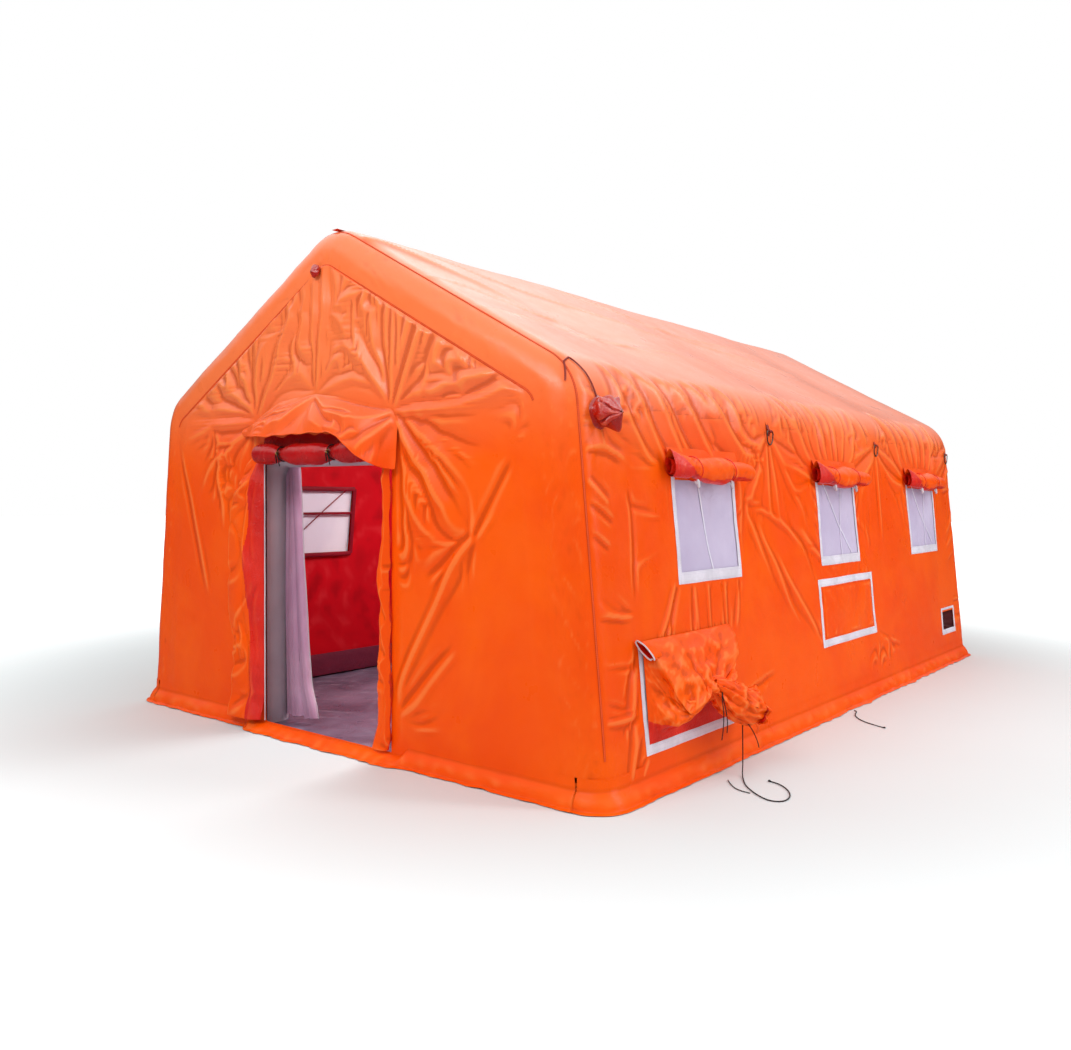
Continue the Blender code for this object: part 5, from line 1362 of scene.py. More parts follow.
def make_skirt(name, node, columns):
    """A skirt over a list of columns: wall or gable, place along it, side, top and flare."""
    points, uv, lifts = [], [], []
    run = 0.0
    for kind, place, side, top, flare in columns:
        q, lift, height = hem_column(kind, place, side, top, flare, run)
        if kind == "wall":
            row = cover(place, s_at(np.minimum(height, 0.2)), lift, side)
            row[:, 2] = height
        else:
            row = stack(place, side * (HALF_LENGTH + lift), height)
        if points:
            run += float(np.linalg.norm(row[0] - points[-1][0]))
        points.append(row)
        uv.append(stack(run, q * 0.2))
        lifts.append(lift)
    piece = surface(name, np.array(points), np.array(uv), ORANGE,
                    shade=crease_shade(np.array(lifts)) * 0.6)
    keep(piece, "tent", "cover", node)


def make_skirts():
    """The hem all round with the door's sill strip."""
    ys = lines([-FLAT_END, FLAT_END], 0.018)
    for way, side in (("right", 1), ("left", -1)):
        columns = [("wall", y, side, SKIRT_TOP, HEM_FLARE) for y in ys]
        make_skirt(f"hem_{way}", f"skirt_{way}", columns)
    turns = lines([FLAT_END, GABLE], 0.014)
    reach = BASE - TUBE * 1.02
    door, past_door = 0.66, 0.74
    xs = lines([-reach, -past_door, -door, door, past_door, reach], 0.016)[::-1]
    for way, end in (("front", -1), ("back", 1)):
        columns = [("wall", end * a, 1, SKIRT_TOP, HEM_FLARE) for a in turns]
        for x in xs:
            sill = float(1 - smooth(abs(x), 0.64, 0.74)) if end < 0 else 0.0
            top = SKIRT_TOP + (DOOR_SILL + 0.004 - SKIRT_TOP) * sill
            columns.append(("gable", x, end, top, HEM_FLARE + 0.052 * sill))
        columns += [("wall", end * a, -1, SKIRT_TOP, HEM_FLARE) for a in turns[::-1]]
        make_skirt(f"hem_{way}", f"skirt_{way}", columns)


# Inside
FLOOR_HALF = (1.93, 2.975)
LINER_DEEP = LINER_INSET + 0.008
LINER_BACK = FLAT_END - 0.16
LINER_FOOT = 0.03
PANE_HALF = 0.30
PANE_LOW, PANE_HIGH = 1.00, 1.50


def make_floor():
    """The groundsheet, laid with soft creases."""
    wide, long = FLOOR_HALF
    x, y = np.meshgrid(lines([-wide, wide], 0.03), lines([-long, long], 0.03))
    lift = 0.0036 * crumple(x, y, 0.30, 700) + 0.004 * noise(x * 2.2, y * 1.4, 703)
    edge = smooth(wide - np.abs(x), 0, 0.2) * smooth(long - np.abs(y), 0, 0.1)
    z = 0.006 + np.maximum(lift + 0.004, 0) * edge
    floor = surface("floor_cloth", stack(x, y, z), stack(x, y), FLOOR, shade=crease_shade(z))
    keep(floor, "tent", "floor", "groundsheet")


def make_liner():
    """The inner tent's walls and roof, with holes for its windows."""
    holes = [(middle - PANE_HALF, middle + PANE_HALF, PANE_LOW, PANE_HIGH) for middle in WINDOWS]
    s, side = whole_path(0.05, LINER_FOOT, (float(s_at(PANE_LOW)), float(s_at(PANE_HIGH))))
    ys = lines([-FLAT_END, LINER_BACK, *(y for hole in holes for y in hole[:2])], 0.05)
    grid_y, grid_s = np.meshgrid(ys, s)
    rough = 0.006 * crumple(grid_y, grid_s, 0.5, 710) + 0.006 * noise(grid_y * 2, grid_s * 2, 711)
    points = cover(np.clip(grid_y, -FLAT_END, FLAT_END), grid_s, -LINER_DEEP + rough, side[:, None])
    liner = surface("liner_cloth", points, stack(grid_y, grid_s), LINER,
                    in_holes(grid_y, grid_s, holes), crease_shade(rough))
    keep(liner, "tent", "liner", "inner_liner")


def make_liner_end():
    """The inner tent's far wall."""
    edge = cover(0.0, lines([LINER_FOOT, S_WALL, S_EAVE, S_ROOF, S_RIDGE], 0.08), -LINER_DEEP)
    share = np.linspace(1, -1, 41)
    x = edge[:, :1] * share
    z = np.broadcast_to(edge[:, 2:], x.shape)
    rough = 0.012 * crumple(x, z, 0.6, 720)
    wall = surface("liner_end", stack(x, LINER_BACK + rough * (1 - share ** 8), z), stack(x, z),
                   LINER, shade=crease_shade(rough), weld=True)
    keep(wall, "tent", "liner")


def liner_strip(name, ends, heights, count, deep, wide, thick, side, finish):
    """A straight strip on the inner tent's wall."""
    y, s = np.linspace(*ends, count), s_at(np.linspace(*heights, count))
    path = cover(y, s, -LINER_INSET - deep, side)
    return ribbon(name, path, np.tile([-side, 0.0, 0.0], (count, 1)), wide, thick, finish)


def make_liner_trims():
    """A hem at the inner tent's foot, and a frame, a bar and a thin line at each window."""
    pieces = []
    half, low, high = PANE_HALF + 0.01, PANE_LOW - 0.01, PANE_HIGH + 0.01
    for side in (1.0, -1.0):
        pieces.append(liner_strip("liner_foot", (-FLAT_END + 0.02, LINER_BACK), (0.11, 0.11), 60,
                                  0.022, 0.17, 0.002, side, HEM))
        for middle in WINDOWS:
            near, far = middle - half, middle + half
            corners = [(near, low), (far, low), (far, high), (near, high)]
            for a, b in zip(corners, corners[1:] + corners[:1]):
                pieces.append(liner_strip("liner_frame", (a[0], b[0]), (a[1], b[1]), 12, 0.022,
                                          0.034, 0.003, side, TRIM))
            pieces.append(liner_strip("liner_bar", (middle - PANE_HALF, middle + PANE_HALF),
                                      (1.31, 1.31), 10, 0.020, 0.02, 0.002, side, TRIM))
            pieces.append(liner_strip("liner_line", (middle - 0.29, middle + 0.22), (1.09, 1.50), 10,
                                      0.024, 0.009, 0.002, side, TRIM))
    keep(joined("liner_trims", pieces), "tent", "liner")


def make_liner_panes():
    """The pale panes of the inner tent's windows."""
    panes = []
    for side in (1.0, -1.0):
        for middle in WINDOWS:
            y, z = np.meshgrid(np.linspace(middle - PANE_HALF, middle + PANE_HALF, 13),
                               np.linspace(PANE_LOW, PANE_HIGH, 11))
            panes.append(surface("liner_pane", cover(y, s_at(z), -LINER_INSET + 0.004, side),
                                 stack(y, z), PANE))
    keep(joined("liner_panes", panes), "tent", "screen")


def make_pane_cord():
    """A dark cord across the middle inner window of the left wall."""
    t = np.linspace(0, 1, 16)
    y = WINDOWS[1] + np.interp(t, (0, 1), (0.22, -0.27))
    z = np.interp(t, (0, 1), (PANE_HIGH, 1.02)) - 0.02 * np.sin(np.pi * t)
    path = cover(y, s_at(z), -LINER_INSET - 0.030, -1.0)
    keep(tube("pane_cord", path, 0.0035, BLACK, 8), "tent", "liner")


# Air beams
ARCH_RADIUS = 0.139
BEAM_RADIUS = 0.0985
BEAM_GAP = 0.08
POST = 0.774
HEADER = 1.76
FRAME_BEND = 0.2
FRAME_RADIUS = 0.1395
FRAME_FACE = GABLE_FACE + 0.0043


def make_arches():
    """Inflated arches, square-cut at their feet."""
    s, side = whole_path(0.09, 0.006)
    turn = 2 * math.pi * np.arange(29) / 28
    x, z, nx, nz = profile(s)
    slope = smooth(s, 1.3, S_WALL)
    inx, inz = nx * slope + (1 - slope) / WALL_NORMAL[0], nz * slope
    inset = TUBE - ARCH_RADIUS * np.cos(turn)[:, None]
    for number, y in enumerate(ARCHES, 1):
        points = stack(side * (x - inx * inset), y + ARCH_RADIUS * np.sin(turn)[:, None],
                       z - inz * inset)
        piece = surface(f"air_arch_{number}", points, stack(s, turn[:, None] * 0.14), GREY)
        keep(piece, "tent", "air_beam", f"arch_{number}")


def make_purlins():
    """Inflated beams along the ridge and both eaves, one a bay."""
    turn = (WALL_TURN + ROOF_TURN) / 2
    eave = EAVE_CENTRE + np.array([math.cos(turn), math.sin(turn)]) * (EAVE_BEND - TUBE)
    ridge = RIDGE_CENTRE + np.array([0.0, RIDGE_BEND - TUBE])
    share = np.linspace(0, 1, 24)
    bulge = BEAM_RADIUS * (0.94 + 0.06 * np.sin(math.pi * share) ** 0.5)
    for name, node, place in (("air_ridge", "ridge_beam", ridge),
                              ("air_eave_right", "eave_beam_right", eave),
                              ("air_eave_left", "eave_beam_left", eave * (-1, 1))):
        for bay in range(3):
            y = np.linspace(ARCHES[bay] + BEAM_GAP, ARCHES[bay + 1] - BEAM_GAP, 24)
            piece = tube(f"{name}_{bay + 1}", stack(place[0], y, place[1]), bulge, GREY, 24)
            keep(piece, "tent", "air_beam", f"{node}_{bay + 1}")


def make_door_frame():
    """The inflated frame of the doorway, an inverted U."""
    depth = FRAME_FACE + 0.14
    low = HEADER - FRAME_BEND
    half = [(POST, depth, z) for z in np.linspace(0.006, low, 24)]
    half += [(POST - FRAME_BEND * (1 - math.cos(a)), depth, low + FRAME_BEND * math.sin(a))
             for a in np.linspace(0, math.pi / 2, 10)[1:]]
    across = [(x, depth, HEADER) for x in np.linspace(0.5, -0.5, 14)]
    path = half + across + [(-x, y, z) for x, y, z in half[::-1]]
    keep(tube("air_door_frame", path, FRAME_RADIUS, GREY, 36), "tent", "air_beam", "door_frame_beam")


# Fittings of the side walls
def dress(node, finish):
    """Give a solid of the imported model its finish."""
    for slot in bpy.data.objects[node].material_slots:
        slot.material = finish


def way_of(side):
    """Name of a side."""
    return "right" if side > 0 else "left"


WEB_LIFT = 0.0012


def border(name, side, box, widths, node):
    """A webbing border sewn on a side wall; widths are front, back, bottom and top."""
    y0, y1, z0, z1 = box
    front, back, low, high = widths
    ys = lines([y0, y0 + front, y1 - back, y1], 0.011)
    zs = lines([z0, z0 + low, z1 - high, z1], 0.011)
    y, z = np.meshgrid(ys, zs)
    outer = np.minimum.reduce([y - y0, y1 - y, z - z0, z1 - z])
    inner = np.maximum.reduce([y0 + front - y, y - y1 + back, z0 + low - z, z - z1 + high])
    rise = smooth(np.minimum(outer, inner), -0.001, 0.006)
    ripple = 0.0012 * noise(y * 17, z * 17, 801) + 0.0016 * noise(y * 6, z * 6, 802)
    sway = 0.0022 * noise(z * 3.0 + y0, y * 1.1, 803)
    points = wall_patch(y + sway, z + 0.0022 * noise(y * 3.0, z * 1.1 + y0, 804), side,
                        WEB_LIFT + rise * (0.0026 + ripple))
    my, mz = (y[:-1, :-1] + y[1:, 1:]) / 2, (z[:-1, :-1] + z[1:, 1:]) / 2
    cut = (my > y0 + front) & (my < y1 - back) & (mz > z0 + low) & (mz < z1 - high)
    across = np.minimum(np.maximum(outer, 0), np.maximum(inner, 0))
    run = np.where((y < y0 + front) | (y > y1 - back), z, y)
    piece = surface(name, points, stack(run, across), BORDER, cut)
    keep(piece, "tent", "screen" if "window" in node else "border", node)
    f"cover_wall_{way_of(side)}"


MESH_WIDE = 0.664
MESH_LOW = 1.012
MESH_HIGH = 0.573
MESH_DISH = 0.012
# light ties before each window's mesh: both ends, along from its middle and by height, and width
WINDOW_TIES = {1: [(-0.08, 1.56, 0.03, 1.05, 0.012)],
                2: [(-0.24, 1.56, 0.22, 1.06, 0.010), (0.10, 1.56, 0.03, 1.05, 0.007)],
                3: [(-0.22, 1.56, 0.22, 1.08, 0.010), (0.12, 1.56, 0.05, 1.05, 0.007)]}


def mesh_dish(across, z):
    """Share of a mesh's dish, from 0 at its edges to 1 in its middle."""
    wide = np.sin(np.pi * (across + MESH_WIDE / 2) / MESH_WIDE)
    return wide * np.sin(np.pi * (z - MESH_LOW) / MESH_HIGH)


def window(side, number, middle):
    """A mesh window with its border and the light ties before it."""
    tag = f"{way_of(side)}_{number}"
    half, low, high = WINDOW
    node = f"window_screen_{tag}"
    border(f"window_border_{tag}", side, (middle - half, middle + half, low, high + 0.03),
           (0.036, 0.034, 0.062, 0.03), node)
    y, z = np.meshgrid(np.linspace(middle - MESH_WIDE / 2, middle + MESH_WIDE / 2, 40),
                       np.linspace(MESH_LOW, MESH_LOW + MESH_HIGH, 36))
    dish = mesh_dish(y - middle, z)
    ripple = 0.0035 * noise(y * 4, z * 2.5, 810 + number) + 0.0015 * noise(y * 14, z * 5, 813)
    lift = -0.003 - MESH_DISH * dish + ripple * np.sqrt(np.maximum(dish, 0))
    mesh = surface(f"window_mesh_{tag}", wall_patch(y, z, side, lift), stack(y, z), MESH,
                   shade=crease_shade(lift))
    keep(mesh, "tent", "screen", node)
    strips = []
    t = np.linspace(0, 1, 18)
    for y0, z0, y1, z1, wide in WINDOW_TIES[number]:
        across = y0 + (y1 - y0) * t + 0.006 * np.sin(5 * t)
        z = z0 + (z1 - z0) * t
        path = wall_patch(middle + across, z, side, 0.0003 - MESH_DISH * mesh_dish(across, z))
        strips.append(ribbon(f"window_line_{tag}", path, np.tile([side, 0, 0.1], (18, 1)), wide,
                             0.0015, THREAD))
    keep(joined(f"window_lines_{tag}", strips), "tent", "screen")


ROLL_LENGTH = 0.86
ROLL_RADIUS = 0.072
ROLL_TOP = 1.70
ROLL_CENTRE = ROLL_TOP - 0.10
ROLL_TIES = (-0.255, 0.125)
TOGGLE = [0.004, 0.009, 0.0095, 0.0085, 0.0095, 0.009, 0.004]


def roll_cloth(side, number, middle, u):
    """A window's rolled flap: a spiral that the ties draw in, with a peak at its near end."""
    tag = f"{way_of(side)}_{number}"
    uu, turn = np.meshgrid(u, np.linspace(0, 2.15, 84))
    angle = 2 * np.pi * turn
    tied = sum(np.exp(-((uu - tie) / 0.030) ** 2) for tie in ROLL_TIES)
    left = np.exp(-(uu + ROLL_LENGTH / 2) / 0.10)
    right = np.exp(-(ROLL_LENGTH / 2 - uu) / 0.07)
    bulge = 1 + 0.16 * np.cos(np.pi * np.clip(np.abs(uu) / 0.21, 0, 1)) - 0.20 * tied - 0.16 * right
    swell = 1 + 0.10 * noise(uu * 5, turn * 3, 820 + number) + 0.05 * noise(uu * 17, turn * 5, 823)
    swell += 0.10 * crumple(uu, turn * 0.35, 0.11, 826 + number) * (0.5 + tied)
    end = np.clip((ROLL_LENGTH / 2 - uu) / 0.040, 0, 1)
    r = (ROLL_RADIUS - 0.016 * turn) * bulge * swell * np.sqrt(1 - (1 - end) ** 2 * 0.97)
    peak = left * np.exp(-((turn - 0.74) / 0.14) ** 2)
    out = 0.004 + (ROLL_RADIUS - r * np.cos(angle)) * (1 - 0.42 * left) + 0.012 * peak
    out = np.maximum(out, 0.003) * (1 - 0.22 * left * (turn > 0.9))
    up = ROLL_CENTRE + 0.014 * left - r * np.sin(angle) + 0.034 * peak - 0.010 * right
    along = middle + uu - 0.018 * peak + 0.010 * noise(uu * 3, turn * 2, 829)
    # the roll is red below a line that falls from its near end, and on its inner turns
    share = (uu + ROLL_LENGTH / 2) / ROLL_LENGTH
    line = 0.72 - 0.36 * smooth(share, 0.0, 0.30) - 0.04 * np.sin(share * 7.0)
    mid_turn = (turn[:-1, :-1] + turn[1:, 1:]) / 2
    mid_line = (line[:-1, :-1] + line[1:, 1:]) / 2
    slots = np.where((mid_turn < mid_line) | (mid_turn > 1.08), 1, 0)
    return surface(f"window_flap_{tag}", beside_wall(along, up, out, side), stack(uu, turn * 0.4),
                   [ORANGE, LINING], shade=crease_shade(r), slots=slots)


def roll_tie(tag, side, place):
    """A band round a roll with the two ears of its bow and its toggle."""
    grip = ROLL_RADIUS * 0.86
    turn = circle(28)
    loop = beside_wall(place + 0.010 * np.sin(turn), ROLL_CENTRE - (grip + 0.003) * np.sin(turn),
                       0.004 + ROLL_RADIUS - (grip + 0.003) * np.cos(turn), side)
    pieces = [tube(f"tie_{tag}", loop, 0.0030, LINING, 8, closed=True)]
    front_out, front_z = 0.004 + ROLL_RADIUS * 1.25, ROLL_CENTRE - grip * 0.88
    turn = circle(16)
    for way, size in ((-1, 0.8), (1, 1.3)):
        ear = beside_wall(place + way * (0.012 + 0.011 * np.cos(turn)),
                          front_z - 0.012 - 0.020 * np.sin(turn * 0.5) * size,
                          front_out + 0.006 + 0.004 * np.sin(turn), side)
        pieces.append(tube(f"bow_{tag}", ear, 0.0026, CORD_WHITE, 8, closed=True))
    run = np.linspace(0, 1, len(TOGGLE))
    toggle = beside_wall(place + 0.006 * run, front_z - 0.002 - 0.046 * run, front_out + 0.010, side)
    pieces.append(tube(f"toggle_{tag}", toggle, TOGGLE, CORD_WHITE, 12))
    return pieces


def window_roll(side, number, middle):
    """A window's flap, rolled up and tied above it."""
    tag = f"{way_of(side)}_{number}"
    body = f"{way_of(side)}_window_roll_{number}"
    u = lines([-ROLL_LENGTH / 2, *ROLL_TIES, ROLL_LENGTH / 2], 0.0105)
    piece = roll_cloth(side, number, middle, u)
    keep(piece, body, "cover", f"window_roll_{tag}")
    # the strip that joins it to the wall
    uu, down = np.meshgrid(u * 0.90, np.linspace(0, 1, 7))
    lift = 0.004 + 0.016 * down + 0.004 * noise(uu * 11, down, 840)
    strip = cover(middle + uu, s_at(ROLL_TOP + 0.012 - 0.070 * down), lift, side)
    extras = [surface(f"flap_strip_{tag}", strip, stack(uu, down * 0.07), ORANGE)]
    for tie in ROLL_TIES:
        extras += roll_tie(tag, side, middle + tie)
    keep(joined(f"flap_ties_{tag}", extras), body, "cover")


def make_windows():
    """Windows of both sides."""
    for side in (1, -1):
        for number, middle in enumerate(WINDOWS, 1):
            window(side, number, middle)
            window_roll(side, number, middle)


PANEL_INSET = 0.06
POCKET_DEEP = 0.10


def make_hatch_panel():
    """The hatch's closed panel, with soft crumples."""
    y0, y1 = HATCH[0] + PANEL_INSET, HATCH[1] - PANEL_INSET
    z0, z1 = HATCH[2] + PANEL_INSET, HATCH[3] - PANEL_INSET
    y, z = np.meshgrid(np.linspace(y0, y1, 76), np.linspace(z0, z1, 30))
    edge = smooth(np.minimum.reduce([y - y0, y1 - y, z - z0, z1 - z]), -0.001, 0.02)
    lift = 0.004 + edge * (0.003 + 0.004 * crumple(y, z, 0.22, 850) + 0.004 * noise(y * 5, z * 5, 851))
    panel = surface("hatch_panel", cover(y, s_at(z), lift), stack(y, z), ORANGE,
                    shade=crease_shade(lift))
    keep(panel, "hatch", "cover", "hatch_flap")


def make_port_pocket():
    """A pocket behind the cable port, in dark red: painted shade of the port's recess."""
    y0, y1, z0, z1 = PORT[0] + 0.025, PORT[1] - 0.025, PORT[2] + 0.025, PORT[3] - 0.010
    a, b = np.meshgrid(np.linspace(-1, 1, 25), np.linspace(-1, 1, 25))
    depth = POCKET_DEEP * (1 - np.maximum(np.abs(a), np.abs(b)) ** 6)
    shrink = 1 - 0.12 * (depth / POCKET_DEEP)
    y = (y0 + y1) / 2 + a * (y1 - y0) / 2 * shrink
    z = (z0 + z1) / 2 + b * (z1 - z0) / 2 * shrink
    lift = -0.001 - depth + 0.006 * noise(a * 3, b * 3, 853)
    # painted shade: the pocket's dark red stands for the shaded recess behind the port
    pocket = surface("port_pocket", cover(y, s_at(z), lift), stack(y, z), POCKET)
    keep(pocket, "tent", "liner")


def make_ports():
    """The hatch, the duct port's border and the cable port."""
    border("hatch_border", 1, HATCH, (0.036, 0.036, 0.050, 0.050), "hatch_frame")
    make_hatch_panel()
    border("duct_border", 1, DUCT, (0.060, 0.036, 0.050, 0.050), "duct_frame")
    border("port_border", 1, PORT, (0.032, 0.034, 0.044, 0.020), "cable_port_frame")
    make_port_pocket()


# Duct sleeve, by place along the right wall, height and distance off it
NECK = np.array([-2.18, 0.49, 0.150])
GATHER = 0.046
BAG_ROOT = (-2.582, -1.690, 0.242, 0.742)
BAG_MIDDLE = np.array([-2.18, 0.44, 0.02])
TAIL_ROUTE = [(-2.18, 0.49, 0.150), (-2.12, 0.462, 0.162), (-2.04, 0.402, 0.182),
              (-1.96, 0.358, 0.188), (-1.87, 0.340, 0.190), (-1.770, 0.330, 0.190)]
TAIL_SIZES = ((0, 0.05, 0.16, 0.36, 0.60, 0.80, 0.92, 1.0),
              (0.032, 0.034, 0.060, 0.082, 0.086, 0.084, 0.092, 0.102))
STRAP_ROUTE = [(-1.80, 0.262, 0.150), (-1.775, 0.238, 0.172), (-1.745, 0.205, 0.170),
               (-1.715, 0.165, 0.150)]
# places of the tail's path that a loop ties, and the loops' radii
NECK_LOOPS = ((4, 0.040), (6, 0.046))
# ends of the ties, as points
TAIL_END = [(2.124, -1.953, 0.285), (2.140, -1.935, 0.262), (2.158, -1.905, 0.215),
            (2.170, -1.880, 0.165), (2.176, -1.868, 0.125)]
GROUND_END = [(2.133, -2.133, 0.0029), (2.170, -2.180, 0.0029), (2.224, -2.233, 0.0029),
              (2.270, -2.254, 0.0029), (2.318, -2.260, 0.0029)]
# how far each end at the neck goes along and outward, and the height that it hangs to
NECK_ENDS = ((-0.050, 0.030, 0.225), (0.012, 0.026, 0.250))


def ridges(angle):
    """A wave of flat faces between straight ridges and creases, from -1 to 1."""
    return 4 * np.abs((angle / np.pi) % 1 - 0.5) - 1


def bag_course(aa, tt):
    """The bag's places from its root, a rectangle at the border's inner edge, to the ring at its
    neck, and how far each is on its underside."""
    y0, y1, z0, z1 = BAG_ROOT
    c, s = np.cos(aa), np.sin(aa)
    reach = 1 / np.maximum(np.abs(c), np.abs(s))
    root = stack((y0 + y1) / 2 + (y1 - y0) / 2 * c * reach,
                 (z0 + z1) / 2 + (z1 - z0) / 2 * s * reach, 0.010)
    ring = NECK + GATHER * stack(c, 0.9 * s, 0.5 * c)
    up, down = smooth(s * reach, 0.2, 1.0), smooth(-s * reach, 0.3, 1.0)
    left, right = smooth(-c * reach, 0.2, 1.0), smooth(c * reach, 0.3, 1.0)
    # how each side sets out from the port and comes in to the neck
    leave = root + stack(0.10 * left - 0.10 * right, -0.13 * up + 0.02 * down,
                         0.075 + 0.035 * up - 0.05 * down + 0.01 * right)
    arrive = ring + stack(-0.16 * left + 0.06 * right - 0.07 * up,
                          -0.22 * up - 0.15 * left - 0.02 * down - 0.02 * right,
                          0.030 * up + 0.02 * left - 0.105 * down)
    past, ahead = tt[..., None], 1 - tt[..., None]
    course = ahead ** 3 * root + 3 * past * ahead ** 2 * leave
    course += 3 * past ** 2 * ahead * arrive + past ** 3 * ring
    return course, down


def make_bag():
    """The gathered bag on the port, drawn in to its neck."""
    aa, tt = np.meshgrid(2 * np.pi * np.arange(169) / 168, np.linspace(0, 1, 54))
    body, down = bag_course(aa, tt)
    # puffs between sharp creases that run to the neck, and crumples
    turn = aa + 0.45 * noise(aa * 1.3, tt * 1.4, 860)
    puffs = 0.026 * ridges(turn * 4.5) * (0.8 + 0.6 * noise(aa * 1.1, tt * 0, 863))
    puffs += 0.007 * ridges(turn * 9.5 + 1.0)
    grow = np.sin(np.pi * np.clip(tt, 0, 0.96)) ** 0.7 * (0.45 + 0.55 * tt)
    crumples = 0.036 * crumple(aa * 0.26, tt * 0.50, 0.24, 861)
    crumples += 0.009 * crumple(aa * 0.28, tt * 0.55, 0.09, 864)
    ease = np.sin(np.pi * tt) ** 0.5
    flat = down * (1 - smooth(tt, 0.45, 0.80))
    bump = (puffs * grow + crumples * ease) * (1 - 0.7 * flat)
    away = body - BAG_MIDDLE
    away /= np.linalg.norm(away, axis=-1, keepdims=True)
    body = body + away * bump[..., None]
    # the front half hangs in a pouch, and a peak stands up at the far side
    middle = np.sin(np.pi * tt) ** 0.8
    pouch = np.exp(-((aa - 3.55) / 0.55) ** 2) * middle
    peak = np.exp(-((aa - 0.62) / 0.22) ** 2) * middle
    body += stack(0.030 * peak, 0.045 * peak - 0.020 * pouch, 0.030 * pouch)
    body[..., 2] = np.maximum(body[..., 2] * (1 - 0.72 * flat), 0.008)
    body[..., 1] = np.maximum(body[..., 1], BAG_ROOT[2])
    # the lower side near the root is red, in the red finish
    lower = (np.sin(aa)[:-1, :-1] < -0.45) & (tt[:-1, :-1] < 0.62)
    bag = surface("sleeve_bag", off_wall(body), stack(aa * 0.2, tt * 0.5), [ORANGE, LINING],
                  shade=crease_shade(bump * 0.6), slots=np.where(lower, 1, 0))
    keep(bag, "tent", "cover", "duct_sleeve")


def make_tail(path):
    """The sleeve's flared open tail, with a red sheet inside its mouth and its rim."""
    share = np.linspace(0, 1, len(path))
    _, one, two = frames(path)
    aa, tt = np.meshgrid(2 * np.pi * np.arange(121) / 120, share)
    size = np.interp(share, *TAIL_SIZES)[:, None]
    turn = aa + 0.4 * noise(aa * 1.2, tt * 1.6, 870)
    near = np.exp(-(tt / 0.30) ** 2) + 0.35
    bump = size * (0.17 * ridges(turn * 4) * near + 0.02
                   + 0.22 * crumple(aa * 0.1, tt * 0.4, 0.12, 871)
                   + 0.10 * noise(aa * 1.0, tt * 3.0, 874))
    r = size + bump
    flat = 1 - 0.22 * smooth(tt, 0.75, 1.0)
    tail = path[:, None] + (one[:, None] * (np.cos(aa) * r)[..., None]
                            + two[:, None] * (np.sin(aa) * r * flat)[..., None])
    # a lip cut aslant, which shows the red inside
    lip = smooth(tt, 0.70, 1.0)
    aside = (tail[..., 2] - path[:, None, 2]) / 0.08
    tail[..., 0] += lip * (0.010 * np.sin(aa * 3 + 1.0) - 0.105 * np.clip(aside, -1, 1))
    tail[..., 2] = np.maximum(tail[..., 2], 0.006)
    piece = surface("sleeve_tail", off_wall(tail), stack(aa * 0.08, tt * 0.5), ORANGE,
                    shade=crease_shade(bump * 0.8))
    keep(piece, "tent", "cover", "duct_sleeve")
    lining = path[:, None] + (tail - path[:, None]) * 0.93
    lining[..., 0] = tail[..., 0] - 0.002
    first = len(path) // 2
    inner = surface("sleeve_inner_red", off_wall(lining)[first:], stack(aa * 0.1, tt * 0.2)[first:], LINING)
    keep(inner, "tent", "cover")
    rim = tube("sleeve_rim", off_wall(tail[-1, :-1]), 0.0032, ORANGE, 8, closed=True)
    keep(rim, "tent", "cover")


def make_corner():
    """The sleeve's loose top corner, rolled out, with white piping on its rim."""
    roll, run = np.meshgrid(np.linspace(0.15, 1.80 * np.pi, 41), np.linspace(0, 1, 22))
    shrink = (1 - 0.75 * run) * (1 + 0.10 * noise(roll * 1.2, run * 4, 866))
    long, short = 0.058 * shrink * np.cos(roll), 0.019 * shrink * np.sin(roll)
    y = -2.628 + 0.210 * run + 0.012 * np.cos(roll) * (1 - run)
    z = 0.706 - 0.030 * run - 0.75 * long + 0.66 * short
    out = 0.052 - 0.024 * run + 0.66 * long + 0.75 * short
    corner = cover(y, s_at(z), np.maximum(out, 0.006))
    curl = surface("sleeve_corner", corner, stack(roll * 0.03, run * 0.16), [ORANGE, LINING],
                   slots=(roll[:-1, :-1] > 3.6).astype(int))
    keep(curl, "tent", "cover")
    rim = np.concatenate([corner[0], corner[:14, -1]])
    keep(tube("sleeve_piping", rim, 0.0042, CORD_WHITE, 8), "tent", "border")


def make_strap():
    """The strap that hangs from the tail's end."""
    path = off_wall(smooth_route(STRAP_ROUTE, 0.01))
    normal = np.tile([0.85, -0.35, 0.4], (len(path), 1))
    keep(ribbon("tail_strap", path, normal, 0.030, 0.0022, ORANGE), "tent", "cover")


def make_neck_tie(path):
    """Two loops of cord round the sleeve's neck."""
    along = frames(path)[0]
    turn = circle(24)[:, None]
    loops = []
    for place, radius in NECK_LOOPS:
        across = np.cross(along[place], (0.0, 0.0, 1.0))
        across /= np.linalg.norm(across)
        other = np.cross(along[place], across)
        loop = path[place] + radius * (across * np.cos(turn) + other * np.sin(turn))
        loops.append(tube("neck_loop", off_wall(loop), 0.0028, BLACK, 8, closed=True))
    keep(joined("neck_tie", loops), "tent", "cord")


def make_loose_ends():
    """The bare ends of the sleeve's ties."""
    make_cord("duct_cord_tail", TAIL_END, LOOSE_END, step=0.012, knot=False)
    make_cord("ground_tail", GROUND_END, LOOSE_END, step=0.012, knot=False)
    front = cover(-2.165, s_at(0.455), 0.198)
    for number, (along, out, low) in enumerate(NECK_ENDS, 1):
        drop = low - front[2]
        route = [front, front + (0.006, along * 0.2, -0.035),
                 front + (out * 0.8, along * 0.55, -0.10),
                 front + (out, along * 0.85, drop * 0.75),
                 front + (out * 0.9, along, drop)]
        make_cord(f"neck_end_{number}", [tuple(map(float, place)) for place in route], LOOSE_END,
                  step=0.012, knot=False)


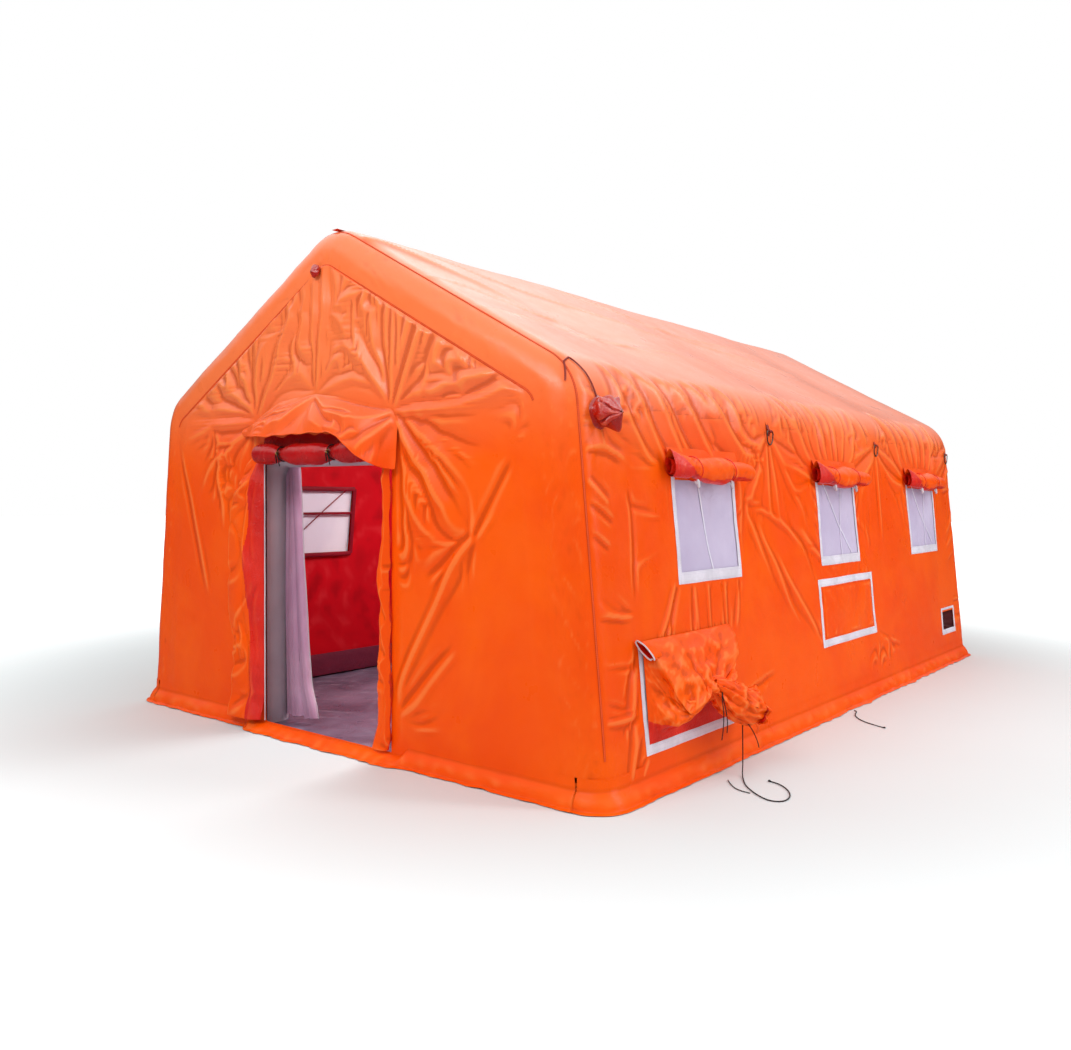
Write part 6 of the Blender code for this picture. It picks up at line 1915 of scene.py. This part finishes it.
def make_sleeve():
    """The duct sleeve: a gathered bag on the port, tied at its neck, with a flared open tail."""
    make_bag()
    path = smooth_route(TAIL_ROUTE, 0.008)
    make_tail(path)
    make_corner()
    make_strap()
    make_neck_tie(path)
    make_loose_ends()


# Tabs and valve boot
TAB_BEND = 0.0088
BOOT_SIZES = ((0, 0.08, 0.30, 0.55, 0.74, 0.86, 0.94, 1.0),
              (0.080, 0.068, 0.070, 0.064, 0.050, 0.036, 0.022, 0.006))
# corners of the gathered boot, by angle and length
BOOT_CORNERS = ((0.9, 0.040), (2.6, 0.022), (5.2, 0.020))


def make_tabs():
    """Fabric tabs that hold the steel guy rings."""
    turn = np.linspace(math.pi * 0.62, -math.pi * 0.62, 15)
    out = np.concatenate([[0.001, 0.0045, 0.010], RING_LIFT + TAB_BEND * np.cos(turn),
                          [0.010, 0.0045, 0.001]])
    up = np.concatenate([[0.062, 0.040, 0.016], TAB_BEND * np.sin(turn), [-0.014, -0.030, -0.044]])
    pieces = []
    for side in (1, -1):
        for y in RINGS:
            path = beside_wall(y, RING_Z + up, out, side)
            normal = np.cross(np.gradient(path, axis=0), (0.0, 1.0, 0.0)) * -side
            pieces.append(ribbon("ring_tab", path, normal, 0.034, 0.0022, TAB))
    keep(joined("ring_tabs", pieces), "tent", "cover")
    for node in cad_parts:
        if node.startswith("guy_ring"):
            dress(node, STEEL)


def make_boot():
    """The gathered boot over the inflation valve, and a dark red line above it, painted shadow along a
    raised edge of the cloth.
    """
    share = np.linspace(0, 1, 34)
    aa, tt = np.meshgrid(2 * np.pi * np.arange(97) / 96, share)
    size = np.interp(share, *BOOT_SIZES)[:, None]
    turn = aa + 0.45 * noise(aa * 1.1, tt * 1.6, 880)
    pleat = np.abs(np.sin(turn * 3.5)) ** 0.6 * 2 - 1
    r = size * (1 + 0.22 * pleat * smooth(tt, 0.05, 0.5) + 0.22 * noise(aa, tt * 2.6, 881))
    lift = 0.002 + 0.118 * tt + 0.012 * noise(aa * 0.9, tt * 3.0, 882) * tt
    y = VALVE[0] + r * np.cos(aa) + 0.018 * tt
    z = VALVE[1] + r * np.sin(aa) - 0.010 * tt
    for angle, tip in BOOT_CORNERS:
        spike = np.exp(-((aa - angle) / 0.24) ** 2) * np.exp(-((tt - 0.62) / 0.20) ** 2)
        y = y + tip * np.cos(angle) * spike
        z = z + tip * np.sin(angle) * spike
    boot = surface("valve_boot_cloth", cover(y, s_at(z), lift), stack(aa * 0.06, tt * 0.1), BOOT,
                   shade=crease_shade(r * 0.5))
    keep(boot, "tent", "cover", "valve_boot")
    for node in ("valve_body", "valve_cap"):
        dress(node, RUBBER)
    # painted shadow: a dark red strip along a raised edge of the cloth above the boot
    t = np.linspace(0, 1, 40)
    along = -FLAT_END - 0.115 + 0.175 * t
    s = np.interp(t, (0, 0.25, 0.5, 0.8, 1.0), (2.02, 2.13, 2.15, 2.05, 1.90))
    piping = ribbon("boot_shadow_line", cover(along, s, 0.004), cover_normal(along, s, 1.0), 0.008, 0.004,
                    SHADOW_TAPE)
    keep(piping, "tent", "cover")


# Door
DOOR_ROLL_LENGTH = 1.16
DOOR_ROLL_RADIUS = 0.055
DOOR_ROLL_HINGE = 1.80
DOOR_ROLL_SHARE = 0.92
DOOR_ROLL_SHIFT = -0.042
DOOR_ROLL_TIES = (-0.30, 0.20)


def door_place(x, out, z):
    """A place in front of the door gable."""
    return stack(x, GABLE_FACE - out, z)


def door_roll_cloth(u):
    """The rolled inner door, a spiral that the ties draw in."""
    uu, turn = np.meshgrid(u, np.linspace(0, 2.2, 80))
    angle = 2 * np.pi * turn
    to_end = DOOR_ROLL_LENGTH / 2 - np.abs(uu)
    tied = sum(np.exp(-(np.abs(uu - tie) / 0.035) ** 1.6) for tie in DOOR_ROLL_TIES)
    gap = np.min([np.abs(uu - tie) for tie in DOOR_ROLL_TIES], axis=0)
    bulge = 0.98 + 0.30 * smooth(gap, 0.02, 0.15) - 0.42 * tied - 0.22 * np.exp(-to_end / 0.05)
    swell = 1 + 0.07 * noise(uu * 6, turn * 3, 900)
    swell = swell + 0.08 * crumple(uu, turn * 0.35, 0.09, 901) * (0.4 + tied)
    end = np.clip(to_end / 0.034, 0, 1)
    r = (DOOR_ROLL_RADIUS - 0.011 * turn) * bulge * swell * np.sqrt(1 - (1 - end) ** 2 * 0.97)
    out = 0.004 + DOOR_ROLL_RADIUS - r * np.cos(angle)
    up = DOOR_ROLL_HINGE - 0.10 - r * np.sin(angle) - 0.012 * np.cos(uu * 2.6)
    points = door_place(uu * DOOR_ROLL_SHARE + DOOR_ROLL_SHIFT, np.maximum(out, 0.003), up)
    return surface("door_inner_roll", points, stack(uu, turn * 0.3), RED, shade=crease_shade(r))


def door_tie(x):
    """A band round the rolled door with its two ends and its knot."""
    grip = DOOR_ROLL_RADIUS * 0.70
    turn = circle(24)
    loop = door_place(x + 0.006 * np.sin(turn),
                      0.004 + DOOR_ROLL_RADIUS - (grip + 0.004) * np.cos(turn),
                      DOOR_ROLL_HINGE - 0.11 - (grip + 0.004) * np.sin(turn))
    pieces = [tube("door_tie", loop, 0.0040, BLACK, 8, closed=True)]
    for way, drop in ((-1, 0.055), (1, 0.075)):
        end = door_place(x + way * np.array([0.002, 0.010, 0.013, 0.012, 0.016]),
                         0.004 + DOOR_ROLL_RADIUS + grip * np.array([1.10, 1.18, 1.05, 0.98, 0.92]),
                         DOOR_ROLL_HINGE - 0.108 - drop * np.array([0, 0.2, 0.5, 0.8, 1.0]))
        pieces.append(tube("door_tie_end", smooth_route(end, 0.008), 0.0032, BLACK, 8))
    knot = door_place(x + 0.008 * np.cos(turn),
                      0.004 + DOOR_ROLL_RADIUS + grip * 1.08 + 0.004 * np.sin(2 * turn),
                      DOOR_ROLL_HINGE - 0.105 + 0.010 * np.sin(turn))
    pieces.append(tube("door_tie_knot", knot, 0.0050, BRASS, 8, closed=True))
    return pieces


def make_door_roll():
    """The inner door, rolled up under the canopy and tied twice."""
    u = lines([-DOOR_ROLL_LENGTH / 2, *DOOR_ROLL_TIES, DOOR_ROLL_LENGTH / 2], 0.0095)
    piece = door_roll_cloth(u)
    keep(piece, "door_roll", "inner_door", "door_roll")
    uu, down = np.meshgrid(u, np.linspace(0, 1, 6))
    strip = door_place(uu * DOOR_ROLL_SHARE + DOOR_ROLL_SHIFT,
                       0.004 + 0.010 * down + 0.004 * noise(uu * 9, down, 903),
                       DOOR_ROLL_HINGE + 0.01 - 0.09 * down)
    extras = [surface("door_roll_strip", strip, stack(uu, down), RED)]
    for tie in DOOR_ROLL_TIES:
        extras += door_tie(tie * DOOR_ROLL_SHARE + DOOR_ROLL_SHIFT)
    keep(joined("door_roll_ties", extras), "door_roll", "inner_door")


CANOPY_ENDS = (-0.765, 0.620)
CANOPY_BOX = (*CANOPY_ENDS, 0.0, 0.26)
CANOPY_TOP = ((-0.765, -0.70, -0.60, -0.50, -0.407, -0.25, -0.06, 0.10, 0.30, 0.45, 0.575, 0.62),
              (1.860, 1.875, 1.925, 1.972, 2.005, 2.022, 2.032, 2.010, 1.968, 1.938, 1.912, 1.85))
CANOPY_LOW = ((-0.765, -0.60, -0.40, -0.20, 0.0, 0.15, 0.25, 0.36, 0.48, 0.57, 0.62),
              (1.812, 1.806, 1.796, 1.798, 1.806, 1.800, 1.775, 1.715, 1.650, 1.600, 1.590))
CANOPY_PINCHES = ((-0.70, 0.02, 0.24, 0.14, -20, 90), (-0.067, 0.0, 0.26, 0.20, 10, 170),
                  (0.575, 0.01, 0.40, 0.26, 90, 190))
CANOPY_PULLS = (((0.58, 0.02), (0.10, 0.12), 0.05, 0.16), ((0.58, 0.03), (0.40, 0.24), 0.05, 0.16),
                ((-0.07, 0.02), (-0.30, 0.18), 0.045, 0.14),
                ((-0.06, 0.02), (0.14, 0.20), 0.045, 0.14),
                ((-0.72, 0.06), (-0.28, 0.10), 0.04, 0.12))
CANOPY_CRUSHED = ((-0.45, 0.12, 0.2, 0.1, 0.08), (0.25, 0.16, 0.2, 0.1, 0.08))


def canopy_spare(spare):
    """Where the canopy has spare length, by x and length down it."""
    add_pinches(spare, CANOPY_PINCHES)
    add_pulls(spare, CANOPY_PULLS)
    add_crushed(spare, CANOPY_CRUSHED, 912)


def make_canopy():
    """The rain flap, gathered at its corners and draped over the rolled door."""
    x, v = np.meshgrid(lines(CANOPY_ENDS, 0.0085), np.linspace(0, 1, 44))
    top, low = np.interp(x, *CANOPY_TOP), np.interp(x, *CANOPY_LOW)
    z = top + (low - top) * v + 0.010 * noise(x * 8, v, 914) * v
    lift = 0.010 + 0.105 * v ** 1.25 * smooth(x, -0.80, -0.50) * (1 - 0.85 * smooth(x, 0.52, 0.615))
    lift = lift + 0.020 * np.sin(np.pi * v) * (1 - smooth(x, 0.45, 0.61))
    lift = lift + 0.040 * np.exp(-((x - 0.42) / 0.12) ** 2) * smooth(v, 0.0, 0.6)
    grid = settled(CANOPY_BOX, canopy_spare, lambda a, b: 0.006 + 0.002 * noise(a * 17, b * 17, 913),
                   held_nowhere, between(-0.004, 0.042), ((0.024, 120), (0.009, 120)), sink=0.0)
    bump = height_in(grid, CANOPY_BOX, x, v * CANOPY_BOX[3])
    bump += 0.012 * noise(x * 6.5, v * 1.1, 911) * v
    points = door_place(x, np.maximum(lift + bump, 0.006), z)
    piece = surface("canopy_cloth", points, stack(x, v * 0.22), ORANGE, shade=crease_shade(bump))
    keep(piece, "canopy", "cover", "door_canopy")
    keep(tube("canopy_hem", points[-1][::2], 0.0038, ORANGE, 8), "canopy", "cover")


# Door flaps: edges by height, and spare length by width and height
FLAP_ENDS = (0.065, 1.76)
LEFT_BOX = (0.0, 0.34, 0.05, 1.78)
LEFT_EDGE = ((0.0, 0.136, 0.30, 0.527, 0.66, 0.775, 1.0, 1.288, 1.45, 1.60, 1.72, 1.76),
             (-0.870, -0.905, -0.880, -0.852, -0.900, -0.925, -0.915, -0.893, -0.840, -0.735,
              -0.640, -0.62))
LEFT_PULLS = (((0.06, 1.70), (0.20, 0.90), 0.04, 0.14), ((0.10, 1.20), (0.05, 0.30), 0.04, 0.12),
              ((0.02, 0.90), (0.26, 0.62), 0.04, 0.12), ((0.20, 0.66), (0.06, 0.10), 0.04, 0.13),
              ((0.30, 1.30), (0.08, 1.00), 0.035, 0.10), ((0.04, 0.24), (0.28, 0.10), 0.04, 0.12))
LEFT_CRUSHED = ((0.22, 1.50, 0.1, 0.2, 0.10), (0.22, 0.40, 0.1, 0.3, 0.08))
RIGHT_BOX = (0.0, 0.16, 0.05, 1.78)
RIGHT_EDGE = ((0.065, 0.20, 0.33, 0.60, 0.88, 1.04, 1.20, 1.32, 1.53, 1.70, 1.76),
              (0.420, 0.470, 0.478, 0.488, 0.500, 0.478, 0.505, 0.520, 0.515, 0.525, 0.54))
RIGHT_WIDTH = ((0.065, 0.5, 0.88, 1.04, 1.3, 1.6, 1.76),
               (0.13, 0.10, 0.085, 0.075, 0.135, 0.105, 0.08))
RIGHT_CURL = ((0, 0.12, 0.35, 0.62, 0.80, 1.0), (0.010, 0.042, 0.052, 0.040, 0.020, 0.004))
RIGHT_PULLS = (((0.10, 1.70), (0.05, 1.10), 0.025, 0.16), ((0.04, 1.05), (0.10, 0.40), 0.025, 0.16),
               ((0.10, 0.50), (0.04, 0.10), 0.025, 0.16))
SEWN = (-0.568, 0.577)


def flap_grid():
    """Shares of a flap's width, and heights."""
    return np.meshgrid(np.linspace(0, 1, 54), lines(FLAP_ENDS, 0.011))


def left_spare(spare):
    """Where the left flap has spare length."""
    a, b = spare[3], spare[4]
    hem = smooth(a, 0.12, 0.27) * np.maximum(0.35 + 1.1 * noise(a * 3, b * 3.4, 921), 0.0)
    add_spare(spare, 0.45, 0.89, 0.15 * hem)
    add_pulls(spare, LEFT_PULLS)
    add_crushed(spare, LEFT_CRUSHED, 922)


def right_spare(spare):
    """Where the right flap has spare length."""
    a, b = spare[3], spare[4]
    add_spare(spare, 0.45, 0.89, 0.13 * np.maximum(0.4 + 1.1 * noise(a * 4, b * 3.1, 931), 0.0))
    add_pulls(spare, RIGHT_PULLS)


def make_left_flap():
    """The left door flap, gathered back with its lining outward along the doorway."""
    q, z = flap_grid()
    edge = np.interp(z, *LEFT_EDGE)
    edge = edge + 0.014 * noise(z * 5.5, z * 0 + 0.5, 920) + 0.008 * noise(z * 13, z * 0 + 4.5, 920)
    x = SEWN[0] + (edge - SEWN[0]) * q
    grid = settled(LEFT_BOX, left_spare, lambda a, b: 0.004 + 0.003 * noise(a * 11, b * 7, 923),
                   held_nowhere, between(-0.012, 0.045), ((0.034, 140), (0.017, 120), (0.010, 50)),
                   bend=0.2, sink=0.0)
    wide = 0.012 + 0.040 * smooth(q, 0.0, 0.25)
    hem = 0.012 * np.sin(np.pi * np.clip((q - 0.45) / 0.55, 0, 1)) * (1 + noise(z * 4.2, q, 921))
    hem = hem - 0.034 * smooth(q, 0.90, 1.0)
    ripple = height_in(grid, LEFT_BOX, q * LEFT_BOX[1], z) + 0.010 * noise(z * 3.0, q * 2.0, 926) * q
    top = 1 - 0.75 * smooth(z, 1.50, 1.76)
    lift = np.maximum((wide + hem + ripple) * top, 0.007) + 0.030 * (1 - smooth(z, 0.06, 0.20))
    slots = np.where(q[:-1, :-1] < 0.34 + 0.16 * noise(z * 2.5, q * 0, 927)[:-1, :-1], 1, 0)
    piece = surface("flap_left_cloth", door_place(x, lift, z), stack(x, z), [ORANGE, LINING],
                    shade=crease_shade(lift), slots=slots)
    keep(piece, "left_flap", "cover", "door_flap_left")


def make_door_piping():
    """White piping and a thin black cord down the doorway's left edge."""
    z = np.linspace(0.06, 1.74, 60)
    piping = door_place(-0.565 + 0.003 * noise(z * 5, z * 0, 928), 0.012, z)
    keep(tube("door_piping", piping, 0.0042, CORD_WHITE, 8), "tent", "border")
    keep(tube("door_cord_line", door_place(-0.5555, 0.006, z), 0.0028, BLACK, 8), "tent", "cord")


def make_right_flap():
    """The right door flap, curled back, with painted shade in red along its sewn edge where it folds
    against the gable.
    """
    q, z = flap_grid()
    near = np.interp(z, *RIGHT_EDGE)
    near = near + 0.010 * noise(z * 4, z * 0 + 2.2, 930) + 0.006 * noise(z * 12, z * 0 + 3.2, 930)
    width = np.minimum(np.interp(z, *RIGHT_WIDTH), 0.570 - near)
    grid = settled(RIGHT_BOX, right_spare, lambda a, b: 0.004 + 0.003 * noise(a * 14, b * 8, 932),
                   held_nowhere, between(-0.010, 0.04), ((0.027, 140), (0.015, 100), (0.008, 50)),
                   bend=0.2, sink=0.0)
    x = near + width * np.sin(np.pi * np.clip(q * 0.62, 0, 0.5)) + 0.012 * noise(z * 7, q * 2, 933) * q
    x = x - 0.022 * smooth(q, 0.82, 1.0)
    lift = np.interp(q, *RIGHT_CURL) * (0.85 + 0.3 * noise(z * 2.5, q * 0, 935))
    lift = lift + height_in(grid, RIGHT_BOX, q * RIGHT_BOX[1], z)
    lift = np.maximum(lift * (1 - 0.4 * smooth(z, 1.5, 1.76)), 0.006) + 0.006
    # it lies flat where it is sewn on
    lift = np.minimum(lift, 0.004 + 1.5 * np.maximum(SEWN[1] - x, 0))
    # painted shade: by the sewn edge the red lining finish stands for the shaded fold against the gable
    slots = np.where(q[:-1, :-1] > 0.74 + 0.10 * noise(z * 3.0, q * 0, 936)[:-1, :-1], 1, 0)
    piece = surface("flap_right_cloth", door_place(x, lift, z), stack(q * 0.2, z), [ORANGE, LINING],
                    shade=crease_shade(lift), slots=slots)
    keep(piece, "right_flap", "cover", "door_flap_right")


def make_flaps():
    """Both door flaps, gathered back from the doorway, and the piping at the left one's edge."""
    make_left_flap()
    make_door_piping()
    make_right_flap()


def make_curtain():
    """The thin curtain drawn aside in soft folds behind the left post."""
    q, z = np.meshgrid(np.linspace(0, 1, 90), lines([0.05, 1.64], 0.02))
    low = 1 - (z - 0.05) / 1.55
    width = 0.120 + 0.125 * low + 0.045 * smooth(low, 0.85, 1.0)
    phase = q * 5.2 + 0.35 * noise(q * 2.0, z * 1.3, 940)
    folds = 0.024 * np.sin(2 * np.pi * phase) * (0.35 + 0.65 * smooth(q, 0, 0.3)) * (0.75 + 0.5 * low)
    x = -0.672 + width * q + 0.005 * np.sin(4 * np.pi * phase + 1)
    y = -2.775 + folds + 0.015 * noise(q * 3, z * 0.9, 941)
    z = z + 0.012 * noise(q * 6, low * 0, 942) * smooth(low, 0.9, 1.0)
    points = stack(x, y, z)
    piece = surface("curtain_cloth", points, stack(q * 0.6, z), LILAC, shade=crease_shade(folds))
    keep(piece, "curtain", "curtain", "door_curtain")
    keep(tube("curtain_hem", points[:, -1], 0.0035, CORD_WHITE, 8), "curtain", "curtain")


# Small fittings
STRAP_PLACES = ((0.006, 0, 0.05), (-0.004, 0, 0.02), (-0.014, 0, 0.002), (-0.004, 0, -0.012),
                (0.004, 0, -0.03))


def make_band_knot():
    """The knot of cloth on the band and the cord round it."""
    aa, tt = np.meshgrid(np.linspace(0, 2 * np.pi, 25), np.linspace(0, 1, 12))
    swell = np.sin(np.pi * np.clip(tt * 0.9 + 0.08, 0, 1))
    r = 0.034 * swell * (1 + 0.35 * np.abs(np.sin(aa * 2.5)) * tt)
    centre = cover(-BAND + 0.012, S_ROOF + 0.02, 0.0, -1.0)
    knob = centre + stack(r * np.cos(aa), -0.004 - 0.050 * tt, -0.02 + r * np.sin(aa) - 0.012 * tt)
    keep(surface("band_knot", knob, stack(aa * 0.03, tt * 0.05), BOOT), "tent", "cover")
    turn = circle(16)
    loop = centre + stack(0.020 * np.cos(turn), -0.030, -0.022 + 0.020 * np.sin(turn))
    keep(tube("band_knot_tie", loop, 0.003, BLACK, 8, closed=True), "tent", "cord")


def make_corner_loop():
    """The steel loop at the left front corner and its strap."""
    base = cover(-FLAT_END - 0.05, s_at(1.78), 0.0, -1.0)
    turn = circle(20)
    ring = base + stack(-0.010 - 0.022 * (1 - np.cos(turn)), 0.0, -0.038 + 0.040 * np.sin(turn))
    keep(tube("corner_loop", ring, 0.0032, STEEL, 8, closed=True), "tent", "steel")
    strap = base + np.array(STRAP_PLACES)
    normal = np.tile([-1.0, 0.0, 0.2], (len(strap), 1))
    keep(ribbon("corner_strap", strap, normal, 0.026, 0.002, BLACK), "tent", "cover")


make_view()
make_cord("cord_duct", DUCT_CORD_ROUTE, CORD, "duct_cord")
make_cord("cord_skirt", SKIRT_CORD_ROUTE, CORD, "skirt_cord")
make_sides()
make_band()
make_door_gable()
make_back_gable()
make_seams()
make_skirts()
make_floor()
make_liner()
make_liner_end()
make_liner_trims()
make_liner_panes()
make_arches()
make_purlins()
make_door_frame()
make_windows()
make_ports()
make_sleeve()
make_tabs()
make_boot()
make_door_roll()
make_canopy()
make_flaps()
make_curtain()
make_band_knot()
make_corner_loop()
make_pane_cord()
